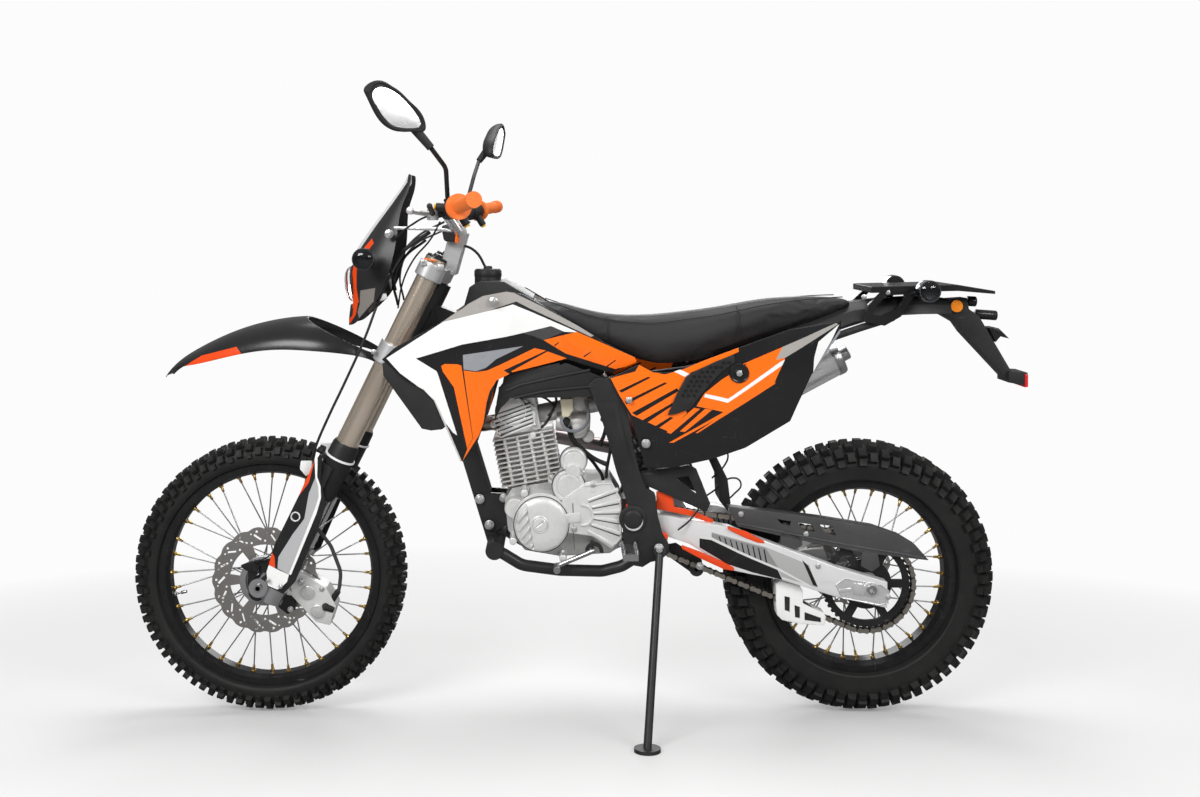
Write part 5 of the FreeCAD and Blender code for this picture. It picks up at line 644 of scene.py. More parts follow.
# Painted areas, each with its colour and its outline in pixels of the photograph
SHROUD_STRIPES = (
    (GREY_TRIM, ((441.4, 321.8), (462.9, 308.2), (479.5, 294.9), (501.9, 291.3), (513.5, 293.3),
                 (540, 306.5), (595.6, 337.2), (591.4, 338.9), (529.3, 309), (516, 301.9), (501.9, 306.5),
                 (472.9, 315.7), (443.8, 321.5))),
    (WHITE, ((388.3, 356.8), (443.8, 321.3), (501.9, 307.9), (512.7, 304.9), (530.1, 312.3),
             (578.2, 334.1), (564.1, 333.4), (550.8, 327.3), (524.3, 333.4), (506, 337.2), (462.9, 343.8),
             (417.3, 357.1), (437.2, 369.6), (438.4, 371.2), (457.9, 434.2), (453.8, 431.2), (444.3, 418.5),
             (436.1, 399.4), (423.9, 388.1), (401.6, 371.5), (392.4, 361.3))),
    (HATCH, ((523, 334.1), (550.8, 327.6), (564.4, 333.4), (543.3, 341.4), (533.4, 337.2))),
    (POCKET_GREY, ((463.4, 354.3), (523, 347), (496.1, 359.3), (486.1, 367.6), (476.2, 370.9), (464.1, 368.7))),
    (ORANGE, ((442.2, 364.9), (445.5, 362.9), (457.9, 363.4), (461.9, 364.9), (472.9, 437.5),
              (467.6, 447.5), (454.6, 386.1), (443.8, 370.4))),
    (ORANGE, ((464.1, 369.7), (476.2, 371.7), (487, 370.5), (499.4, 365.4), (534.2, 349.3), (545.8, 352.1),
              (503.5, 370.9), (511, 375.9), (496.1, 381.2), (489.8, 391.1), (486.5, 402.7), (483.6, 422.6),
              (479.5, 434.2), (463.3, 459.4), (467.9, 447.5), (473.4, 437.5))),
    (ORANGE, ((511, 372), (547.5, 353), (566.6, 360.4), (523.4, 373.7), (515.2, 375.2))),
    (ORANGE, ((543.3, 341.4), (577.3, 333.7), (638.7, 361.3), (636.7, 367.6), (616.3, 372), (565.7, 355.5))),
    (BLACK, ((554.1, 346.7), (558.8, 343.5), (558.8, 344.7), (554.5, 348.2))),
    (BLACK, ((584, 358.3), (591.4, 353.8), (591.4, 355), (584.3, 359.8))),
    (BLACK, ((607.2, 368.9), (616.8, 362.4), (616.8, 363.6), (607.5, 370.4))),
    (SILVER_LINE, ((423.9, 388.1), (436.1, 398.7), (446.3, 421), (462.9, 461.1), (461.3, 461.4),
                   (444.3, 421), (434.7, 400.7), (423.4, 389.5))),
)
SIDE_PANEL_STRIPES = (
    (ORANGE, ((608.8, 378), (634.8, 370.8), (639.1, 363.7), (651.1, 370.8), (664.1, 373.6), (681.4, 368.7),
              (736.7, 345.5), (737.4, 350.7), (690.1, 371.5), (684.7, 376.2), (669.5, 410.9), (658.7, 426.1),
              (643.5, 419.6), (631.6, 414.2), (624, 402.3))),
    (ORANGE, ((668.4, 412), (684.7, 408.8), (685.8, 412), (668.4, 430.5), (655.4, 425))),
    (BLACK, ((618.5, 389.9), (647.8, 375.8), (650, 376.9), (621.4, 391.9))),
    (BLACK, ((624.6, 400.7), (664.1, 381.4), (666.7, 382.3), (626.1, 403.6))),
    (BLACK, ((631.6, 412), (676, 387.1), (678.2, 389.7), (636.3, 414.8))),
    (BLACK, ((641.3, 419.6), (676.7, 398.8), (674.9, 402.3), (646.3, 421.8))),
    (BLACK, ((654.5, 425.2), (669.5, 415.7), (672.7, 416.6), (658.7, 426.5))),
    (WHITE, ((672.7, 370.2), (679.7, 368.7), (688.4, 372.8), (684, 375.8))),
    (ORANGE, ((737.8, 364.3), (781.2, 346.3), (784.4, 355.6), (773.6, 382.7), (727, 412), (719.4, 409.9),
              (695.5, 404.9), (703.1, 392.5), (720.5, 378.4), (746.5, 362.2))),
    (ORANGE, ((668.4, 441.3), (723.7, 409.9), (727, 410.9), (672.7, 441.3))),
    (ORANGE, ((694.4, 431.5), (724.8, 410.9), (727, 412), (696.6, 431.5))),
    (ORANGE, ((666, 431), (693, 406.5), (699, 407.5), (670, 432.5))),
    (ORANGE, ((679, 430), (704, 407.5), (711, 408.5), (684, 430.5))),
    (WHITE, ((704.2, 392.5), (727, 397.5), (779, 361.1), (789.8, 355.6), (793.1, 356.7), (781.2, 364.3),
             (726.5, 401.4), (703.1, 395.8))),
    (GREY_TRIM, ((781.2, 346.3), (836.5, 323.1), (838.6, 324.6), (784.4, 356.7), (774.7, 358.9))),
    (BLACK, ((784.4, 357.2), (837.5, 325.9), (820.2, 342.6), (814.8, 361.1), (780.1, 373.6), (772.5, 382.7))),
    (WHITE, ((818, 341.6), (839.7, 324.6), (831, 341.6), (812.6, 371.5), (813.7, 356.7))),
    (POCKET_GREY, ((828.9, 345.9), (840.1, 329.6), (845.1, 335), (844.5, 344.8), (834.3, 357.8),
                   (813.7, 373.6), (818, 363.2))),
)
FENDER_STRIPES = (
    (RED_ORANGE, ((175.3, 371.2), (199.8, 356.3), (236.5, 346.7), (242, 352.7), (240.6, 354.3), (217.1, 359),
                  (179.4, 371.4))),
)
GUARD_STRIPES = (
    (INSET, ((308.4, 493.7), (315.1, 477.4), (318, 483.1), (319, 497.5), (315.1, 509.9), (288.4, 575),
             (276.9, 569.2), (277.8, 557.7), (292.2, 534.8), (303.7, 519.5))),
    (RED_ORANGE, ((311.3, 457.3), (314.2, 461.1), (308.4, 483.1), (292.2, 504.2), (293.1, 496.5), (301.7, 481.2))),
    (RED_ORANGE, ((271.1, 552), (274, 557.7), (274.6, 570.2), (268.3, 565.4))),
    (WHITE, ((265.4, 567.3), (268.3, 565.8), (278.8, 571.1), (288.4, 575.3), (286.4, 582.6),
             (282.6, 586.4), (276.9, 590.3), (267.3, 586.4))),
    (WHITE, ((299.8, 465.9), (302.7, 460.2), (312.3, 463.6), (308.4, 474.5), (305.6, 473.6))),
    (WHITE, ((313.6, 451.6), (319.9, 449.7), (320.9, 451.6), (317.1, 458.3), (316.7, 477.4), (320.1, 487),
             (320.5, 498.4), (316.1, 513.7), (290.3, 575.9), (288.4, 574.6), (314.2, 509.9), (318.2, 497.5),
             (317.8, 487), (314.8, 477.4), (314.2, 461.1))),
)
ARM_STRIPES = (
    (ARM_GREY, ((711.9, 532.7), (765.2, 546.5), (808.7, 564.3), (816.6, 587.1), (781.1, 576.2),
                (777.1, 567.3), (739.5, 551.5), (711.9, 538.6))),
    (ARM_HATCH, ((711.9, 533.7), (765.2, 547.5), (778.1, 567.3), (739.5, 552.5), (711.9, 538.6))),
    (BLACK, ((718.8, 536.6), (720, 537), (722.7, 545.7), (721.2, 545.3))),
    (BLACK, ((724.3, 538.1), (725.5, 538.5), (728.3, 547.8), (726.7, 547.4))),
    (BLACK, ((729.9, 539.6), (731, 540), (733.8, 549.9), (732.2, 549.5))),
    (BLACK, ((735.4, 541.1), (736.6, 541.5), (739.3, 552), (737.8, 551.6))),
    (BLACK, ((740.9, 542.6), (742.1, 543), (744.9, 554.1), (743.3, 553.7))),
    (BLACK, ((746.5, 544.1), (747.6, 544.5), (750.4, 556.2), (748.8, 555.8))),
    (BLACK, ((752, 545.6), (753.2, 546), (756, 558.3), (754.4, 557.9))),
    (BLACK, ((757.5, 547.1), (758.7, 547.5), (761.5, 560.4), (759.9, 560))),
    (BLACK, ((763.1, 548.6), (764.3, 549), (767, 562.4), (765.4, 562))),
    (BLACK, ((700, 538.6), (711.9, 540.2), (739.5, 552.9), (776.1, 566.7), (782, 579.4), (753.4, 572.2),
             (727.7, 564.3), (700, 548.5))),
    (WHITE, ((700, 537), (711.9, 537.8), (739.5, 550.9), (778.1, 567.3), (810.7, 585.1), (810.7, 587.1),
             (778.1, 569.7), (739.1, 553.3), (711.5, 540.6), (700, 539.4))),
    (BLACK, ((801.8, 559.4), (807.8, 565.3), (817.6, 586.5), (812.7, 584.5), (804.8, 566.3))),
)
MASK_STRIPES = (
    ((0.62, 0.62, 0.61), ((330, 300), (330, 170), (409, 150), (406, 182), (391, 204), (375, 226), (359.5, 249),
                          (353, 262),
                          (349, 267), (346, 300))),
    (RED_ORANGE, ((372.5, 238.5), (351.8, 262.6), (352.4, 285.6), (353, 295), (351.8, 308.5), (359.9, 301.7),
                  (357.6, 286.7), (357.6, 266), (375, 243))),
    (RED_ORANGE, ((358.7, 303.5), (356.4, 314.3), (348.9, 324.6), (346, 321.2), (352.4, 315.4), (353.6, 304.5))),
    ((0.2, 0.18, 0.165), ((378, 287), (375.9, 300.5), (359.9, 317.7), (358.5, 312), (361, 303.5), (362, 290))),
)


def stripes_of(rows: Sequence[tuple[Colour, tuple[Flat, ...]]], left: float) -> tuple[Stripe, ...]:
    """Return a panel's painted areas, read at its distance to the left."""
    return tuple(Stripe(colour, outline, left) for colour, outline in rows)


@dataclass
class Studio:
    """The pale floor, the soft lamps and the camera.

    Attributes:
        floor_size: Side of the floor.
        floor_tone: Its grey level.
        lift: Brightness that the floor adds where the camera sees it.
        veil: How far the floor's mirror image is darkened.
        fade: Distances from the bike between which the floor turns white.
        aim: The spot at which the lamps point.
    """

    floor_size: float = 40.0
    floor_tone: float = 0.55
    lift: float = 0.2
    veil: float = 0.7
    fade: Flat = (1.6, 3.2)
    aim: Point = (0.0, 0.15, 0.6)
    lamps: list[bpy.types.Object] = field(default_factory=list)

    def build(self) -> None:
        """Set up the whole studio."""
        bpy.context.scene.view_settings.view_transform = "Standard"
        self.make_floor()
        self.make_world()
        self.make_lamps()
        VIEW.build()

    def make_floor(self) -> None:
        """Lay the floor, which turns white with distance and keeps the bike's shadow."""
        bpy.ops.object.select_all(action="DESELECT")
        bpy.ops.mesh.primitive_plane_add(size=self.floor_size, location=(0.0, 0.0, 0.0))
        floor = bpy.context.active_object
        floor.name = "floor"
        material = bpy.data.materials.new("floor_paper")
        material.use_nodes = True
        sheet = NodeSheet(material.node_tree)
        shader = material.node_tree.nodes["Principled BSDF"]
        place = sheet.place()
        grain = sheet.noise(place, 90.0, 3.0)
        tone = sheet.mix(grain, (self.floor_tone, self.floor_tone, self.floor_tone, 1.0),
                         (self.floor_tone * 0.99, self.floor_tone * 0.99, self.floor_tone * 0.985, 1.0))
        path = sheet.add("ShaderNodeLightPath").outputs
        veil = sheet.math("MULTIPLY", path["Is Glossy Ray"], self.veil)
        tone = sheet.mix(veil, tone, (0.02, 0.02, 0.02, 1.0))
        sheet.tree.links.new(tone, shader.inputs["Base Color"])
        shader.inputs["Roughness"].default_value = 0.85
        seen = sheet.math("MAXIMUM", path["Is Camera Ray"], path["Is Transmission Ray"])
        glow = sheet.add("ShaderNodeEmission", {"Color": (1.0, 1.0, 1.0, 1.0),
                                                "Strength": sheet.math("MULTIPLY", seen, self.lift)})
        lit = sheet.add("ShaderNodeAddShader", {0: shader.outputs[0], 1: glow.outputs[0]})
        white = sheet.add("ShaderNodeEmission", {"Color": (1.0, 1.0, 1.0, 1.0),
                                                 "Strength": sheet.math("MULTIPLY", seen, WHITE_LEVEL)})
        distance = sheet.add("ShaderNodeVectorMath", {0: place}, operation="LENGTH").outputs["Value"]
        fade = sheet.math("MULTIPLY", sheet.ramp(distance, *self.fade), seen)
        both = sheet.add("ShaderNodeMixShader", {0: fade, 1: lit.outputs[0], 2: white.outputs[0]})
        sheet.tree.links.new(both.outputs[0], material.node_tree.nodes["Material Output"].inputs["Surface"])
        floor.data.materials.append(material)

    def make_world(self) -> None:
        """Surround the bike with a white room that lights it softly."""
        world = bpy.data.worlds.new("white_room")
        bpy.context.scene.world = world
        world.use_nodes = True
        sheet = NodeSheet(world.node_tree)
        path = sheet.add("ShaderNodeLightPath").outputs
        seen = sheet.math("MAXIMUM", path["Is Camera Ray"], path["Is Transmission Ray"])
        high = sheet.add("ShaderNodeSeparateXYZ", {0: sheet.add("ShaderNodeTexCoord").outputs["Generated"]})
        sky = sheet.ramp(high.outputs[2], 0.05, 0.75, 0.09, 0.5)
        strength = sheet.add("ShaderNodeMix", {0: seen, 2: sky, 3: WHITE_LEVEL}, data_type="FLOAT").outputs[0]
        back = world.node_tree.nodes["Background"]
        back.inputs["Color"].default_value = (1.0, 1.0, 1.0, 1.0)
        sheet.tree.links.new(strength, back.inputs["Strength"])

    def make_lamps(self) -> None:
        """Hang two soft boxes to the bike's left, one over it and one to its right."""
        places = (
            ("left_front_lamp", (-1.9, -3.3, 2.5), 2.0, 118.0),
            ("left_rear_lamp", (2.4, -3.0, 2.1), 1.7, 64.0),
            ("top_lamp", (0.1, 0.4, 3.6), 2.6, 74.0),
            ("back_lamp", (0.4, 3.4, 2.2), 2.0, 36.0),
        )
        for name, where, size, power in places:
            data = bpy.data.lights.new(name, "AREA")
            data.shape = "RECTANGLE"
            data.size = size
            data.size_y = size * 0.6
            data.energy = power
            lamp = bpy.data.objects.new(name, data)
            bpy.context.scene.collection.objects.link(lamp)
            lamp.location = where
            lamp.rotation_euler = (Vector(self.aim) - Vector(where)).to_track_quat("-Z", "Y").to_euler()
            self.lamps.append(lamp)


SHROUD_LEFT = 0.1615
SIDE_LEFT = 0.1241
DARK_GREY = (0.018, 0.018, 0.019)
CAST_SILVER = (0.76, 0.76, 0.75)


@dataclass
class Wardrobe:
    """Every finish of the bike by its name, each made once."""

    made: dict[str, bpy.types.Material] = field(default_factory=dict)

    def finishes(self) -> tuple[Finish | Lens, ...]:
        """Return the finishes that the bike wears."""
        disc_steel = Finish("front_disc_steel", (0.52, 0.5, 0.48), (0.43, 0.41, 0.39), 0.3, 0.1, metallic=1.0,
                            relief=Relief.TURNED, depth=0.5, scale=1800.0, centre=FRONT_AXLE, scuffs=0.2, dust=0.08)
        panel_paint = Finish("shroud_paint", BLACK, (0.014, 0.014, 0.015), 0.22, 0.08, gloss=0.4, depth=0.06,
                             scuffs=0.12, scuff_colour=(0.4, 0.4, 0.4), dust=0.05, soft_edge=0.002,
                             stripes=stripes_of(SHROUD_STRIPES, SHROUD_LEFT))
        reflector = Finish("amber_reflector", (0.9, 0.28, 0.01), (0.8, 0.2, 0.01), 0.15, 0.06, relief=Relief.GRAIN,
                           depth=0.6, scuffs=0.1, dust=0.05)
        return (
            Finish("black_gloss", BLACK, (0.015, 0.015, 0.016), 0.2, 0.1, gloss=0.4, depth=0.08, scuffs=0.25,
                   scuff_colour=(0.12, 0.12, 0.12), dust=0.1, soft_edge=0.002),
            Finish("black_satin", DARK_GREY, (0.024, 0.024, 0.025), 0.42, 0.12, gloss=0.3, relief=Relief.GRAIN,
                   depth=0.25, scuffs=0.3, scuff_colour=(0.16, 0.16, 0.16), dust=0.16, soft_edge=0.0015),
            Finish("tank_black", (0.016, 0.016, 0.017), (0.021, 0.021, 0.022), 0.38, 0.1, gloss=0.35,
                   relief=Relief.GRAIN, depth=0.35, scale=1400.0, scuffs=0.3, scuff_colour=(0.14, 0.14, 0.14),
                   dust=0.1),
            Finish("frame_black", (0.017, 0.017, 0.018), (0.024, 0.024, 0.026), 0.3, 0.12, gloss=0.4, depth=0.22,
                   scuffs=0.35, scuff_colour=(0.25, 0.25, 0.25), dust=0.2, soft_edge=0.002),
            Finish("engine_silver", CAST_SILVER, (0.66, 0.66, 0.65), 0.34, 0.12, metallic=0.4, relief=Relief.CAST,
                   depth=0.2, scuffs=0.2, scuff_colour=(0.75, 0.75, 0.75), dust=0.12, soft_edge=0.003),
            Finish("cylinder_silver", (0.72, 0.71, 0.69), (0.56, 0.55, 0.53), 0.36, 0.14, metallic=0.5,
                   relief=Relief.CAST, depth=0.4, scuffs=0.1, scuff_colour=(0.8, 0.8, 0.8), dust=0.2, soft_edge=0.0012),
            Finish("crankcase_silver", (0.6, 0.6, 0.59), (0.46, 0.46, 0.45), 0.42, 0.15, metallic=0.5,
                   relief=Relief.CAST, depth=0.5, scuffs=0.1, dust=0.3, soft_edge=0.003),
            Finish("screw_alloy", (0.66, 0.66, 0.66), (0.54, 0.54, 0.54), 0.28, 0.12, metallic=0.8, relief=Relief.CAST,
                   depth=0.1, scuffs=0.3, scuff_colour=(0.7, 0.7, 0.7), dust=0.12, soft_edge=0.001),
            Finish("bright_alloy", (0.8, 0.8, 0.8), (0.7, 0.7, 0.7), 0.25, 0.14, metallic=0.7, relief=Relief.CAST,
                   depth=0.12, scuffs=0.4, scuff_colour=(0.85, 0.85, 0.85), dust=0.08, soft_edge=0.002),
            Finish("clamp_silver", (0.7, 0.7, 0.71), (0.6, 0.6, 0.61), 0.32, 0.12, metallic=0.7, relief=Relief.CAST,
                   depth=0.1, scuffs=0.2, scuff_colour=(0.85, 0.85, 0.85), dust=0.06, soft_edge=0.003),
            Finish("arm_silver", (0.84, 0.84, 0.84), (0.76, 0.76, 0.76), 0.3, 0.1, metallic=0.35, coat=0.3, depth=0.1,
                   scuffs=0.3, scuff_colour=(0.8, 0.8, 0.8), dust=0.15, stripes=stripes_of(ARM_STRIPES, 0.118),
                   soft_edge=0.003),
            Finish("champagne_tube", (0.74, 0.64, 0.53), (0.66, 0.56, 0.45), 0.2, 0.08, metallic=0.8,
                   relief=Relief.BRUSHED, depth=0.15, along=(300.0, 300.0, 8.0), scuffs=0.15,
                   scuff_colour=(0.6, 0.5, 0.4), dust=0.05),
            Finish("chromed_leg", (0.72, 0.72, 0.74), (0.66, 0.66, 0.68), 0.12, 0.06, metallic=1.0,
                   relief=Relief.BRUSHED, depth=0.05, along=(500.0, 500.0, 9.0), scuffs=0.1, dust=0.05),
            Finish("brushed_steel", (0.55, 0.55, 0.56), (0.47, 0.47, 0.48), 0.26, 0.12, metallic=1.0,
                   relief=Relief.CAST, depth=0.1, scuffs=0.4, scuff_colour=(0.7, 0.7, 0.7), dust=0.1, soft_edge=0.001),
            disc_steel,
            replace(disc_steel, name="rear_disc_steel", centre=REAR_AXLE),
            Finish("rim_black", (0.008, 0.008, 0.009), (0.012, 0.012, 0.013), 0.2, 0.1, gloss=0.3, depth=0.1,
                   scuffs=0.35, scuff_colour=(0.3, 0.3, 0.3), dust=0.18),
            Finish("hub_grey", (0.5, 0.5, 0.51), (0.4, 0.4, 0.41), 0.3, 0.14, metallic=0.9, relief=Relief.CAST,
                   depth=0.15, scuffs=0.2, dust=0.12),
            Finish("sprocket_black", (0.014, 0.014, 0.015), (0.022, 0.022, 0.023), 0.35, 0.12, metallic=0.4, depth=0.15,
                   scuffs=0.6, scuff_colour=(0.4, 0.4, 0.4), dust=0.15, soft_edge=0.0012),
            Finish("brass", (0.62, 0.42, 0.14), (0.5, 0.33, 0.1), 0.25, 0.12, metallic=1.0, relief=Relief.CAST,
                   depth=0.08, scuffs=0.2, scuff_colour=(0.8, 0.65, 0.3), dust=0.05),
            Finish("tyre_rubber", (0.010, 0.010, 0.010), (0.016, 0.0155, 0.015), 0.46, 0.2, gloss=0.3,
                   relief=Relief.GRAIN, depth=0.45, scale=700.0, scuffs=0.35, scuff_colour=(0.04, 0.04, 0.04),
                   dust=0.12),
            Finish("hose_rubber", (0.011, 0.011, 0.012), (0.017, 0.017, 0.018), 0.42, 0.15, gloss=0.35,
                   relief=Relief.GRAIN, depth=0.3, scuffs=0.2, scuff_colour=(0.08, 0.08, 0.08), dust=0.12),
            Finish("orange_gloss", ORANGE, (0.86, 0.135, 0.003), 0.25, 0.08, depth=0.06, scuffs=0.15,
                   scuff_colour=(0.95, 0.4, 0.15), dust=0.05, soft_edge=0.002),
            Finish("orange_red", RED_ORANGE, (0.7, 0.05, 0.003), 0.28, 0.1, depth=0.06, scuffs=0.15,
                   scuff_colour=(0.9, 0.3, 0.1), dust=0.08, soft_edge=0.002),
            Finish("orange_grip", (0.9, 0.2, 0.03), (0.83, 0.17, 0.025), 0.55, 0.12, relief=Relief.GRAIN, depth=0.5,
                   scale=1100.0, scuffs=0.2, scuff_colour=(0.7, 0.3, 0.15), dust=0.1),
            Finish("white_plastic", WHITE, (0.78, 0.78, 0.77), 0.25, 0.08, depth=0.06, scuffs=0.2,
                   scuff_colour=(0.6, 0.6, 0.6), dust=0.08, soft_edge=0.002),
            Finish("seat_vinyl", (0.017, 0.017, 0.018), (0.023, 0.023, 0.024), 0.48, 0.14, gloss=0.35,
                   relief=Relief.GRAIN, depth=0.55, scale=620.0, scuffs=0.15, scuff_colour=(0.08, 0.08, 0.08),
                   dust=0.1),
            panel_paint,
            replace(panel_paint, name="side_panel_paint", stripes=stripes_of(SIDE_PANEL_STRIPES, SIDE_LEFT)),
            Finish("fender_paint", BLACK, (0.015, 0.015, 0.016), 0.2, 0.1, gloss=0.4, depth=0.06, scuffs=0.15,
                   scuff_colour=(0.2, 0.2, 0.2), dust=0.08, stripes=stripes_of(FENDER_STRIPES, 0.07), soft_edge=0.003),
            Finish("guard_paint", BLACK, (0.015, 0.015, 0.016), 0.25, 0.1, gloss=0.4, depth=0.08, scuffs=0.2,
                   scuff_colour=(0.4, 0.4, 0.4), dust=0.12, stripes=stripes_of(GUARD_STRIPES, 0.145), soft_edge=0.002),
            Finish("header_steel", (0.4, 0.34, 0.28), (0.3, 0.26, 0.3), 0.28, 0.14, metallic=1.0, relief=Relief.BRUSHED,
                   depth=0.15, along=(30.0, 300.0, 300.0), scuffs=0.2, dust=0.15),
            Finish("chain_steel", (0.46, 0.43, 0.38), (0.32, 0.29, 0.25), 0.28, 0.15, metallic=1.0, relief=Relief.CAST,
                   depth=0.2, scuffs=0.5, scuff_colour=(0.5, 0.48, 0.42), dust=0.15),
            Finish("chain_dark", (0.07, 0.065, 0.06), (0.05, 0.046, 0.042), 0.35, 0.15, metallic=1.0,
                   relief=Relief.CAST, depth=0.2, scuffs=0.3, scuff_colour=(0.3, 0.28, 0.25), dust=0.15),
            Finish("mask_dark", DARK_GREY, (0.026, 0.026, 0.027), 0.35, 0.12, gloss=0.35, relief=Relief.GRAIN,
                   depth=0.2, scuffs=0.2, scuff_colour=(0.15, 0.15, 0.15), dust=0.08, soft_edge=0.002),
            Finish("mask_paint", DARK_GREY, (0.022, 0.022, 0.023), 0.3, 0.1, gloss=0.4, depth=0.08, scuffs=0.15,
                   scuff_colour=(0.2, 0.2, 0.2), dust=0.06, stripes=stripes_of(MASK_STRIPES, 0.06), soft_edge=0.002),
            Finish("mirror_silver", (0.8, 0.8, 0.8), (0.74, 0.74, 0.75), 0.16, 0.03, metallic=0.75, depth=0.005,
                   scuffs=0.02, scuff_colour=(0.85, 0.85, 0.85), dust=0.03),
            Finish("yellow_button", (0.85, 0.42, 0.01), (0.78, 0.36, 0.01), 0.35, 0.1, depth=0.08, scuffs=0.2,
                   scuff_colour=(0.9, 0.6, 0.2), dust=0.1, soft_edge=0.001),
            Finish("cream_plastic", (0.72, 0.66, 0.5), (0.64, 0.58, 0.43), 0.42, 0.1, depth=0.1, scuffs=0.1, dust=0.2,
                   soft_edge=0.001),
            Finish("grey_hose", (0.2, 0.21, 0.23), (0.15, 0.16, 0.18), 0.38, 0.12, relief=Relief.GRAIN, depth=0.2,
                   scuffs=0.1, dust=0.15),
            Finish("guard_grey", (0.045, 0.045, 0.047), (0.06, 0.06, 0.062), 0.36, 0.1, gloss=0.4,
                   relief=Relief.BRUSHED, depth=0.2, along=(20.0, 500.0, 500.0), scuffs=0.3,
                   scuff_colour=(0.25, 0.25, 0.25), dust=0.15, soft_edge=0.0015),
            Finish("spring_grey", (0.08, 0.08, 0.085), (0.11, 0.11, 0.115), 0.3, 0.1, depth=0.1, scuffs=0.3,
                   scuff_colour=(0.4, 0.4, 0.4), dust=0.2),
            Finish("chrome_lamp", (0.5, 0.52, 0.55), (0.42, 0.44, 0.47), 0.08, 0.05, metallic=1.0, depth=0.04,
                   scuffs=0.1, dust=0.05),
            reflector,
            replace(reflector, name="red_reflector", colour=(0.7, 0.02, 0.02), second=(0.55, 0.01, 0.012)),
            Lens("smoke_lens", (0.3, 0.32, 0.36)),
            Lens("clear_lens", (0.95, 0.96, 0.97)),
            Lens("amber_lens", (0.95, 0.42, 0.05), ribs=260.0),
            Lens("red_lens", (0.75, 0.03, 0.02), ribs=260.0),
        )

    def build(self) -> None:
        """Make every finish."""
        for finish in self.finishes():
            self.made[finish.name] = finish.build()

    def wear(self, piece: bpy.types.Object, finish: str) -> None:
        """Give a piece or node the finish of that name."""
        dress(piece, self.made[finish])


# The finish that each CAD node wears
NODE_FINISHES: dict[str, str] = {
    "frame_backbone": "frame_black", "frame_down_tube": "frame_black", "frame_cradle": "frame_black",
    "frame_side_spars": "frame_black", "subframe": "frame_black", "crankcase": "crankcase_silver",
    "engine_covers": "engine_silver", "cylinder": "cylinder_silver", "cylinder_head": "engine_silver",
    "carburettor": "cylinder_silver", "exhaust_header": "header_steel", "silencer": "bright_alloy",
    "fuel_tank": "tank_black", "seat": "seat_vinyl", "tank_shrouds": "shroud_paint",
    "lower_covers": "black_satin", "side_panels": "side_panel_paint", "rear_fender": "black_satin",
    "grab_rails": "black_gloss", "plate_carrier": "black_satin", "swingarm": "arm_silver",
    "chain": "chain_steel", "front_sprocket": "brushed_steel", "chain_covers": "black_satin",
    "rear_shock": "brushed_steel", "foot_controls": "brushed_steel", "rear_caliper": "engine_silver",
    "rear_axle": "brushed_steel", "triple_clamps": "clamp_silver", "fork_tubes": "champagne_tube",
    "fork_legs": "chromed_leg", "fork_guards": "guard_paint", "handlebar": "bright_alloy",
    "grips": "orange_grip", "bar_controls": "black_satin", "mirrors": "black_satin",
    "headlight_mask": "mask_dark", "headlamp": "white_plastic", "front_fender": "fender_paint",
    "front_indicators": "black_satin", "front_caliper": "engine_silver", "front_axle": "brushed_steel",
    "front_tyre": "tyre_rubber", "front_rim": "rim_black", "front_hub": "hub_grey",
    "front_disc": "front_disc_steel", "rear_tyre": "tyre_rubber", "rear_rim": "rim_black",
    "rear_hub": "hub_grey", "rear_disc": "rear_disc_steel", "rear_sprocket": "sprocket_black",
    "side_stand": "frame_black",
}


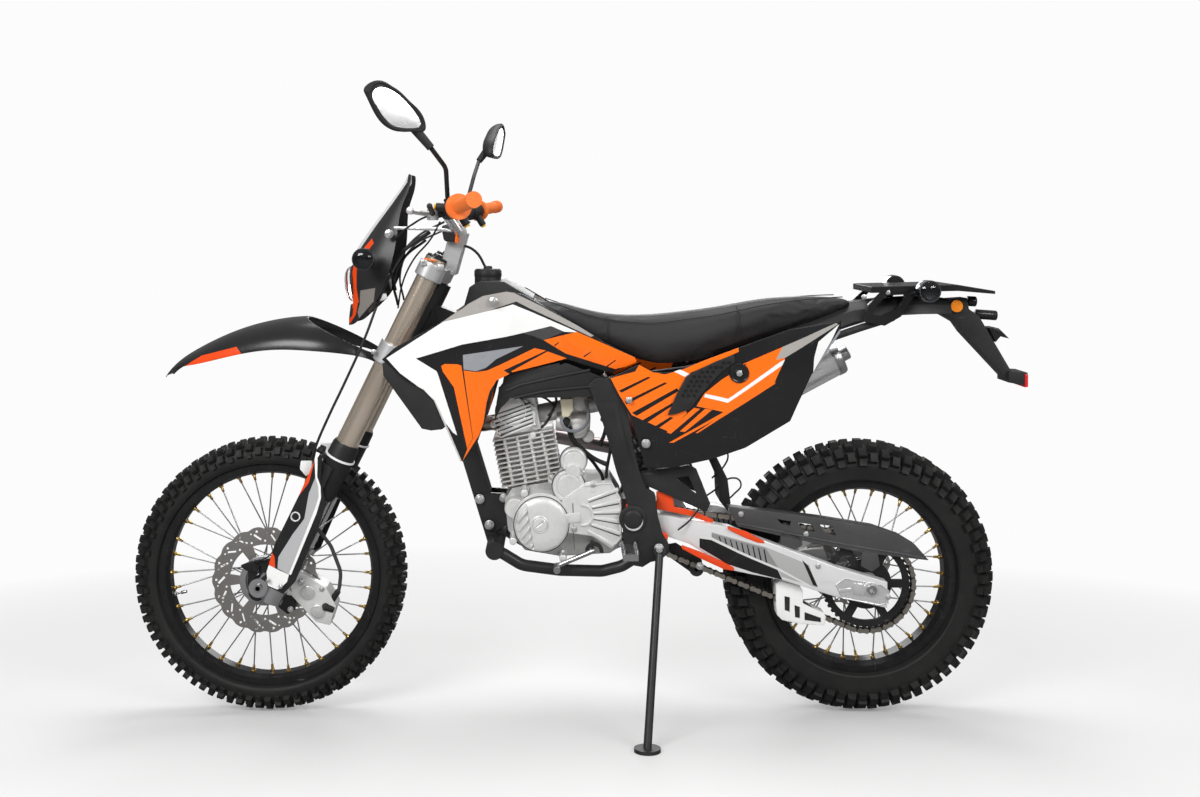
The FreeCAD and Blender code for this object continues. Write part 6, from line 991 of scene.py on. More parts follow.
class Bench:
    """Hand tools for making pieces on the upright bike, in metres."""

    @staticmethod
    def clear() -> None:
        """Deselect everything, so that an operator acts on the new piece alone."""
        bpy.ops.object.select_all(action="DESELECT")

    @staticmethod
    def take(piece: bpy.types.Object) -> bpy.types.Object:
        """Make a piece the only selected and active one."""
        Bench.clear()
        piece.select_set(True)
        bpy.context.view_layer.objects.active = piece
        return piece

    @staticmethod
    def shaft(name: str, start: Sequence[float], end: Sequence[float], radius: float, sides: int = 24,
              bevel: float = 0.0, tip: float | None = None) -> bpy.types.Object:
        """Make a round shaft, straight or tapered, with broken edges.

        Args:
            name: The piece's name.
            start: Centre of its first end.
            end: Centre of its other end.
            radius: Radius at its first end.
            sides: How many sides it is turned with.
            bevel: Width of the broken edge.
            tip: Radius at its other end, or None for a straight shaft.

        Returns:
            The piece.
        """
        Bench.clear()
        first, last = Vector(start), Vector(end)
        along = last - first
        bpy.ops.mesh.primitive_cone_add(vertices=sides, radius1=radius, radius2=radius if tip is None else tip,
                                        depth=along.length)
        piece = bpy.context.active_object
        piece.name = name
        turn = along.to_track_quat("Z", "Y").to_matrix().to_4x4()
        piece.data.transform(Matrix.Translation((first + last) / 2) @ turn)
        if bevel:
            Bench.break_edges(piece, bevel)
        return piece

    @staticmethod
    def break_edges(piece: bpy.types.Object, width: float, segments: int = 2, angle: float = 35.0) -> None:
        """Bevel a piece's hard edges with an applied modifier."""
        Bench.take(piece)
        bevel = piece.modifiers.new("broken_edges", "BEVEL")
        bevel.width = width
        bevel.segments = segments
        bevel.limit_method = "ANGLE"
        bevel.angle_limit = math.radians(angle)
        bpy.ops.object.modifier_apply(modifier=bevel.name)

    @staticmethod
    def smooth(piece: bpy.types.Object, angle: float = 40.0) -> None:
        """Shade a piece smooth across its soft edges."""
        Bench.take(piece)
        bpy.ops.object.shade_smooth_by_angle(angle=math.radians(angle))

    @staticmethod
    def plate(name: str, outline: Sequence[Flat], left_low: float, left_high: float,
              bevel: float = 0.001) -> bpy.types.Object:
        """Cut a plate along the bike from an outline in X and Z.

        Args:
            name: The piece's name.
            outline: Its corners, in X and Z.
            left_low: Distance of its inner face to the left of the middle.
            left_high: Distance of its outer face.
            bevel: Width of its broken edges.

        Returns:
            The piece.
        """
        Bench.clear()
        bpy.ops.mesh.primitive_circle_add(vertices=len(outline), fill_type="NOTHING")
        piece = bpy.context.active_object
        piece.name = name
        for vertex, (x, z) in zip(piece.data.vertices, outline):
            vertex.co = (x, -left_low, z)
        bpy.ops.object.mode_set(mode="EDIT")
        bpy.ops.mesh.select_all(action="SELECT")
        bpy.ops.mesh.edge_face_add()
        bpy.ops.mesh.extrude_region_move(TRANSFORM_OT_translate={"value": (0.0, left_low - left_high, 0.0)})
        bpy.ops.mesh.select_all(action="SELECT")
        bpy.ops.mesh.normals_make_consistent(inside=False)
        bpy.ops.object.mode_set(mode="OBJECT")
        if bevel:
            Bench.break_edges(piece, bevel)
        return piece

    @staticmethod
    def slab(name: str, corners_px: Iterable[Flat], seen_left: float, left_low: float, left_high: float,
             bevel: float = 0.001) -> bpy.types.Object:
        """Cut a plate whose outline is read from the photograph.

        Args:
            name: The piece's name.
            corners_px: Its corners as pixel column and row.
            seen_left: Distance to the left at which the pixels are read.
            left_low: Distance of its inner face to the left of the middle.
            left_high: Distance of its outer face.
            bevel: Width of its broken edges.

        Returns:
            The piece.
        """
        return Bench.plate(name, VIEW.flat(corners_px, seen_left), left_low, left_high, bevel)

    @staticmethod
    def lathe(name: str, profile: Sequence[Flat], centre: Sequence[float], axis: Sequence[float],
              steps: int = 64) -> bpy.types.Object:
        """Turn a closed profile of distance along the axis and radius.

        Args:
            name: The piece's name.
            profile: Corners as distance along the axis and radius, in order round the section.
            centre: The point on the axis from which the distance counts.
            axis: Direction of the axis.
            steps: How many steps the turn takes.

        Returns:
            The piece.
        """
        Bench.clear()
        bpy.ops.mesh.primitive_circle_add(vertices=len(profile), fill_type="NOTHING")
        piece = bpy.context.active_object
        piece.name = name
        for vertex, (along, radius) in zip(piece.data.vertices, profile):
            vertex.co = (radius, 0.0, along)
        bpy.ops.object.mode_set(mode="EDIT")
        bpy.ops.mesh.select_all(action="SELECT")
        bpy.ops.mesh.spin(steps=steps, angle=2 * math.pi, center=(0.0, 0.0, 0.0), axis=(0.0, 0.0, 1.0))
        bpy.ops.mesh.select_all(action="SELECT")
        bpy.ops.mesh.remove_doubles(threshold=1e-6)
        bpy.ops.mesh.dissolve_degenerate(threshold=1e-6)
        bpy.ops.mesh.normals_make_consistent(inside=False)
        bpy.ops.object.mode_set(mode="OBJECT")
        turn = Vector(axis).to_track_quat("Z", "Y").to_matrix().to_4x4()
        piece.data.transform(Matrix.Translation(centre) @ turn)
        return piece

    @staticmethod
    def hose(name: str, route: Sequence[Sequence[float]], radius: float, sides: int = 10,
             smooth: bool = True) -> bpy.types.Object:
        """Lay a round hose, cable or wire along a smooth route and make it a mesh.

        Args:
            name: The piece's name.
            route: Points on its centreline.
            radius: Its radius.
            sides: How many sides it has.
            smooth: Whether the route is a smooth curve or straight runs.

        Returns:
            The piece.
        """
        Bench.clear()
        curve = bpy.data.curves.new(name, "CURVE")
        curve.dimensions = "3D"
        spline = curve.splines.new("BEZIER" if smooth else "POLY")
        points = [Vector(p) for p in route]
        if smooth:
            spline.bezier_points.add(len(points) - 1)
            for knot, point in zip(spline.bezier_points, points):
                knot.co = point
                knot.handle_left_type = knot.handle_right_type = "AUTO"
        else:
            spline.points.add(len(points) - 1)
            for knot, point in zip(spline.points, points):
                knot.co = (*point, 1.0)
        curve.bevel_depth = radius
        curve.bevel_resolution = max(1, sides // 4)
        curve.resolution_u = 8
        curve.use_fill_caps = True
        piece = bpy.data.objects.new(name, curve)
        bpy.context.scene.collection.objects.link(piece)
        Bench.take(piece)
        bpy.ops.object.convert(target="MESH")
        return bpy.context.active_object

    @staticmethod
    def copy(piece: bpy.types.Object, move: Matrix, name: str = "copy") -> bpy.types.Object:
        """Return a copy of a piece with its own mesh, moved."""
        twin = bpy.data.objects.new(name, piece.data.copy())
        bpy.context.scene.collection.objects.link(twin)
        twin.data.transform(move)
        if move.determinant() < 0.0:
            twin.data.flip_normals()
        return twin

    @staticmethod
    def join(name: str, pieces: Sequence[bpy.types.Object]) -> bpy.types.Object:
        """Join pieces into one."""
        Bench.clear()
        for piece in pieces:
            piece.select_set(True)
        bpy.context.view_layer.objects.active = pieces[0]
        if len(pieces) > 1:
            bpy.ops.object.join()
        joined = bpy.context.active_object
        joined.name = name
        joined.data.name = name
        return joined

    @staticmethod
    def repeat(name: str, model: bpy.types.Object, moves: Sequence[Matrix]) -> bpy.types.Object:
        """Copy a model to several places, each copy with its own mesh, and join the copies."""
        copies = [Bench.copy(model, move) for move in moves]
        bpy.data.objects.remove(model)
        return Bench.join(name, copies)

    @staticmethod
    def cut(piece: bpy.types.Object, cutters: Sequence[bpy.types.Object]) -> bpy.types.Object:
        """Cut other pieces out of a piece with an applied modifier, and drop the cutters."""
        tool = Bench.join("cutter", cutters)
        Bench.take(piece)
        cut = piece.modifiers.new("openings", "BOOLEAN")
        cut.operation = "DIFFERENCE"
        cut.solver = "EXACT"
        cut.object = tool
        bpy.ops.object.modifier_apply(modifier=cut.name)
        bpy.data.objects.remove(tool)
        return piece

    @staticmethod
    def sheet(name: str, rows: Sequence[Sequence[Sequence[float]]], wall: float = 0.0, levels: int = 1,
              closed: bool = False) -> bpy.types.Object:
        """Shape a smooth sheet, or a skin closed round each row, through rows of points.

        Args:
            name: The piece's name.
            rows: Rows of the same number of points.
            wall: Its thickness, laid on behind, or 0 for a bare skin.
            levels: How often it is subdivided.
            closed: Whether the last point of each row joins the first.

        Returns:
            The piece.
        """
        Bench.clear()
        across = len(rows[0])
        bpy.ops.mesh.primitive_grid_add(x_subdivisions=across - (0 if closed else 1), y_subdivisions=len(rows) - 1)
        piece = bpy.context.active_object
        piece.name = name
        width = across + (1 if closed else 0)
        for index, vertex in enumerate(piece.data.vertices):
            row, column = divmod(index, width)
            vertex.co = rows[row][column % across]
        if closed:
            bpy.ops.object.mode_set(mode="EDIT")
            bpy.ops.mesh.select_all(action="SELECT")
            bpy.ops.mesh.remove_doubles(threshold=1e-6)
            bpy.ops.mesh.select_all(action="SELECT")
            bpy.ops.mesh.normals_make_consistent(inside=False)
            bpy.ops.object.mode_set(mode="OBJECT")
        for kind in ("SOLIDIFY",) * (wall > 0.0) + ("SUBSURF",) * (levels > 0):
            modifier = piece.modifiers.new(kind.lower(), kind)
            if kind == "SOLIDIFY":
                modifier.thickness = wall
            else:
                modifier.levels = levels
            bpy.ops.object.modifier_apply(modifier=modifier.name)
        return piece

    @staticmethod
    def mirrored(piece: bpy.types.Object) -> bpy.types.Object:
        """Return a piece joined with its mirror image on the bike's other side."""
        name = piece.name
        twin = Bench.copy(piece, Matrix.Scale(-1.0, 4, (0.0, 1.0, 0.0)))
        return Bench.join(name, [piece, twin])

    @staticmethod
    def pair(name: str, pieces: Sequence[bpy.types.Object]) -> bpy.types.Object:
        """Join pieces of the bike's left side and add their mirror image on the right."""
        return Bench.mirrored(Bench.join(name, pieces))


class Assembly:
    """A sub-assembly that makes its pieces, sets them on the standing bike and dresses them."""

    wardrobe: Wardrobe

    def build(self) -> list[bpy.types.Object]:
        """Make the pieces."""
        raise NotImplementedError

    def finish(self, piece: bpy.types.Object, body: Body, finish: str, slot: Slot | None = None,
               smooth: float = 40.0, replaces: Sequence[str] = ()) -> bpy.types.Object:
        """Lean a piece onto the stand, dress it and let it ride on its body.

        Args:
            piece: The piece, on the upright bike.
            body: The body that it moves with.
            finish: The finish that it wears.
            slot: The record's material slot; not used.
            smooth: Angle below which its edges are shaded smooth.
            replaces: The CAD nodes that it stands for.

        Returns:
            The piece.
        """
        piece.data.transform(STANCE.matrix())
        Bench.smooth(piece, smooth)
        self.wardrobe.wear(piece, finish)
        if replaces:
            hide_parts(*replaces)
        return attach(piece, body.value)

    def finish_all(self, body: Body, rows: Iterable[tuple]) -> list[bpy.types.Object]:
        """Finish several pieces of one body.

        Args:
            body: The body that they move with.
            rows: Each piece with its finish, and its slot, smoothing and CAD nodes where it has them.

        Returns:
            The pieces.
        """
        return [self.finish(piece, body, *looks) for piece, *looks in rows]


@dataclass
class Wheel(Assembly):
    """A spoked wheel with a lugged tyre.

    Attributes:
        wardrobe: The bike's finishes.
        end: Front or rear, which starts the pieces' names.
        body: The body that the wheel turns with.
        centre: The axle's place.
        tip_radius: Radius to the tips of the lugs.
        lug_height: Height of the lugs on the crown.
        lug_count: How many rows of lugs go round.
        lug_size: Length, width and foot of a lug.
        bulge_radius: Radius at which the tyre is widest.
        bulge: Half the width of the tyre under its lugs.
        flange_radius: Outer radius of the rim.
        bed_radius: Inner radius of the rim.
        rim_half: Half the rim's width.
        hub_radius: Radius of the hub's flanges.
        hub_spread: Distance between the flanges.
        tread: Angle round the section, side and length share of each lug, for even and odd rows.
    """

    wardrobe: Wardrobe
    end: str
    body: Body
    centre: Point
    tip_radius: float
    lug_height: float
    lug_count: int
    lug_size: tuple[float, float, float]
    bulge_radius: float
    bulge: float
    flange_radius: float
    bed_radius: float
    rim_half: float
    hub_radius: float
    hub_spread: float
    tread: tuple[tuple[tuple[float, float, float, float], ...], tuple[tuple[float, float, float, float], ...]]
    spoke_count: int = 36
    spoke_radius: float = 0.0017

    @property
    def crown(self) -> float:
        """Radius of the tyre between its lugs."""
        return self.tip_radius - self.lug_height

    def build(self) -> list[bpy.types.Object]:
        """Make the tyre, the nipples and the valve."""
        tyre = self.make_tyre()
        pieces = [self.finish(tyre, self.body, "tyre_rubber", Slot.TYRE, 50.0, (f"{self.end}_tyre",))]
        pieces.append(self.finish(self.make_nipples(), self.body, "brass", Slot.STEEL))
        pieces.append(self.finish(self.make_valve(), self.body, "brushed_steel", Slot.STEEL))
        return pieces

    def section(self, turn: float) -> tuple[float, float, float]:
        """Return the radius, side and outward slope of the carcass at an angle from the crown."""
        rise = self.crown - self.bulge_radius
        radius = self.bulge_radius + rise * math.cos(turn)
        side = self.bulge * math.sin(turn)
        slope = math.atan2(math.sin(turn) / self.bulge, math.cos(turn) / rise)
        return radius, side, slope

    def make_tyre(self) -> bpy.types.Object:
        """Turn the carcass and set its lugs round it."""
        bead = self.rim_half - 0.004
        half = [(self.section(math.radians(a))[1], self.section(math.radians(a))[0]) for a in range(0, 91, 9)]
        low = [(self.bulge * 0.985, self.bulge_radius - 0.006), (self.bulge * 0.95, self.flange_radius + 0.0075),
               (self.bulge * 0.93, self.flange_radius + 0.0068), (self.bulge * 0.9, self.flange_radius + 0.0035),
               (bead + 0.0015, self.flange_radius + 0.0004), (bead, self.flange_radius - 0.001),
               (bead - 0.0005, self.flange_radius - 0.01)]
        right = half + low
        profile = right + [(-y, r) for y, r in reversed(right) if y > 1e-9]
        carcass = Bench.lathe(f"{self.end}_tyre_lugged", profile, self.centre, (0.0, 1.0, 0.0), 144)
        lugs = self.make_lugs()
        return Bench.join(f"{self.end}_tyre_lugged", [carcass, lugs])

    def make_lug(self) -> bpy.types.Object:
        """Shape one lug: a block with a drawn-in, broken-edged top and a small sipe step."""
        Bench.clear()
        bpy.ops.mesh.primitive_cube_add(size=1.0)
        lug = bpy.context.active_object
        bpy.ops.object.mode_set(mode="EDIT")
        bpy.ops.mesh.select_all(action="DESELECT")
        edit = bmesh.from_edit_mesh(lug.data)
        for face in edit.faces:
            face.select_set(face.normal.z > 0.9)
        bmesh.update_edit_mesh(lug.data)
        bpy.ops.transform.resize(value=(0.82, 0.82, 1.0), center_override=(0.0, 0.0, 0.5))
        bpy.ops.mesh.inset(thickness=0.16)
        bpy.ops.transform.translate(value=(0.0, 0.0, -0.06))
        edit = bmesh.from_edit_mesh(lug.data)
        below = [face for face in edit.faces if face.normal.z < -0.9]
        bmesh.ops.delete(edit, geom=below, context="FACES_ONLY")
        bmesh.update_edit_mesh(lug.data)
        bpy.ops.object.mode_set(mode="OBJECT")
        return lug

    def make_lugs(self) -> bpy.types.Object:
        """Set the lugs in their rows round the carcass."""
        model = self.make_lug()
        rng = random.Random(11)
        length, width, foot = self.lug_size
        moves = []
        for index in range(self.lug_count):
            angle = 2 * math.pi * index / self.lug_count
            for turn_deg, share, stretch, height in self.tread[index % 2]:
                radius, side, slope = self.section(math.radians(turn_deg))
                tall = self.lug_height * height
                sizes = Matrix.Diagonal((length * stretch, width * share, tall + foot, 1.0))
                lift = Matrix.Translation((0.0, 0.0, (tall - foot) / 2))
                wobble = Matrix.Rotation(rng.uniform(-0.02, 0.02), 4, "Z")
                tilt = Matrix.Rotation(-slope, 4, "X")
                outward = Matrix.Translation((0.0, side, radius))
                turn = Matrix.Rotation(angle, 4, "Y")
                moves.append(Matrix.Translation(self.centre) @ turn @ outward @ tilt @ lift @ wobble @ sizes)
        return Bench.repeat("lugs", model, moves)

    def spoke_line(self, index: int) -> tuple[Vector, Vector]:
        """Return where a spoke leaves the hub and where it meets the rim."""
        way = 1 if index % 2 else -1
        lead = 1 if index % 4 < 2 else -1
        rim_angle = 2 * math.pi * index / self.spoke_count
        hub_angle = rim_angle + lead * math.radians(62)
        reach = self.hub_radius - 0.0055
        centre = Vector(self.centre)
        start = centre + Vector((reach * math.cos(hub_angle),
                                 way * self.hub_spread / 2 + lead * self.spoke_radius * 1.8,
                                 reach * math.sin(hub_angle)))
        end = centre + Vector((self.bed_radius * math.cos(rim_angle), way * 0.007,
                               self.bed_radius * math.sin(rim_angle)))
        return start, end

    def make_nipples(self) -> bpy.types.Object:
        """Make the brass nipples at the rim ends of the spokes, and the bent heads at the hub."""
        parts = []
        for index in range(self.spoke_count):
            start, end = self.spoke_line(index)
            along = (end - start).normalized()
            parts.append(Bench.shaft("nipple", end - along * 0.017, end + along * 0.001, 0.0033, 6, 0.0004, 0.0038))
            parts.append(Bench.shaft("collar", end - along * 0.0045, end + along * 0.001, 0.0056, 10, 0.0006))
        return Bench.join(f"{self.end}_nipples", parts)

    def make_valve(self) -> bpy.types.Object:
        """Make the tyre valve with its cap and nut."""
        angle = math.radians(193.0 if self.end == "front" else 217.0)
        out = Vector((math.cos(angle), 0.0, math.sin(angle)))
        foot = Vector(self.centre) + out * (self.bed_radius + 0.001)
        parts = [Bench.shaft("stem", foot, foot - out * 0.03, 0.0024, 12, 0.0003),
                 Bench.shaft("nut", foot - out * 0.001, foot - out * 0.006, 0.0068, 6, 0.0006),
                 Bench.shaft("cap", foot - out * 0.019, foot - out * 0.033, 0.0042, 12, 0.0007)]
        return Bench.join(f"{self.end}_valve", parts)


def front_wheel(wardrobe: Wardrobe) -> Wheel:
    """Return the front wheel."""
    tread = (((0.0, 1.0, 1.1, 1.0), (47.0, 1.0, 1.15, 0.92), (-47.0, 1.0, 1.15, 0.92), (76.0, 0.7, 0.85, 0.5),
              (-76.0, 0.7, 0.85, 0.5)),
             ((24.0, 1.0, 1.1, 0.98), (-24.0, 1.0, 1.1, 0.98), (63.0, 1.15, 1.1, 0.8), (-63.0, 1.15, 1.1, 0.8)))
    return Wheel(wardrobe, "front", Body.FRONT_WHEEL, FRONT_AXLE, tip_radius=0.346, lug_height=0.0125, lug_count=82,
                 lug_size=(0.0155, 0.0185, 0.004), bulge_radius=0.298, bulge=0.0365, flange_radius=0.280,
                 bed_radius=0.2555, rim_half=0.025, hub_radius=0.034, hub_spread=0.062, tread=tread)


def rear_wheel(wardrobe: Wardrobe) -> Wheel:
    """Return the rear wheel."""
    tread = (((0.0, 1.05, 1.3, 1.0), (49.0, 1.15, 1.3, 0.92), (-49.0, 1.15, 1.3, 0.92), (75.0, 0.85, 1.15, 0.6),
              (-75.0, 0.85, 1.15, 0.6)),
             ((25.0, 1.0, 1.25, 0.97), (-25.0, 1.0, 1.25, 0.97), (62.0, 1.1, 1.2, 0.8), (-62.0, 1.1, 1.2, 0.8)))
    return Wheel(wardrobe, "rear", Body.REAR_WHEEL, REAR_AXLE, tip_radius=0.342, lug_height=0.0155, lug_count=68,
                 lug_size=(0.0185, 0.0245, 0.005), bulge_radius=0.280, bulge=0.0485, flange_radius=0.242,
                 bed_radius=0.2175, rim_half=0.031, hub_radius=0.050, hub_spread=0.066, tread=tread)


def lobed_circle(centre: Flat, radius: float, depth: float, lobes: int, steps: int = 8) -> list[Flat]:
    """Return a wavy circle in X and Z."""
    points = []
    for index in range(lobes * steps):
        angle = 2 * math.pi * index / (lobes * steps)
        reach = radius - depth * (0.5 - 0.5 * math.cos(lobes * angle)) ** 2
        points.append((centre[0] + reach * math.cos(angle), centre[1] + reach * math.sin(angle)))
    return points


def sector(centre: Flat, inner: float, outer: float, start: float, end: float, steps: int = 6) -> list[Flat]:
    """Return the outline of a sector of a ring in X and Z, its angles in degrees."""
    angles = [math.radians(start + (end - start) * index / steps) for index in range(steps + 1)]
    return [(centre[0] + reach * math.cos(a), centre[1] + reach * math.sin(a))
            for reach, run in ((outer, angles), (inner, angles[::-1])) for a in run]


@dataclass
class Disc(Assembly):
    """A wavy brake disc with its windows, holes and slots.

    Attributes:
        wardrobe: The bike's finishes.
        name: The CAD node that it stands for, which also starts the piece's name.
        body: The wheel that it turns with.
        centre: The axle's place.
        left: Distance of its middle to the left of the bike's middle.
        radius: Radius to its lobes.
        finish_name: The finish that it wears.
        lobes: How many lobes go round.
        arms: How many arms hold the ring.
        wall: Thickness.
        wave: Depth between two lobes.
        bore: Radius of the hole for the hub.
        slot_half: Half the length and half the width of a slot.
    """

    wardrobe: Wardrobe
    name: str
    body: Body
    centre: Point
    left: float
    radius: float
    finish_name: str
    lobes: int = 18
    arms: int = 6
    wall: float = 0.004
    wave: float = 0.0045
    bore: float = 0.034
    slot_half: Flat = (0.011, 0.0025)

    def build(self) -> list[bpy.types.Object]:
        """Make the disc."""
        middle = (self.centre[0], self.centre[2])
        low, high = self.left - self.wall / 2, self.left + self.wall / 2
        disc = Bench.plate(self.name + "_ring", lobed_circle(middle, self.radius, self.wave, self.lobes), low, high,
                           0.0)
        inner = self.radius * 0.67
        cutters = [Bench.plate("bore", sector(middle, 0.0, self.bore, 0.0, 350.0, 30), low - 0.01, high + 0.01, 0.0)]
        for index in range(self.arms):
            start = 360.0 / self.arms * index
            outline = sector(middle, 0.05, inner, start + 9.0, start + 360.0 / self.arms - 9.0)
            cutters.append(Bench.plate("window", outline, low - 0.01, high + 0.01, 0.0))
        for index in range(self.lobes):
            turn = math.radians(360.0 / self.lobes * index)
            for share, offset, radius in ((0.925, 0.0, 0.0034), (0.74, 0.5, 0.003), (0.9, 0.36, 0.0024)):
                angle = turn + offset * 2 * math.pi / self.lobes
                spot = Vector((middle[0] + self.radius * share * math.cos(angle), -low + 0.01,
                               middle[1] + self.radius * share * math.sin(angle)))
                cutters.append(Bench.shaft("hole", spot, spot - Vector((0.0, 0.03, 0.0)), radius, 10))
            long, wide = self.slot_half
            slot = [(-long, -wide), (long, -wide), (long, wide), (-long, wide)]
            lean = turn + 0.62 + math.pi / self.lobes
            reach = self.radius * 0.82
            spot = (middle[0] + reach * math.cos(turn), middle[1] + reach * math.sin(turn))
            outline = [(spot[0] + x * math.cos(lean) - z * math.sin(lean),
                        spot[1] + x * math.sin(lean) + z * math.cos(lean))
                       for x, z in slot]
            cutters.append(Bench.plate("slot", outline, low - 0.01, high + 0.01, 0.0))
        Bench.cut(disc, cutters)
        Bench.break_edges(disc, 0.0004, 1)
        return [self.finish(disc, self.body, self.finish_name, Slot.STEEL, 30.0, (self.name,))]


# Screws of each body: pixel column and row, distance to the left, and head radius in millimetres
Screw = tuple[float, float, float, float]
FORK_SCREWS: tuple[Screw, ...] = (
    (259.4, 576.4, 0.0815, 5.5), (301.2, 581.8, 0.0965, 6.5), (290.6, 609.3, 0.0815, 5.5), (268.2, 580.4, 0.148, 4.0),
    (280.6, 586.5, 0.148, 4.0), (322.0, 589.0, 0.0885, 5.0), (389.0, 234.0, 0.107, 8.0), (424.0, 262.0, 0.134, 5.0),
    (441.0, 268.0, 0.134, 5.0), (374.0, 352.0, 0.134, 5.0), (392.0, 358.0, 0.134, 5.0),
)
CHASSIS_SCREWS: tuple[Screw, ...] = (
    (493.3, 301.6, 0.171, 8.0), (458.8, 436.7, 0.168, 7.0), (739.0, 373.0, 0.147, 8.0), (479.6, 499.0, 0.038, 9.0),
    (503.7, 498.0, 0.038, 8.0), (489.4, 524.8, 0.038, 9.0), (593.0, 484.5, 0.1185, 6.0), (574.0, 529.0, 0.1185, 6.0),
    (551.5, 478.0, 0.1065, 5.0), (582.0, 474.0, 0.1065, 5.0), (574.5, 501.0, 0.1065, 5.0), (535.0, 425.0, 0.0755, 5.0),
    (532.5, 408.5, 0.0755, 5.0), (493.5, 424.0, 0.0755, 4.5), (657.3, 479.5, 0.074, 9.0), (659.0, 548.5, 0.145, 9.0),
    (646.0, 443.5, 0.146, 8.0), (629.0, 400.0, 0.146, 6.0), (622.0, 545.0, 0.1185, 5.0), (563.0, 552.0, 0.117, 4.5),
    (888.0, 597.0, 0.1235, 5.0), (818.0, 566.0, 0.1235, 5.0), (741.0, 514.0, 0.0995, 5.0), (806.0, 534.0, 0.0995, 5.0),
    (700.0, 566.0, 0.105, 7.0), (864.0, 297.0, 0.082, 5.0), (888.0, 292.0, 0.082, 5.0),
)


@dataclass
class Screws(Assembly):
    """Flanged hexagon screws with washers on one body, set square to the bike's side."""

    wardrobe: Wardrobe
    body: Body
    places: tuple[Screw, ...]

    def build(self) -> list[bpy.types.Object]:
        """Make the screws as one piece."""
        washer = [(0.0, 0.0), (0.0, 1.35), (0.22, 1.35), (0.3, 1.2), (0.3, 0.0)]
        head = Bench.shaft("head", (0.0, 0.0, 0.3), (0.0, 0.0, 1.1), 1.0, 6, 0.12)
        dimple = Bench.lathe("dimple", [(1.1, 0.0), (1.1, 0.55), (1.18, 0.5), (1.12, 0.0)], (0, 0, 0), (0, 0, 1), 12)
        model = Bench.join("screw", [Bench.lathe("washer", washer, (0, 0, 0), (0, 0, 1), 20), head, dimple])
        facing = Matrix.Rotation(math.pi / 2, 4, "X")
        moves = []
        for index, (px, py, left, radius) in enumerate(self.places):
            twist = Matrix.Rotation(index * 0.7, 4, "Z")
            moves.append(Matrix.Translation(VIEW.seen(px, py, left - 0.0015)) @ facing @ twist
                         @ Matrix.Scale(radius * 0.001, 4))
        piece = Bench.repeat(self.body.value + "_screws", model, moves)
        return [self.finish(piece, self.body, "screw_alloy", Slot.STEEL, 30.0)]


@dataclass
class FrontBrake(Assembly):
    """The carrier, pistons, hose ends and sensor wire about the front axle."""

    wardrobe: Wardrobe

    def build(self) -> list[bpy.types.Object]:
        """Make the pieces beside the front disc."""
        outline = [(248.1, 568.8), (255.0, 560.0), (270.0, 558.8), (275.0, 565.0), (290.0, 594.0), (301.0, 577.0),
                   (306.0, 582.0), (296.0, 600.0), (295.0, 610.0), (287.5, 614.5), (277.5, 606.3), (266.3, 601.3),
                   (252.5, 595.0), (247.5, 583.8)]
        plate = Bench.slab("caliper_bracket", outline, 0.078, 0.069, 0.079, 0.002)
        lever = Bench.slab("cam_arm", [(240, 566), (252, 561), (260, 567), (258, 573), (246, 571)], 0.086, 0.076, 0.086,
                           0.002)
        hub = VIEW.seen(257.8, 591.5, 0.08)
        boss = Bench.lathe("axle_seat", [(0.0, 0.0), (0.0, 0.022), (0.005, 0.022), (0.008, 0.019), (0.008, 0.0)],
                           hub, OUTWARD, 32)
        black = Bench.join("front_brake_bracket", [plate, lever, boss])
        ring = Bench.lathe("disc_seat", [(0.0, 0.047), (0.0, 0.062), (0.005, 0.062), (0.006, 0.06), (0.006, 0.047)],
                           (FRONT_AXLE[0], -0.0645, FRONT_AXLE[2]), OUTWARD, 48)
        sleeve = Bench.shaft("boot", VIEW.seen(338.2, 591.0, 0.084), VIEW.seen(328.0, 606.5, 0.076), 0.0075, 20, 0.001)
        elbow = Bench.shaft("elbow", VIEW.seen(325.5, 607.0, 0.092), VIEW.seen(325.5, 607.0, 0.068), 0.0095, 20, 0.0015)
        tail = Bench.shaft("tail", VIEW.seen(325.5, 607.0, 0.088), VIEW.seen(334.0, 609.5, 0.084), 0.0085, 20, 0.0015)
        pistons = [Bench.lathe("piston", [(0.0, 0.0), (0.0, 0.0165), (0.006, 0.0165), (0.0075, 0.014), (0.0075, 0.0)],
                               VIEW.seen(px, py, 0.0875), OUTWARD, 32) for px, py in ((308, 592), (318, 611))]
        route = [fork_spot(0.30, 0.034, 0.07), fork_spot(0.22, 0.046, 0.085), fork_spot(0.14, 0.05, 0.092),
                 fork_spot(0.07, 0.052, 0.088), VIEW.seen(252.0, 563.0, 0.086)]
        wire = Bench.hose("speed_wire", route, 0.0016, 8)
        rubber = Bench.join("front_brake_rubber", [sleeve, elbow, tail, wire])
        return [self.finish(black, Body.STEERING, "black_gloss", Slot.BLACK),
                self.finish(ring, Body.FRONT_WHEEL, "hub_grey", Slot.STEEL),
                self.finish(rubber, Body.STEERING, "hose_rubber", Slot.RUBBER),
                self.finish(Bench.join("front_pistons", pistons), Body.STEERING, "bright_alloy", Slot.ALLOY)]


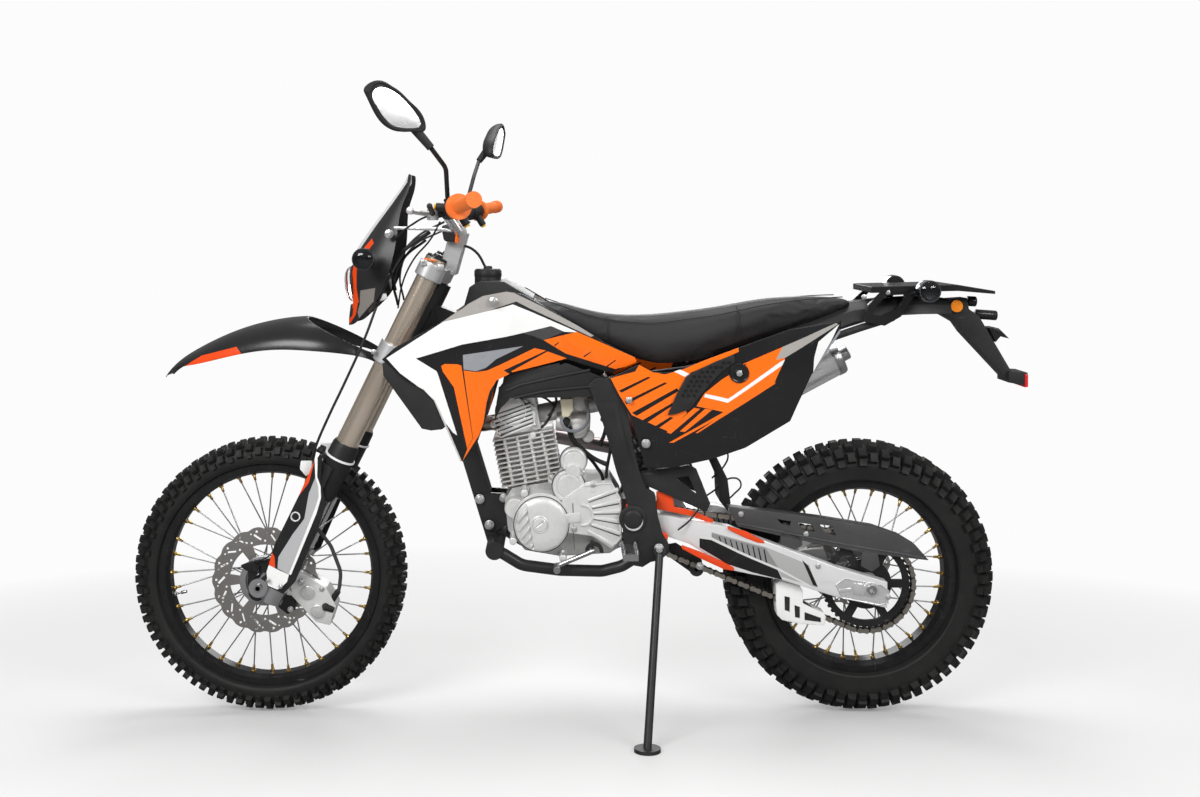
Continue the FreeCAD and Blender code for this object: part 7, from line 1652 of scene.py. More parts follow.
@dataclass
class ForkDress(Assembly):
    """Dust boots, clips and pinch screws on the fork."""

    wardrobe: Wardrobe

    def build(self) -> list[bpy.types.Object]:
        """Make the fork's small pieces on both legs."""
        up = (fork_spot(1.0) - fork_spot(0.0)).normalized()
        profile = [(0.0, 0.0238), (0.0, 0.03), (0.008, 0.0335), (0.1, 0.0345), (0.106, 0.0365), (0.112, 0.0345),
                   (0.138, 0.034), (0.146, 0.0305), (0.146, 0.0238)]
        boot = Bench.lathe("boot", profile, fork_spot(0.262), up, 48)
        clip = Bench.lathe("clip", [(0.0, 0.033), (0.0, 0.0378), (0.005, 0.0378), (0.005, 0.033)],
                           fork_spot(0.366), up, 48)
        tag = Bench.slab("tag", [(301, 461), (312, 461), (312, 473), (306, 476), (300, 469)], 0.11, 0.104, 0.113, 0.001)
        rings = [Bench.lathe("clamp_ring", [(0.0, 0.0286), (-0.001, 0.034), (0.001, 0.0358), (high - 0.001, 0.0358),
                                            (high + 0.001, 0.034), (high, 0.0286)], fork_spot(foot), up, 48)
                 for foot, high in ((0.6255, 0.051), (0.8595, 0.037))]
        top = Bench.lathe("fork_cap", [(-0.001, 0.0), (-0.001, 0.0265), (0.004, 0.026), (0.006, 0.021), (0.006, 0.012),
                                       (0.011, 0.0115), (0.012, 0.0)], fork_spot(0.912), up, 24)
        ears = [Bench.slab("ear", [(px - 3, py - 3), (px + 3, py - 3), (px + 3, py + 3), (px - 3, py + 3)],
                           0.138, 0.128, 0.138, 0.001)
                for px, py in ((423.5, 262.5), (440.5, 267.5))]
        return self.finish_all(Body.STEERING, (
            (Bench.pair("fork_boots", [boot]), "hose_rubber", Slot.RUBBER),
            (Bench.pair("fork_clips", [clip, tag]), "white_plastic", Slot.WHITE),
            (Bench.pair("clamp_ears", [*ears, *rings]), "clamp_silver", Slot.ALLOY),
            (Bench.pair("fork_caps", [top]), "black_gloss", Slot.BLACK)))


@dataclass
class Mask(Assembly):
    """The headlight mask with its visor, the lamp's reflector and its lens."""

    wardrobe: Wardrobe

    def build(self) -> list[bpy.types.Object]:
        """Make the mask and the lamp."""
        rows = []
        table = ((174.5, 408.6, 410.5, 42), (182, 405.0, 410.0, 47), (192, 398.0, 407.5, 53), (203, 389.7, 402.0, 61),
                 (214, 381.5, 399.0, 70), (225, 373.4, 397.5, 80), (237, 364.8, 396.0, 90), (248, 357.4, 394.0, 99),
                 (262, 350.6, 391.0, 105), (274, 349.0, 388.0, 106), (288, 349.8, 383.0, 104), (300, 351.5, 377.0, 95),
                 (310, 350.2, 368.0, 84), (318, 349.2, 360.0, 72), (324, 349.6, 354.0, 62))
        for py, front, rear, half in table:
            row = []
            for index in range(17):
                side = -1.0 + index / 8
                spot = VIEW.seen(front, py, 0.0)
                back = VIEW.seen(rear, py, half * 0.001)
                share = abs(side) ** 2.4
                across = half * 0.001 * (abs(side) * (1.0 - 0.22 * abs(side) ** 3) / 0.78)
                row.append((spot.x + (back.x - spot.x) * share + 0.002, math.copysign(across, side), spot.z
                            + (back.z - spot.z) * share))
            rows.append(row)
        mask = Bench.sheet("headlight_mask", rows, -0.003)
        opening = Bench.slab("opening", [(336, 263), (372, 258), (384, 300), (336, 306)], 0.0, -0.056, 0.056, 0.0)
        Bench.cut(mask, [opening])
        centre = VIEW.seen(356.0, 283.5, 0.0)
        tilt = Matrix.Rotation(math.radians(-6), 4, "Y")
        bowl, lens = [], []
        for index in range(9):
            share = index / 8
            turn = [2 * math.pi * step / 40 for step in range(40)]
            ring = [(abs(math.cos(a)) ** 0.75 * math.copysign(0.061, math.cos(a)),
                     abs(math.sin(a)) ** 0.75 * math.copysign(0.047, math.sin(a))) for a in turn]
            size = math.cos(share * math.pi / 2) ** 0.7 if share < 1 else 0.02
            bowl.append([centre + tilt @ Vector((0.002 + 0.05 * share, y * size, z * size)) for y, z in ring])
            lens.append([centre + tilt @ Vector((-0.003 - 0.021 * math.sin(share * math.pi / 2), y * size * 0.99,
                                                 z * size * 0.99)) for y, z in ring])
        reflector = Bench.sheet("lamp_reflector", bowl, 0.0, 1, True)
        glass = Bench.sheet("lamp_lens", lens, -0.0025, 1, True)
        bulb = Bench.shaft("bulb", centre + Vector((0.048, 0, 0)), centre + Vector((0.012, 0, 0)), 0.0075, 20, 0.002)
        rim = Bench.join("lamp_rim", [Bench.hose("rim", bowl[0] + bowl[0][:1], 0.0032, 8, False)])
        back = Bench.shaft("lamp_can", centre + Vector((0.05, 0, 0)), centre + Vector((0.088, 0, 0.004)), 0.032, 32,
                           0.004, 0.024)
        return self.finish_all(Body.STEERING, (
            (mask, "mask_paint", Slot.BLACK, 50.0, ("headlight_mask",)),
            (Bench.join("lamp_reflector", [reflector, bulb]), "bright_alloy", Slot.ALLOY, 60.0, ("headlamp",)),
            (Bench.join("lamp_housing", [rim, back]), "black_satin", Slot.BLACK),
            (glass, "clear_lens", None, 60.0)))


@dataclass
class MirrorGlass(Assembly):
    """The silvered glass of both mirrors with a raised edge."""

    wardrobe: Wardrobe
    outline: tuple[Flat, ...] = ((0.53, 0.21), (0.43, 0.02), (0.2, -0.29), (0.02, -0.37), (-0.26, -0.37),
                                 (-0.46, -0.34), (-0.46, -0.2), (-0.16, 0.13), (0.09, 0.31), (0.38, 0.38))
    length: float = 0.14

    def build(self) -> list[bpy.types.Object]:
        """Make both panes and their edges."""
        panes, edges = [], []
        for way, centre_px, turn in ((1, (398, 107), 32.0), (-1, (498, 141), 77.0)):
            centre = VIEW.seen(*centre_px, 0.4 * way)
            outward = Vector((math.cos(math.radians(turn)), math.sin(math.radians(turn)), 0.0)) * -way
            back = Vector((-math.sin(math.radians(turn)), math.cos(math.radians(turn)), 0.0))
            middle = (sum(a for a, _ in self.outline) / 10, sum(b for _, b in self.outline) / 10)
            rows = []
            for size, lift in ((0.86, -0.0006), (0.6, -0.0009), (0.3, -0.0011), (0.01, -0.0012)):
                rows.append([centre + outward * (middle[0] + (a - middle[0]) * size) * self.length
                             + Vector((0, 0, (middle[1] + (b - middle[1]) * size) * self.length)) + back * lift
                             for a, b in self.outline])
            panes.append(Bench.sheet("pane", rows, 0.0, 2, True))
            ring = [centre + outward * (middle[0] + (a - middle[0]) * 0.93) * self.length
                    + Vector((0, 0, (middle[1] + (b - middle[1]) * 0.93) * self.length)) for a, b in self.outline]
            edges.append(Bench.hose("edge", ring + ring[:1], 0.0035, 8))
        return self.finish_all(Body.STEERING, (
            (Bench.join("mirror_glass", panes), "mirror_silver", Slot.STEEL),
            (Bench.join("mirror_edges", edges), "black_satin", Slot.BLACK)))


@dataclass
class Controls(Assembly):
    """Levers, master cylinders, switches, buttons and the bar pad."""

    wardrobe: Wardrobe

    def build(self) -> list[bpy.types.Object]:
        """Make the handlebar's small parts."""
        root, middle, tip = (Vector(spot) for spot in ((-0.308, -0.236, 1.2567), (-0.331, -0.275, 1.2595),
                                                       (-0.346, -0.338, 1.2635)))
        away = (tip - middle).normalized() * 0.008
        levers = [Bench.hose("lever", [root, middle, tip], 0.0062, 12),
                  Bench.shaft("ball", tip - away, tip + away, 0.0088, 20, 0.004),
                  Bench.shaft("knuckle", root + Vector((0.0, 0.0, -0.014)), root + Vector((0.0, 0.0, 0.014)), 0.0135,
                              20, 0.002),
                  Bench.hose("stay", [VIEW.seen(459.0, 231.5, 0.07), VIEW.seen(430.0, 229.0, 0.078),
                                      VIEW.seen(394.0, 228.0, 0.08)], 0.0045, 12)]
        pods, yellow = [], []
        for foot, face in (((-0.262, -0.262, 1.2705), (-0.298, -0.262, 1.2738)),
                           ((-0.242, -0.262, 1.256), (-0.2265, -0.262, 1.231))):
            out = (Vector(face) - Vector(foot)).normalized()
            pods.append(Bench.shaft("pod", foot, face, 0.0095, 20, 0.002))
            yellow.append(Bench.shaft("button", Vector(face) - out * 0.001, Vector(face) + out * 0.0045, 0.0068, 16,
                                      0.001))
        bar = VIEW.seen(462.0, 211.0, -0.2)
        tank = Bench.shaft("reservoir", bar + Vector((-0.028, 0.0, -0.004)), bar + Vector((-0.028, 0.0, 0.026)), 0.021,
                           32, 0.002)
        cap = Bench.shaft("reservoir_cap", bar + Vector((-0.028, 0.0, 0.026)), bar + Vector((-0.028, 0.0, 0.033)),
                          0.0225, 32, 0.0015)
        pad = Bench.slab("bar_pad", [(444, 226), (458, 222), (463, 229), (459, 242), (447, 241)], 0.0, -0.075, 0.075,
                         0.006)
        band = Bench.slab("pad_band", [(459.4, 223), (461, 224), (460.4, 242.4), (457.6, 242.4)], 0.0, -0.0765, 0.0765,
                          0.0006)
        return self.finish_all(Body.STEERING, (
            (Bench.pair("levers", levers), "bright_alloy", Slot.ALLOY),
            (Bench.pair("switch_pods", pods), "black_satin", Slot.BLACK),
            (Bench.join("bar_pad", [pad, tank]), "black_satin", Slot.BLACK),
            (cap, "black_gloss", Slot.BLACK),
            (Bench.pair("buttons", yellow), "yellow_button", Slot.ORANGE),
            (band, "orange_gloss", Slot.ORANGE)))


# Cables on the steering: name, radius in millimetres and points as pixel column, row and distance to the left
Route = tuple[str, float, tuple[Point, ...]]
STEERING_ROUTES: tuple[Route, ...] = (
    ("brake_line", 3.2, ((444, 222, -0.18), (418, 236, -0.12), (398, 262, -0.02), (382, 293, 0.06), (364, 340, 0.09),
                         (346, 380, 0.096), (327, 420, 0.1), (316, 446, 0.104), (309, 470, 0.104))),
    ("clutch_cable", 2.6, ((436, 213, 0.2), (416, 222, 0.14), (396, 240, 0.09), (390, 262, 0.06), (396, 290, 0.04))),
    ("throttle_cable", 2.6, ((470, 222, -0.24), (440, 232, -0.18), (410, 250, -0.1), (400, 276, -0.05),
                             (404, 300, -0.03))),
    ("loom", 5.0, ((430, 232, 0.06), (412, 244, 0.07), (398, 256, 0.06), (386, 272, 0.04), (372, 284, 0.02))),
    ("loom_branch", 3.5, ((426, 240, -0.05), (404, 258, -0.05), (394, 280, -0.04), (398, 305, -0.02))),
    ("switch_wire", 2.2, ((440, 222, 0.24), (430, 240, 0.17), (412, 262, 0.1), (402, 285, 0.06), (398, 308, 0.03))),
)


@dataclass
class Cables(Assembly):
    """Hoses, cables and wires of one body."""

    wardrobe: Wardrobe
    body: Body
    routes: tuple[Route, ...]
    finish_name: str = "hose_rubber"

    def build(self) -> list[bpy.types.Object]:
        """Lay every cable and join them."""
        pieces = [Bench.hose(name, [VIEW.seen(*point) for point in points], radius * 0.001, 10)
                  for name, radius, points in self.routes]
        return [self.finish(Bench.join(self.body.value + "_cables", pieces), self.body, self.finish_name, Slot.RUBBER)]


def button(name: str, px: float, py: float, left: float, profile: Sequence[Flat], steps: int = 48) -> bpy.types.Object:
    """Turn a round cover on the bike's left side.

    Args:
        name: The piece's name.
        px: Pixel column of its centre.
        py: Pixel row of its centre.
        left: Distance of its foot to the left of the bike's middle, in metres.
        profile: Its outer corners as height over the foot and radius, in millimetres.
        steps: How many steps the turn takes.

    Returns:
        The piece.
    """
    corners = [(high * 0.001, radius * 0.001) for high, radius in profile]
    return Bench.lathe(name, [(0.0, 0.0), *corners], VIEW.seen(px, py, left), OUTWARD, steps)


def bar(name: str, start: Flat, end: Flat, left: float, high: float, width: float,
        tip: float | None = None) -> bpy.types.Object:
    """Lay a raised bar or rib on the bike's left side.

    Args:
        name: The piece's name.
        start: Pixel of its first end.
        end: Pixel of its other end.
        left: Distance of its foot to the left of the bike's middle.
        high: How far it stands out from there.
        width: Its width at the first end, in pixels.
        tip: Its width at the other end, or None for the same.

    Returns:
        The piece.
    """
    along = Vector((end[0] - start[0], end[1] - start[1])).normalized()
    half, other = width / 2, (width if tip is None else tip) / 2
    outline = [(start[0] - along.y * half, start[1] + along.x * half),
               (end[0] - along.y * other, end[1] + along.x * other),
               (end[0] + along.y * other, end[1] - along.x * other),
               (start[0] + along.y * half, start[1] - along.x * half)]
    return Bench.plate(name, VIEW.flat(outline, left), left - 0.001, left + high, high * 0.4)


@dataclass
class Engine(Assembly):
    """Covers, ribs, posts and small castings on the left of the engine."""

    wardrobe: Wardrobe
    cover: float = 0.118
    starter: float = 0.106
    barrel: float = 0.074

    def build(self) -> list[bpy.types.Object]:
        """Make the engine's castings, its dark parts and its painted shade."""
        castings = [*self.ignition_cover(), *self.starter_covers(), *self.chain_cover(), *self.cam_cover()]
        return [*self.finish_all(Body.CHASSIS, (
            (Bench.join("engine_castings", castings), "engine_silver", Slot.SILVER),
            (Bench.join("fin_posts", self.fin_posts()), "cylinder_silver", Slot.SILVER),
            (Bench.join("engine_dark_parts_and_painted_shade", self.dark_parts_and_painted_shade()), "black_satin", Slot.BLACK))), *self.intake()]

    def ignition_cover(self) -> list[bpy.types.Object]:
        """Make the low dome with its slotted boss and slanted louvres."""
        dome = button("dome", 541.4, 524.3, self.cover,
                      ((0.0, 67.0), (3.0, 66.0), (7.0, 60.0), (9.5, 48.0), (10.5, 30.0), (10.8, 0.0)), 72)
        boss = button("boss", 540.0, 524.5, self.cover + 0.008,
                      ((0.0, 21.0), (3.8, 20.4), (4.8, 19.0), (3.4, 18.4), (3.4, 17.0), (5.4, 16.0), (6.0, 0.0)))
        slot = bar("slot", (536.5, 527.0), (543.5, 521.5), self.cover + 0.0125, 0.006, 1.5)
        Bench.cut(boss, [slot])
        window = Bench.slab("window", [(521.5, 501.5), (526.0, 499.5), (534.6, 548.5), (530.0, 549.5),
                                       (518.5, 539.0), (515.2, 524.0)], self.cover, self.cover + 0.0035,
                            self.cover + 0.03, 0.0)
        Bench.cut(dome, [window])
        louvres = []
        centre = Vector((541.4, 524.3))
        for index in range(6):
            start = Vector((525.5 + 1.45 * index, 501.5 + 8.4 * index))
            end = start.copy()
            while (end - centre).length < 25.5 and (end - start).length < 16.0:
                end += Vector((-0.62, 0.78)) * 0.5
            louvres.append(bar("louvre", tuple(start), tuple(end), self.cover + 0.002, 0.0075, 2.6, 1.8))
        return [dome, boss, *louvres, button("front_boss", 515.7, 504.3, 0.064,
                                             ((0.0, 27.0), (38.0, 26.0), (42.0, 24.0), (43.0, 0.0)))]

    def starter_covers(self) -> list[bpy.types.Object]:
        """Make the starter gear's cover with its ears and the starter motor's nose."""
        gear = button("gear_cover", 568.6, 485.7, self.starter - 0.002,
                      ((0.0, 40.0), (6.0, 39.5), (8.5, 37.5), (9.0, 31.0), (7.6, 30.0), (7.6, 28.8), (10.0, 27.5),
                       (11.5, 0.0)))
        motor = button("motor", 573.6, 460.0, self.starter - 0.014,
                       ((0.0, 33.0), (12.0, 32.5), (15.0, 30.0), (15.5, 26.0), (13.0, 25.0), (13.0, 0.0)))
        nose = button("nose", 573.0, 469.5, self.starter - 0.014,
                      ((0.0, 21.0), (19.0, 20.0), (22.0, 17.0), (22.5, 0.0)))
        ears = [button("ear", px, py, self.starter - 0.016, ((0.0, 9.5), (15.0, 9.0), (16.5, 7.5), (16.5, 0.0)), 24)
                for px, py in ((551.5, 478.0), (582.0, 474.0), (574.5, 501.0))]
        feet = [button("foot", px, py, 0.064, ((0.0, 10.0), (53.5, 9.0), (54.5, 7.5), (54.5, 0.0)), 24)
                for px, py in ((593.0, 484.5), (563.0, 552.0), (525.0, 488.0), (514.0, 535.0))]
        return [gear, motor, nose, *ears, *feet]

    def chain_cover(self) -> list[bpy.types.Object]:
        """Make the front chain wheel's cover: hub arc, fanned ribs, raised edge and patch."""
        left = self.cover
        ribs = [bar("rib", start, end, left, 0.0055, 2.2, 4.2) for start, end in (
            ((588.0, 500.5), (618.5, 488.8)), ((591.5, 507.0), (620.5, 500.5)), ((593.0, 512.5), (621.0, 511.0)),
            ((593.0, 517.5), (621.0, 521.5)), ((591.0, 524.0), (621.0, 533.5)), ((588.0, 530.5), (614.0, 545.5)))]
        edge = Bench.hose("edge", [VIEW.seen(px, py, left) for px, py in (
            (584.5, 485.5), (598.0, 484.0), (611.5, 483.2), (620.0, 498.0), (621.0, 537.0), (612.0, 547.5))], 0.003, 10,
                          False)
        hub = Bench.plate("hub", sector(tuple(VIEW.flat([(582.9, 515.0)], left)[0]), 0.0215, 0.0275, -100.0, 100.0, 24),
                          left - 0.001, left + 0.0045, 0.0015)
        patch = Bench.slab("patch", [(564.0, 514.0), (580.0, 512.5), (581.0, 522.0), (565.0, 523.5)], left,
                           left - 0.001, left + 0.003, 0.001)
        return [*ribs, edge, hub, patch]

    def cam_cover(self) -> list[bpy.types.Object]:
        """Make the cam cover with its slanted ribs and lugs."""
        left = self.barrel + 0.0005
        disc = button("cam_disc", 511.4, 411.4, left, ((0.0, 39.5), (2.2, 39.0), (3.0, 37.5), (3.0, 0.0)))
        ring = button("cam_ring", 511.4, 411.4, left + 0.0028,
                      ((0.0, 36.5), (1.4, 36.0), (1.8, 34.6), (-0.6, 34.2), (-0.6, 0.0)))
        lower = Bench.slab("cam_lower", [(495.5, 419.0), (530.5, 406.0), (534.0, 424.0), (506.0, 436.0)], left,
                           0.062, left + 0.0028, 0.001)
        ribs = [bar("cam_rib", (494.0 + 1.7 * index, 421.8 + 3.9 * index), (531.2 + 0.6 * index, 408.4 + 4.0 * index),
                    left + 0.0022, 0.0026, 1.7) for index in range(-1, 5)]
        lugs = [button("lug", px, py, 0.0615, ((0.0, 8.5), (12.5, 8.0), (14.0, 6.5), (14.0, 0.0)), 24)
                for px, py in ((535.0, 425.0), (532.5, 408.5), (493.5, 424.0), (533.0, 434.5))]
        return [disc, ring, lower, *ribs, *lugs]

    def fin_posts(self) -> list[bpy.types.Object]:
        """Make the columns of posts between the cylinder's fins."""
        up = Vector((-math.sin(math.radians(11.0)), 0.0, math.cos(math.radians(11.0))))
        foot = VIEW.seen(532.0, 484.0, self.barrel)
        ahead = Vector((-up.z, 0.0, up.x))
        posts = []
        for share in (-0.62, -0.22, 0.2, 0.62):
            base = foot + ahead * (0.076 * share)
            posts.append(Bench.shaft("post", base + up * 0.006 + Vector((0, 0.006, 0)),
                                     base + up * 0.122 + Vector((0, 0.006, 0)), 0.0045, 10, 0.0))
            for index in range(11):
                spot = base + up * (0.128 / 11 * (index + 0.5))
                posts.append(Bench.shaft("nub", spot + Vector((0, 0.004, 0)), spot - Vector((0, 0.0022, 0)), 0.0034, 8,
                                         0.0, 0.0024))
        return posts

    def dark_parts_and_painted_shade(self) -> list[bpy.types.Object]:
        """Make the dark arc behind the gear lever, the slots of the covers, the pivot's cap, and the dark rings and
        lines of painted shade round the covers and beside the ribs.
        """
        lever = Bench.plate("lever_gap", sector(tuple(VIEW.flat([(594.3, 551.4)], self.cover)[0]), 0.013, 0.0225, -10.0,
                                                190.0, 18), self.cover - 0.004, self.cover + 0.0012, 0.0)
        seam = bar("seam", (572.8, 503.0), (573.2, 513.0), self.cover - 0.0015, 0.0022, 0.9)
        lower_seam = bar("seam", (573.0, 524.0), (574.5, 550.0), self.cover - 0.0015, 0.0022, 0.5)
        cap = button("pivot_cap", 633.0, 519.0, 0.1335, ((0.0, 23.5), (3.0, 23.2), (6.0, 20.5), (7.5, 14.0),
                                                         (8.0, 0.0)))
        ring = button("pivot_ring", 633.0, 519.0, 0.1285, ((0.0, 34.0), (3.0, 33.0), (4.5, 30.0), (4.5, 0.0)))
        # Dark rings round the dome, the gear cover, the motor, the cam disc and the nose: each is partly the joint
        # round a cover and partly painted shadow that the cover casts on its neighbours.
        rings = []
        for px, py, left, radius in ((541.4, 524.3, self.cover, 67.6), (568.6, 485.7, self.starter, 40.6),
                                     (573.6, 460.0, self.starter - 0.006, 33.6),
                                     (511.4, 411.4, self.barrel + 0.0012, 40.0),
                                     (573.0, 469.5, self.starter - 0.004, 21.6)):
            centre = VIEW.seen(px, py, left)
            turns = [2 * math.pi * step / 48 for step in range(49)]
            rings.append(Bench.hose("gap", [centre + Vector((math.cos(a), 0.0, math.sin(a))) * radius * 0.001
                                            for a in turns], 0.0012, 6))
        # Dark lines of painted shade: in the grooves between the cam cover's ribs and along the lower sides of the
        # chain cover's ribs.
        lines = [bar("line", (494.8 + 1.7 * index, 423.8 + 3.9 * index), (531.5 + 0.6 * index, 410.4 + 4.0 * index),
                     self.barrel + 0.0026, 0.0014, 1.1) for index in range(-2, 4)]
        lines += [bar("line", start, end, self.cover - 0.0004, 0.0014, 0.6, 1.1) for start, end in (
            ((588.5, 502.6), (618.5, 491.6)), ((592.0, 508.9), (620.5, 503.4)), ((593.3, 514.3), (621.0, 513.8)),
            ((593.0, 519.3), (621.0, 524.2)), ((590.6, 525.8), (620.0, 536.2)))]
        return [lever, seam, lower_seam, cap, ring, *rings, *lines]

    def intake(self) -> list[bpy.types.Object]:
        """Make the carburettor's body, sensor block, plug and breather loop."""
        body = [Bench.shaft("bowl", VIEW.seen(578.0, 428.0, 0.0), VIEW.seen(578.0, 428.0, 0.046), 0.026, 32, 0.004),
                Bench.shaft("drain", VIEW.seen(588.0, 436.0, 0.0), VIEW.seen(588.0, 436.0, 0.04), 0.016, 24, 0.003),
                Bench.shaft("diaphragm", VIEW.seen(580.0, 402.0, 0.0), VIEW.seen(580.0, 402.0, 0.044), 0.022, 32,
                            0.004),
                Bench.shaft("throat", VIEW.seen(556.0, 421.0, 0.02), VIEW.seen(590.0, 423.0, 0.02), 0.024, 32, 0.003)]
        block = Bench.slab("block", [(560.0, 399.0), (573.0, 398.5), (573.5, 410.0), (569.0, 417.0),
                                     (562.0, 417.0)], 0.06, 0.03, 0.062, 0.003)
        loop = Bench.hose("loop", [VIEW.seen(*spot) for spot in (
            (561.0, 417.0, 0.055), (564.0, 427.0, 0.062), (575.0, 431.0, 0.066), (586.0, 424.0, 0.064),
            (588.0, 411.0, 0.058), (585.0, 400.0, 0.048))], 0.0042, 10)
        cap = button("plug", 566.5, 421.0, 0.048, ((0.0, 9.5), (12.0, 9.0), (15.0, 7.0), (15.5, 0.0)), 24)
        return self.finish_all(Body.CHASSIS, (
            (Bench.join("carburettor_body", body), "cylinder_silver", Slot.SILVER),
            (block, "cream_plastic", Slot.WHITE),
            (loop, "grey_hose", Slot.RUBBER),
            (cap, "hose_rubber", Slot.RUBBER)))


CHASSIS_ROUTES: tuple[Route, ...] = (
    ("loom", 4.5, ((570, 426, 0.05), (573, 438, 0.052), (584, 450, 0.056), (596, 459, 0.06), (608, 464, 0.07))),
    ("loom_side", 3.0, ((566, 424, 0.055), (572, 441, 0.06), (588, 456, 0.064), (607, 466, 0.07))),
    ("airbox_drain", 8.0, ((604, 392, 0.02), (612, 418, 0.03), (618, 444, 0.035), (626, 474, 0.04))),
    ("main_loom", 6.5, ((590, 386, 0.0), (598, 404, 0.004), (609, 432, 0.006), (618, 468, 0.01), (628, 496, 0.02))),
    ("coil_wire", 3.4, ((548, 390, 0.03), (556, 398, 0.042), (552, 412, 0.05), (545, 424, 0.05), (538, 430, 0.056))),
    ("pump_hose", 4.4, ((584, 452, 0.05), (596, 466, 0.056), (603, 480, 0.06), (600, 490, 0.07))),
    ("spar_wire", 4.0, ((612, 440, 0.104), (610, 452, 0.1), (607, 468, 0.094), (606, 478, 0.09))),
    ("vent_hose", 3.4, ((486, 268, 0.0), (476, 252, 0.004), (465, 246, 0.008), (455, 246, 0.01), (447, 251, 0.01),
                        (443, 262, 0.004), (446, 274, 0.0))),
    ("breather", 5.0, ((596, 392, 0.03), (604, 408, 0.04), (606, 426, 0.05), (600, 446, 0.05))),
    ("clutch_line", 3.0, ((540, 396, 0.04), (548, 400, 0.05), (554, 408, 0.06), (548, 416, 0.066))),
    ("stand_wire", 2.2, ((690, 470, 0.09), (700, 480, 0.1), (702, 500, 0.1), (690, 520, 0.11), (678, 530, 0.12))),
)


def chain_stations(pitch: float = CHAIN_PITCH) -> list[tuple[Vector, float]]:
    """Return the middle and slope of each link along the chain's loop, in X and Z of the upright bike."""
    front, rear = Vector(SMALL_WHEEL_SPOT), Vector((REAR_AXLE[0], REAR_AXLE[2]))
    small, large = (pitch / (2 * math.sin(math.pi / teeth)) for teeth in (SMALL_WHEEL_TEETH, LARGE_WHEEL_TEETH))
    gap = rear - front
    base, lean = math.atan2(gap.y, gap.x), math.acos((small - large) / gap.length)
    points: list[Vector] = []
    for centre, radius, start, end in ((rear, large, base + lean, base - lean),
                                       (front, small, base - lean, base + lean - 2 * math.pi)):
        steps = 160
        points += [centre + radius * Vector((math.cos(a), math.sin(a)))
                   for a in (start + (end - start) * index / steps for index in range(steps + 1))]
    points.append(points[0])
    lengths = [(b - a).length for a, b in zip(points, points[1:])]
    count = round(sum(lengths) / pitch / 2) * 2
    step = sum(lengths) / count
    stations, reach, index = [], 0.0, 0
    for link in range(count):
        while reach + lengths[index] < (link + 0.5) * step:
            reach += lengths[index]
            index += 1
        a, b = points[index], points[index + 1]
        spot = a + (b - a) * (((link + 0.5) * step - reach) / lengths[index])
        stations.append((spot, math.atan2((b - a).y, (b - a).x)))
    return stations


@dataclass
class Chain(Assembly):
    """The drive chain's inner and outer plates and its rollers."""

    wardrobe: Wardrobe
    side: float = 0.0795
    pitch: float = CHAIN_PITCH

    def link(self, half: float, tall: float) -> bpy.types.Object:
        """Make a pair of waisted plates, a given half width apart and half height tall."""
        outline = []
        for end in (1, -1):
            for index in range(5):
                angle = math.radians(-72.0 + 36.0 * index) * end
                outline.append((end * (self.pitch / 2 + tall * math.cos(angle)), tall * math.sin(angle)))
            outline.append((0.0, end * tall * 0.66))
        parts = [Bench.plate("plate", outline, at - 0.0009, at + 0.0009, 0.0) for at in (half, -half)]
        return Bench.join("link", parts)

    def build(self) -> list[bpy.types.Object]:
        """Set the links round the loop."""
        inner, outer = [], []
        for index, (spot, slope) in enumerate(chain_stations(self.pitch)):
            move = Matrix.Translation((spot.x, -self.side, spot.y)) @ Matrix.Rotation(-slope, 4, "Y")
            (inner if index % 2 else outer).append(move)
        roller = Bench.shaft("roller", (self.pitch / 2, -0.0052, 0.0), (self.pitch / 2, 0.0052, 0.0), 0.005, 10)
        pin = Bench.shaft("pin", (self.pitch / 2, -0.0084, 0.0), (self.pitch / 2, 0.0084, 0.0), 0.0026, 8)
        dark = Bench.join("chain_inner_links", [Bench.repeat("rollers", roller, inner + outer),
                                                Bench.repeat("inner", self.link(0.0053, 0.0066), inner)])
        light = Bench.join("chain_links", [Bench.repeat("pins", pin, inner + outer),
                                           Bench.repeat("outer", self.link(0.0073, 0.0068), outer)])
        return self.finish_all(Body.CHASSIS, (
            (light, "chain_steel", Slot.CHAIN, 30.0, ("chain",)),
            (dark, "chain_dark", Slot.CHAIN, 30.0)))


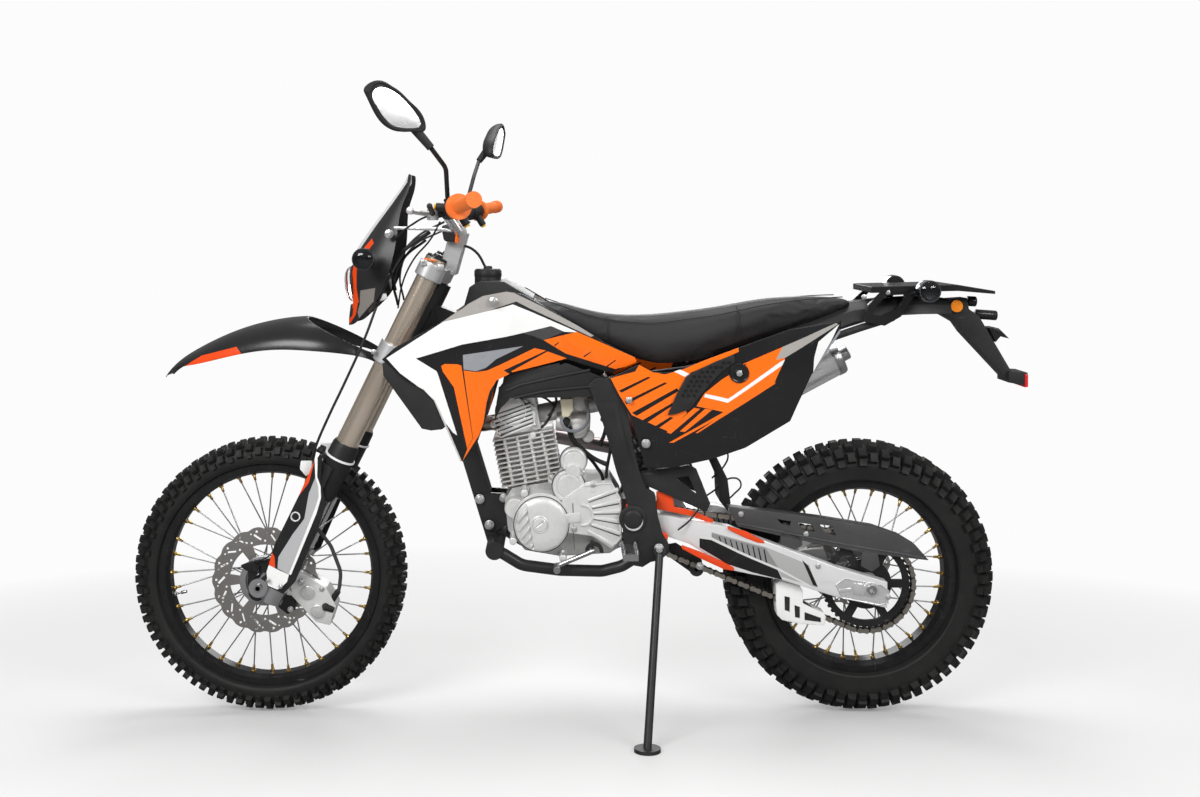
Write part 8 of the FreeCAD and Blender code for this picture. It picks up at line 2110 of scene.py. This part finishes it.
@dataclass
class Rear(Assembly):
    """Covers of the chain, sliders, rollers, springs and pegs about the swingarm."""

    wardrobe: Wardrobe

    def guards(self) -> list[bpy.types.Object]:
        """Make the chain guard with its windows and the guide with its slots."""
        outline = [(728, 507), (745, 509), (769, 511.5), (820, 518), (874, 526.8), (900, 535.8), (916, 545.5),
                   (929, 560.5), (898, 557), (868, 553.6), (811, 542.6), (738, 526.6)]
        guard = Bench.slab("chain_guard", outline, 0.098, 0.0655, 0.0985, 0.0016)
        windows = [[(777, 519), (791, 521.5), (790, 526), (781.5, 524)],
                   [(798, 522.5), (812, 524.5), (815, 532), (803, 530)],
                   [(820, 524.5), (832, 526), (836, 535.5), (825, 534)]]
        Bench.cut(guard, [Bench.slab("window", window, 0.098, 0.05, 0.11, 0.0) for window in windows])
        hollow = Bench.slab("hollow", [(px, py + 2.2) for px, py in outline], 0.098, 0.02, 0.0915, 0.0)
        Bench.cut(guard, [hollow])
        ridge = Bench.hose("ridge", [VIEW.seen(px, py, 0.0985) for px, py in (
            (736, 523.5), (770, 529.5), (811, 538), (868, 548.5), (905, 554.5), (924, 558.5))], 0.0022, 8)
        tab = Bench.slab("tab", [(862, 552), (878, 554), (880, 566), (872, 572), (861, 566)], 0.098, 0.0935, 0.0985,
                         0.001)
        fore = Bench.slab("fore", [(781, 530), (800, 534), (803, 545), (793, 551), (780, 545)], 0.098, 0.0935, 0.0985,
                          0.001)
        guide = Bench.slab("chain_guide", [(776, 584), (780, 581), (800, 586), (803, 591), (803, 603.5),
                                           (810, 607), (824, 613), (826, 617), (824.5, 625.6), (800, 624),
                                           (782, 620), (777, 615), (776, 604)], 0.098, 0.0625, 0.0985,
                           0.0014)
        slots = [[(784.5, 596), (790, 597.5), (789.8, 612), (784.8, 610.5)],
                 [(794.5, 605), (800, 607), (800, 618.5), (795, 617.5)],
                 [(804.5, 612), (821, 618), (821, 622.5), (804.5, 620.5)]]
        Bench.cut(guide, [Bench.slab("slot", slot, 0.098, 0.093, 0.11, 0.0) for slot in slots])
        passage = []
        for side in (-1, 1):
            run = [(spot, slope) for spot, slope in chain_stations() if 0.50 < spot.x < 0.70 and spot.y < 0.42]
            run.sort(key=lambda pair: pair[0].x)
            passage += [(spot.x, spot.y + side * 0.0105) for spot, _ in (run if side < 0 else run[::-1])]
        Bench.cut(guide, [Bench.plate("passage", passage, 0.067, 0.092, 0.0)])
        backing = Bench.slab("backing", [(783, 593), (802, 600), (823, 615), (823, 624), (783, 616)], 0.098, 0.0925,
                             0.0945, 0.0)
        dark = Bench.join("chain_guard", [guard, ridge, tab, fore])
        return self.finish_all(Body.CHASSIS, (
            (dark, "guard_grey", Slot.BLACK, 35.0, ("chain_covers",)),
            (guide, "white_plastic", Slot.WHITE),
            (backing, "black_satin", Slot.BLACK)))

    def sliders(self) -> list[bpy.types.Object]:
        """Make the orange sliders over and under the swingarm."""
        shapes = (([(656.5, 491.6), (672.6, 491.6), (674, 507.0), (690, 510.0), (714, 520.0), (712, 523.5),
                    (690, 516), (656.5, 509.0)], 0.088, 0.0945),
                  ([(728, 526.5), (747, 532), (754, 536), (764, 541), (765, 543.5), (758, 543),
                    (745, 538), (728, 529.5)], 0.116, 0.1235),
                  ([(652.0, 530.0), (668.0, 534.5), (668.0, 540.0), (654.0, 536.0)], 0.108, 0.1235),
                  ([(682, 545.5), (700, 552), (722, 561.5), (734, 568.0), (734, 571.0), (724, 569.5),
                    (700, 558.5), (682, 549)], 0.116, 0.1235),
                  ([(626, 505), (634, 504), (634, 540), (627, 532), (624, 519)], 0.1, 0.1105))
        pieces = [Bench.slab("slider", outline, high, low, high, 0.0012) for outline, low, high in shapes]
        return [self.finish(Bench.join("chain_sliders", pieces), Body.CHASSIS, "orange_red", Slot.ORANGE)]

    def axle_pocket(self) -> list[bpy.types.Object]:
        """Make the polished pocket round the axle's adjuster and the axle's washer."""
        left = 0.122
        outline = [(836, 585), (845, 578.5), (881, 585), (889, 591), (888, 603.5), (879, 605.0), (842, 598)]
        pocket = Bench.slab("pocket", outline, left, left - 0.002, left + 0.0008, 0.0)
        rim = Bench.hose("rim", [VIEW.seen(px, py, left + 0.0006) for px, py in [*outline, outline[0]]], 0.0014, 8,
                         False)
        washer = button("washer", 871.0, 589.2, left - 0.001,
                        ((0.0, 19.0), (2.6, 18.6), (3.2, 17.0), (3.2, 11.0), (2.2, 10.5), (2.2, 0.0)), 40)
        block = Bench.slab("block", [(853, 583), (864, 584), (864, 596), (853, 594)], left, left - 0.002, left + 0.0026,
                           0.0008)
        slot = bar("groove", (838.5, 591.0), (851.0, 589.5), left - 0.0005, 0.0022, 3.4)
        return [self.finish(Bench.pair("axle_pockets", [pocket, rim, washer, block, slot]), Body.CHASSIS,
                            "bright_alloy", Slot.ALLOY)]

    def small(self) -> list[bpy.types.Object]:
        """Make the roller, the springs, the brake hose guides and the teeth of the pegs."""
        roller = [Bench.lathe("roller", [(0.0, 0.0055), (0.0, 0.017), (0.004, 0.018), (0.008, 0.0145), (0.016, 0.0145),
                                         (0.02, 0.018), (0.024, 0.017), (0.024, 0.0055)],
                              VIEW.seen(695.5, 566.5, 0.062), OUTWARD, 32)]
        arm = Bench.slab("roller_arm", [(664, 545), (676, 543), (702, 560), (702, 572), (692, 573), (668, 556)],
                         0.06, 0.055, 0.062, 0.001)
        coil = []
        top, low = VIEW.seen(602.0, 396.0, 0.0), VIEW.seen(664.0, 492.0, 0.0)
        along = (low - top).normalized()
        across = Vector((-along.z, 0.0, along.x))
        start, turns, length = top + along * 0.04, 9, (low - top).length * 0.7
        for index in range(turns * 14 + 1):
            angle = 2 * math.pi * index / 14
            coil.append(start + along * length * index / (turns * 14)
                        + (across * math.cos(angle) + Vector((0, math.sin(angle), 0))) * 0.0325)
        spring = Bench.hose("coil", coil, 0.0052, 8, False)
        peg, teeth = VIEW.seen(631.0, 558.0, 0.217), []
        for way, edge, step in ((way, edge, step) for way in (-1, 1) for edge in (-1, 1) for step in range(8)):
            spot = Vector((peg.x + edge * 0.0155, way * (0.137 + 0.0105 * step), peg.z + 0.007))
            teeth.append(Bench.shaft("tooth", spot, spot + Vector((0.0, 0.0, 0.0085)), 0.0052, 4, 0.0, 0.0012))
        loops = [Bench.hose("guide", [VIEW.seen(*spot) for spot in points], 0.0022, 8) for points in (
            ((700, 500, 0.02), (712, 492, 0.03), (735, 478, 0.04), (741, 484, 0.04), (734, 494, 0.036),
             (722, 504, 0.03)),
            ((712, 478, 0.02), (724, 466, 0.03), (728, 456, 0.03), (726, 450, 0.02)))]
        flap = Bench.slab("mud_flap", [(709, 458), (716, 456), (727, 478), (730, 502), (727, 510), (719, 500),
                                       (718, 478)], 0.03, -0.04, 0.04, 0.001)
        return self.finish_all(Body.CHASSIS, (
            (Bench.join("roller", roller), "hose_rubber", Slot.RUBBER),
            (arm, "black_satin", Slot.BLACK),
            (flap, "hose_rubber", Slot.RUBBER),
            (spring, "spring_grey", Slot.STEEL),
            (Bench.join("peg_teeth", teeth), "brushed_steel", Slot.STEEL),
            (Bench.join("hose_guides", loops), "black_satin", Slot.STEEL)))

    def build(self) -> list[bpy.types.Object]:
        """Make everything about the swingarm."""
        return [*self.guards(), *self.sliders(), *self.small(), *self.axle_pocket()]


@dataclass
class Softened(Assembly):
    """Copies of plain CAD nodes with drawn, rounded edges.

    Attributes:
        wardrobe: The bike's finishes.
        nodes: The CAD objects by their node names.
        work: Node, body, finish, slot, radius of its edges and steps across them.
    """

    wardrobe: Wardrobe
    nodes: dict[str, bpy.types.Object]
    work: tuple[tuple[str, Body, str, Slot, float, int], ...] = (
        ("frame_side_spars", Body.CHASSIS, "frame_black", Slot.FRAME, 0.012, 4),
        ("lower_covers", Body.CHASSIS, "black_satin", Slot.BLACK, 0.003, 3),
        ("side_panels", Body.CHASSIS, "side_panel_paint", Slot.BLACK, 0.0025, 3),
        ("tank_shrouds", Body.CHASSIS, "shroud_paint", Slot.BLACK, 0.0025, 3),
        ("swingarm", Body.CHASSIS, "arm_silver", Slot.SILVER, 0.006, 3),
        ("fuel_tank", Body.CHASSIS, "tank_black", Slot.BLACK, 0.012, 4),
        ("engine_covers", Body.CHASSIS, "engine_silver", Slot.SILVER, 0.004, 3),
        ("rear_fender", Body.CHASSIS, "black_satin", Slot.BLACK, 0.004, 2),
        ("plate_carrier", Body.CHASSIS, "black_satin", Slot.BLACK, 0.003, 3),
        ("front_caliper", Body.STEERING, "engine_silver", Slot.SILVER, 0.004, 3),
    )

    def build(self) -> list[bpy.types.Object]:
        """Round the edges of every listed node's copy."""
        return [self.soften(*row) for row in self.work]

    def soften(self, node: str, body: Body, finish: str, slot: Slot, radius: float, steps: int) -> bpy.types.Object:
        """Copy one node, merge its flat facets and round its hard edges."""
        source = self.nodes[node]
        piece = Bench.copy(source, STANCE.matrix().inverted() @ source.matrix_world, node + "_shell")
        piece.data.materials.clear()
        Bench.take(piece)
        bpy.ops.object.mode_set(mode="EDIT")
        bpy.ops.mesh.select_all(action="SELECT")
        bpy.ops.mesh.remove_doubles(threshold=1e-5)
        bpy.ops.mesh.dissolve_limited(angle_limit=math.radians(4.0))
        bpy.ops.object.mode_set(mode="OBJECT")
        if node == "plate_carrier":
            end = VIEW.seen(1022.0, 378.0, 0.0).x - 0.0015
            Bench.cut(piece, [Bench.plate("end", [(end, 0.0), (end + 0.1, 0.0), (end + 0.1, 1.5), (end, 1.5)], -0.2,
                                          0.2, 0.0)])
        Bench.break_edges(piece, radius, steps, 28.0)
        return self.finish(piece, body, finish, slot, 40.0, (node,))


# Seat: top and bottom edge by pixel, with the half width's share at each station
SEAT_STATIONS: tuple[tuple[float, float, float, float], ...] = (
    (532.0, 294.5, 301.0, 0.58), (545.0, 298.5, 308.0, 0.63), (560.0, 303.0, 317.0, 0.66), (588.0, 311.0, 336.0, 0.74),
    (606.0, 314.5, 345.0, 0.81), (625.0, 316.0, 354.0, 0.88), (655.0, 315.0, 370.0, 0.99), (684.0, 312.0, 363.0, 1.0),
    (712.0, 308.5, 356.0, 1.0), (734.0, 304.5, 347.5, 0.98), (755.0, 300.5, 339.0, 0.96), (788.0, 296.5, 327.0, 0.9),
    (820.0, 294.8, 315.0, 0.8), (838.0, 294.8, 307.0, 0.68), (847.0, 296.0, 303.0, 0.58),
)


@dataclass
class Seat(Assembly):
    """The padded seat with its crowned top, its seams and its piping."""

    wardrobe: Wardrobe
    half_width: float = 0.077
    thin: float = 0.004
    swell: float = 0.006
    voxel: float = 0.0055
    cloth_mass: float = 0.3
    stretch: float = 22.0
    bending: float = 2.0
    pressure: float = 4.0
    frames: int = 20
    section: tuple[Flat, ...] = ((0.78, 0.0), (0.92, 0.04), (0.99, 0.2), (1.0, 0.42), (0.95, 0.68), (0.8, 0.89),
                                 (0.52, 0.98),
                                 (0.2, 1.0), (-0.2, 1.0), (-0.52, 0.98), (-0.8, 0.89), (-0.95, 0.68), (-1.0, 0.42),
                                 (-0.99, 0.2), (-0.92, 0.04), (-0.78, 0.0))

    def rows(self, shrink: float) -> list[list[Vector]]:
        """Return the seat's sections from nose to tail, drawn in by a length."""
        rows = []
        for px, top, bottom, share in SEAT_STATIONS:
            high, low = VIEW.seen(px, top, 0.0), VIEW.seen(px, bottom, self.half_width * share)
            half = self.half_width * share - shrink
            tall = high.z - shrink - low.z
            rows.append([Vector((high.x, -half * wide, low.z + tall * rise)) for wide, rise in self.section])
        return rows

    def build(self) -> list[bpy.types.Object]:
        """Pad the seat, then lay its seams."""
        rows = self.rows(self.thin)
        ends = [[sum(row, Vector()) / len(row) for _ in row] for row in (rows[0], rows[-1])]
        cushion = Bench.sheet("seat_cushion", [ends[0], *rows, ends[1]], 0.0, 1, True)
        self.pad(cushion)
        cushion.data.materials.clear()
        seams = self.seams()
        seat = self.finish(cushion, Body.CHASSIS, "seat_vinyl", Slot.VINYL, 60.0, ("seat",))
        return [seat, self.finish(seams, Body.CHASSIS, "hose_rubber", Slot.RUBBER)]

    def pad(self, cushion: bpy.types.Object) -> None:
        """Swell the cushion as stuffed vinyl does and keep the result."""
        Bench.take(cushion)
        remesh = cushion.modifiers.new("skin", "REMESH")
        remesh.mode = "VOXEL"
        remesh.voxel_size = self.voxel
        bpy.ops.object.modifier_apply(modifier=remesh.name)
        start = [vertex.co.copy() for vertex in cushion.data.vertices]
        cloth = cushion.modifiers.new("stuffing", "CLOTH")
        cloth.settings.quality = 6
        cloth.settings.mass = self.cloth_mass
        cloth.settings.tension_stiffness = cloth.settings.compression_stiffness = self.stretch
        cloth.settings.bending_stiffness = self.bending
        cloth.settings.use_pressure = True
        cloth.settings.uniform_pressure_force = self.pressure
        cloth.settings.effector_weights.gravity = 0.0
        cloth.point_cache.frame_start, cloth.point_cache.frame_end = 1, self.frames
        for frame in range(1, self.frames + 1):
            bpy.context.scene.frame_set(frame)
        Bench.take(cushion)
        bpy.ops.object.modifier_apply(modifier=cloth.name)
        for vertex, old in zip(cushion.data.vertices, start):
            moved = vertex.co - old
            if moved.length > self.swell:
                vertex.co = old + moved.normalized() * self.swell
        bpy.context.scene.frame_set(1)
        skin = cushion.modifiers.new("skin", "SUBSURF")
        skin.levels = 1
        bpy.ops.object.modifier_apply(modifier=skin.name)

    def seams(self) -> bpy.types.Object:
        """Lay piping along both upper edges and across the seat, close on the vinyl."""
        rows = self.rows(-0.0005)
        lines = [[row[column] for row in rows[1:-1]] for column in (5, 10)]
        for index in (4, 9):
            lines.append(rows[index][2:14])
        return Bench.join("seat_seams", [Bench.hose("seam", line, 0.0013, 8) for line in lines])


@dataclass
class Tail(Assembly):
    """Lamps, reflectors and brackets at the back, and the lenses of every indicator."""

    wardrobe: Wardrobe

    def build(self) -> list[bpy.types.Object]:
        """Make the tail's and the indicators' small parts."""
        return [*self.reflectors(), *self.brackets(), *self.indicators()]

    def reflectors(self) -> list[bpy.types.Object]:
        """Make the round side reflectors and the red one that faces back."""
        rounds, rims = [], []
        for way in (1, -1):
            foot = VIEW.seen(956.0, 306.0, 0.024)
            foot.y *= way
            out = Vector((0.0, -way, 0.0))
            rims.append(Bench.lathe("rim", [(0.0, 0.0), (0.0, 0.0175), (0.006, 0.0175), (0.007, 0.0165),
                                            (0.005, 0.0158), (0.005, 0.0)], foot, out, 40))
            rounds.append(Bench.lathe("reflector", [(0.004, 0.0), (0.004, 0.0157), (0.0068, 0.0152), (0.0078, 0.0)],
                                      foot, out, 40))
        low, high = VIEW.seen(1020.0, 385.0, 0.0), VIEW.seen(1020.0, 372.0, 0.0)
        back = VIEW.seen(1021.8, 378.0, 0.0).x
        red = Bench.plate("red", [(back - 0.008, low.z - 0.001), (back, low.z + 0.001), (back, high.z - 0.001),
                                  (back - 0.008, high.z + 0.001)], -0.0375, 0.0375, 0.001)
        return self.finish_all(Body.CHASSIS, (
            (Bench.join("reflector_rims", rims), "black_satin", Slot.BLACK),
            (Bench.join("side_reflectors", rounds), "amber_reflector", Slot.ORANGE),
            (red, "red_reflector", Slot.ORANGE)))

    def brackets(self) -> list[bpy.types.Object]:
        """Make the lamp stubs, the bracket fin and the silencer's end."""
        left = 0.0
        stubs = [Bench.shaft("stub", VIEW.seen(967.0, 301.0, left), VIEW.seen(975.5, 301.5, left), 0.013, 24, 0.0015),
                 Bench.shaft("lamp", VIEW.seen(975.0, 314.0, left), VIEW.seen(996.0, 315.5, left), 0.0125, 24, 0.0015),
                 Bench.slab("fin", [(985, 327), (994, 327), (1004.5, 337.5), (996, 335), (991, 341)], left, -0.03,
                            0.03, 0.001)]
        end = VIEW.seen(838.0, 356.0, -0.134)
        along = (end - VIEW.seen(700.0, 430.0, -0.134)).normalized()
        cap = Bench.lathe("silencer_cap", [(-0.02, 0.0465), (-0.02, 0.0475), (-0.004, 0.0478), (0.002, 0.045),
                                           (0.003, 0.03), (-0.004, 0.028), (-0.004, 0.0465)], end, along, 48)
        band = Bench.lathe("silencer_band", [(0.0, 0.0462), (0.0, 0.0482), (0.012, 0.0482), (0.012, 0.0462)],
                           end - along * 0.16, along, 48)
        pipe = Bench.lathe("silencer_mouth", [(0.0, 0.0185), (0.0, 0.0205), (0.026, 0.0205), (0.028, 0.0185)], end,
                           along, 32)
        tank_cap = Bench.lathe("tank_cap", [(0.0, 0.0), (0.0, 0.034), (0.004, 0.0352), (0.016, 0.035), (0.021, 0.031),
                                            (0.0215, 0.012), (0.028, 0.01), (0.029, 0.0)], VIEW.seen(488.0, 277.0, 0.0),
                               (0.0, 0.0, 1.0), 18)
        return self.finish_all(Body.CHASSIS, (
            (Bench.join("tail_stubs", stubs), "black_gloss", Slot.BLACK),
            (Bench.join("silencer_trim", [cap, band, pipe]), "brushed_steel", Slot.STEEL),
            (tank_cap, "tank_black", Slot.BLACK)))

    def indicators(self) -> list[bpy.types.Object]:
        """Make a smoked lens on the outer side of each indicator."""
        pieces = []
        for body, px, py, middle in ((Body.CHASSIS, 928.0, 291.0, 0.132), (Body.STEERING, 364.0, 259.0, 0.157)):
            foot = VIEW.seen(px, py, middle) - Vector((0.0, 0.0165, 0.0))
            lens = Bench.lathe("lens", [(0.0, 0.0), (0.0, 0.0236), (0.003, 0.0232), (0.0075, 0.018), (0.01, 0.009),
                                        (0.0105, 0.0)], foot, OUTWARD, 40)
            shell = Bench.lathe("shell", [(-0.03, 0.0252), (-0.03, 0.0262), (-0.002, 0.0268), (0.001, 0.0262),
                                          (0.001, 0.0238), (-0.002, 0.0252)], foot, OUTWARD, 40)
            pieces.append(self.finish(Bench.pair(body.value + "_indicator_lenses", [lens]), body, "smoke_lens"))
            pieces.append(self.finish(Bench.pair(body.value + "_indicator_shells", [shell]), body,
                                      "chrome_lamp", Slot.STEEL))
        return pieces


@dataclass
class SideTrim(Assembly):
    """The side panels' vents and plugs, the fork guards' rings and the covers' ridges."""

    wardrobe: Wardrobe

    def build(self) -> list[bpy.types.Object]:
        """Make the trim on both sides."""
        left = 0.147
        plug = button("plug", 739.0, 373.0, left - 0.003,
                      ((0.0, 24.0), (4.0, 24.0), (6.0, 22.0), (4.2, 19.0), (4.2, 10.0), (6.0, 9.0), (7.0, 0.0)))
        frame = [(686, 377), (700, 369), (716, 361.5), (733.5, 354.5), (735.5, 362), (722, 371.5), (711, 383),
                 (700, 396), (690, 409), (676, 414), (668, 415), (676, 396)]
        vent = Bench.slab("vent", frame, left, left - 0.004, left + 0.0015, 0.0008)
        cells = []
        for row in range(9):
            for column in range(9):
                px, py = 683.0 + 5.4 * column + (2.7 if row % 2 else 0.0), 358.5 + 4.7 * row
                if within(Vector((px, py)), [Vector(corner) for corner in frame], 2.6):
                    at = VIEW.seen(px, py, left - 0.002)
                    cells.append(Bench.shaft("cell", at, at - Vector((0.0, 0.008, 0.0)), 0.0052, 6))
        Bench.cut(vent, cells)
        ring = button("ring", 295.6, 516.5, 0.1395, ((0.0, 12.0), (3.0, 11.6), (3.4, 10.0), (1.0, 9.4), (1.0, 0.0)), 36)
        dark = button("ring_middle", 295.6, 516.5, 0.1395, ((0.0, 8.6), (2.0, 8.2), (2.4, 0.0)), 24)
        stripe = Bench.hose("clamp_stripe", [VIEW.seen(424.0, 258.5, 0.1355), VIEW.seen(436.0, 261.0, 0.1355)],
                            0.0018, 8)
        nose = Bench.slab("cover_nose", [(494.5, 421), (496.5, 402), (499, 388), (509, 375), (530, 369),
                                         (560, 363), (560, 372), (530, 380), (514, 390), (509, 400),
                                         (501, 408)],
                          0.124, 0.112, 0.1245, 0.002)
        bulges = []
        for step in range(9):
            share = step / 8
            near, far = (Vector((596.0, 402.0)).lerp((623.5, 486.0), share),
                         Vector((617.0, 402.0)).lerp((640.0, 486.0), share))
            rise = 0.0085 * math.sin(math.pi * min(1.0, 0.12 + 0.9 * share))
            bulges.append([VIEW.seen(*near.lerp(far, across / 8), 0.1285 + rise * math.sin(math.pi * across / 8) ** 0.6)
                           for across in range(9)])
        bulge = Bench.sheet("spar_bulges", bulges, 0.0, 2)
        ridges = [Bench.hose("ridge", [VIEW.seen(px, py, 0.1265) for px, py in points], 0.0032, 10, False)
                  for points in (((506, 391), (520, 385), (560, 376), (590, 370)),
                                 ((514, 398), (545, 391), (596, 386)))]
        chassis = self.finish_all(Body.CHASSIS, (
            (Bench.mirrored(bulge), "frame_black", Slot.FRAME),
            (Bench.pair("panel_vents", [vent]), "black_satin", Slot.BLACK),
            (Bench.mirrored(plug), "black_gloss", Slot.BLACK)))
        steering = self.finish_all(Body.STEERING, (
            (Bench.pair("guard_rings", [ring]), "white_plastic", Slot.WHITE),
            (Bench.pair("guard_plugs", [dark]), "black_gloss", Slot.BLACK),
            (Bench.mirrored(stripe), "orange_gloss", Slot.ORANGE)))
        covers = self.finish(Bench.pair("cover_ridges", [*ridges, nose]), Body.CHASSIS, "black_satin", Slot.BLACK)
        return [*chassis, *steering, covers]


def within(spot: Vector, corners: Sequence[Vector], margin: float) -> bool:
    """Return whether a pixel lies inside an outline with a margin to its edges."""
    inside = False
    for a, b in zip(corners, [*corners[1:], corners[0]]):
        if (a.y > spot.y) != (b.y > spot.y) and spot.x < (b.x - a.x) * (spot.y - a.y) / (b.y - a.y) + a.x:
            inside = not inside
        share = max(0.0, min(1.0, (spot - a).dot(b - a) / (b - a).length_squared))
        if (a + (b - a) * share - spot).length < margin:
            return False
    return inside


def assemblies(wardrobe: Wardrobe, nodes: dict[str, bpy.types.Object]) -> list[Assembly]:
    """Return the sub-assemblies in the order that they are built."""
    return [front_wheel(wardrobe), rear_wheel(wardrobe),
            Disc(wardrobe, "front_disc", Body.FRONT_WHEEL, FRONT_AXLE, left=0.062, radius=0.132,
                 finish_name="front_disc_steel"),
            Disc(wardrobe, "rear_disc", Body.REAR_WHEEL, REAR_AXLE, left=-0.082, radius=0.11,
                 finish_name="rear_disc_steel", lobes=16, arms=5),
            Screws(wardrobe, Body.STEERING, FORK_SCREWS), Screws(wardrobe, Body.CHASSIS, CHASSIS_SCREWS),
            FrontBrake(wardrobe), ForkDress(wardrobe), Mask(wardrobe), MirrorGlass(wardrobe), Controls(wardrobe),
            Cables(wardrobe, Body.STEERING, STEERING_ROUTES), Engine(wardrobe),
            Cables(wardrobe, Body.CHASSIS, CHASSIS_ROUTES), Chain(wardrobe), Rear(wardrobe),
            Softened(wardrobe, nodes), Seat(wardrobe), Tail(wardrobe), SideTrim(wardrobe)]


def main() -> None:
    """Dress the CAD model, add every detailed piece and report each one."""
    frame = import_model()
    Studio().build()
    wardrobe = Wardrobe()
    wardrobe.build()
    for node, finish in NODE_FINISHES.items():
        wardrobe.wear(frame["nodes"][node], finish)
    log.info("dressed %d nodes", len(NODE_FINISHES))
    for assembly in assemblies(wardrobe, frame["nodes"]):
        for piece in assembly.build():
            log.info("%s: %s", type(assembly).__name__, piece.name)


if __name__ == "__main__":
    main()
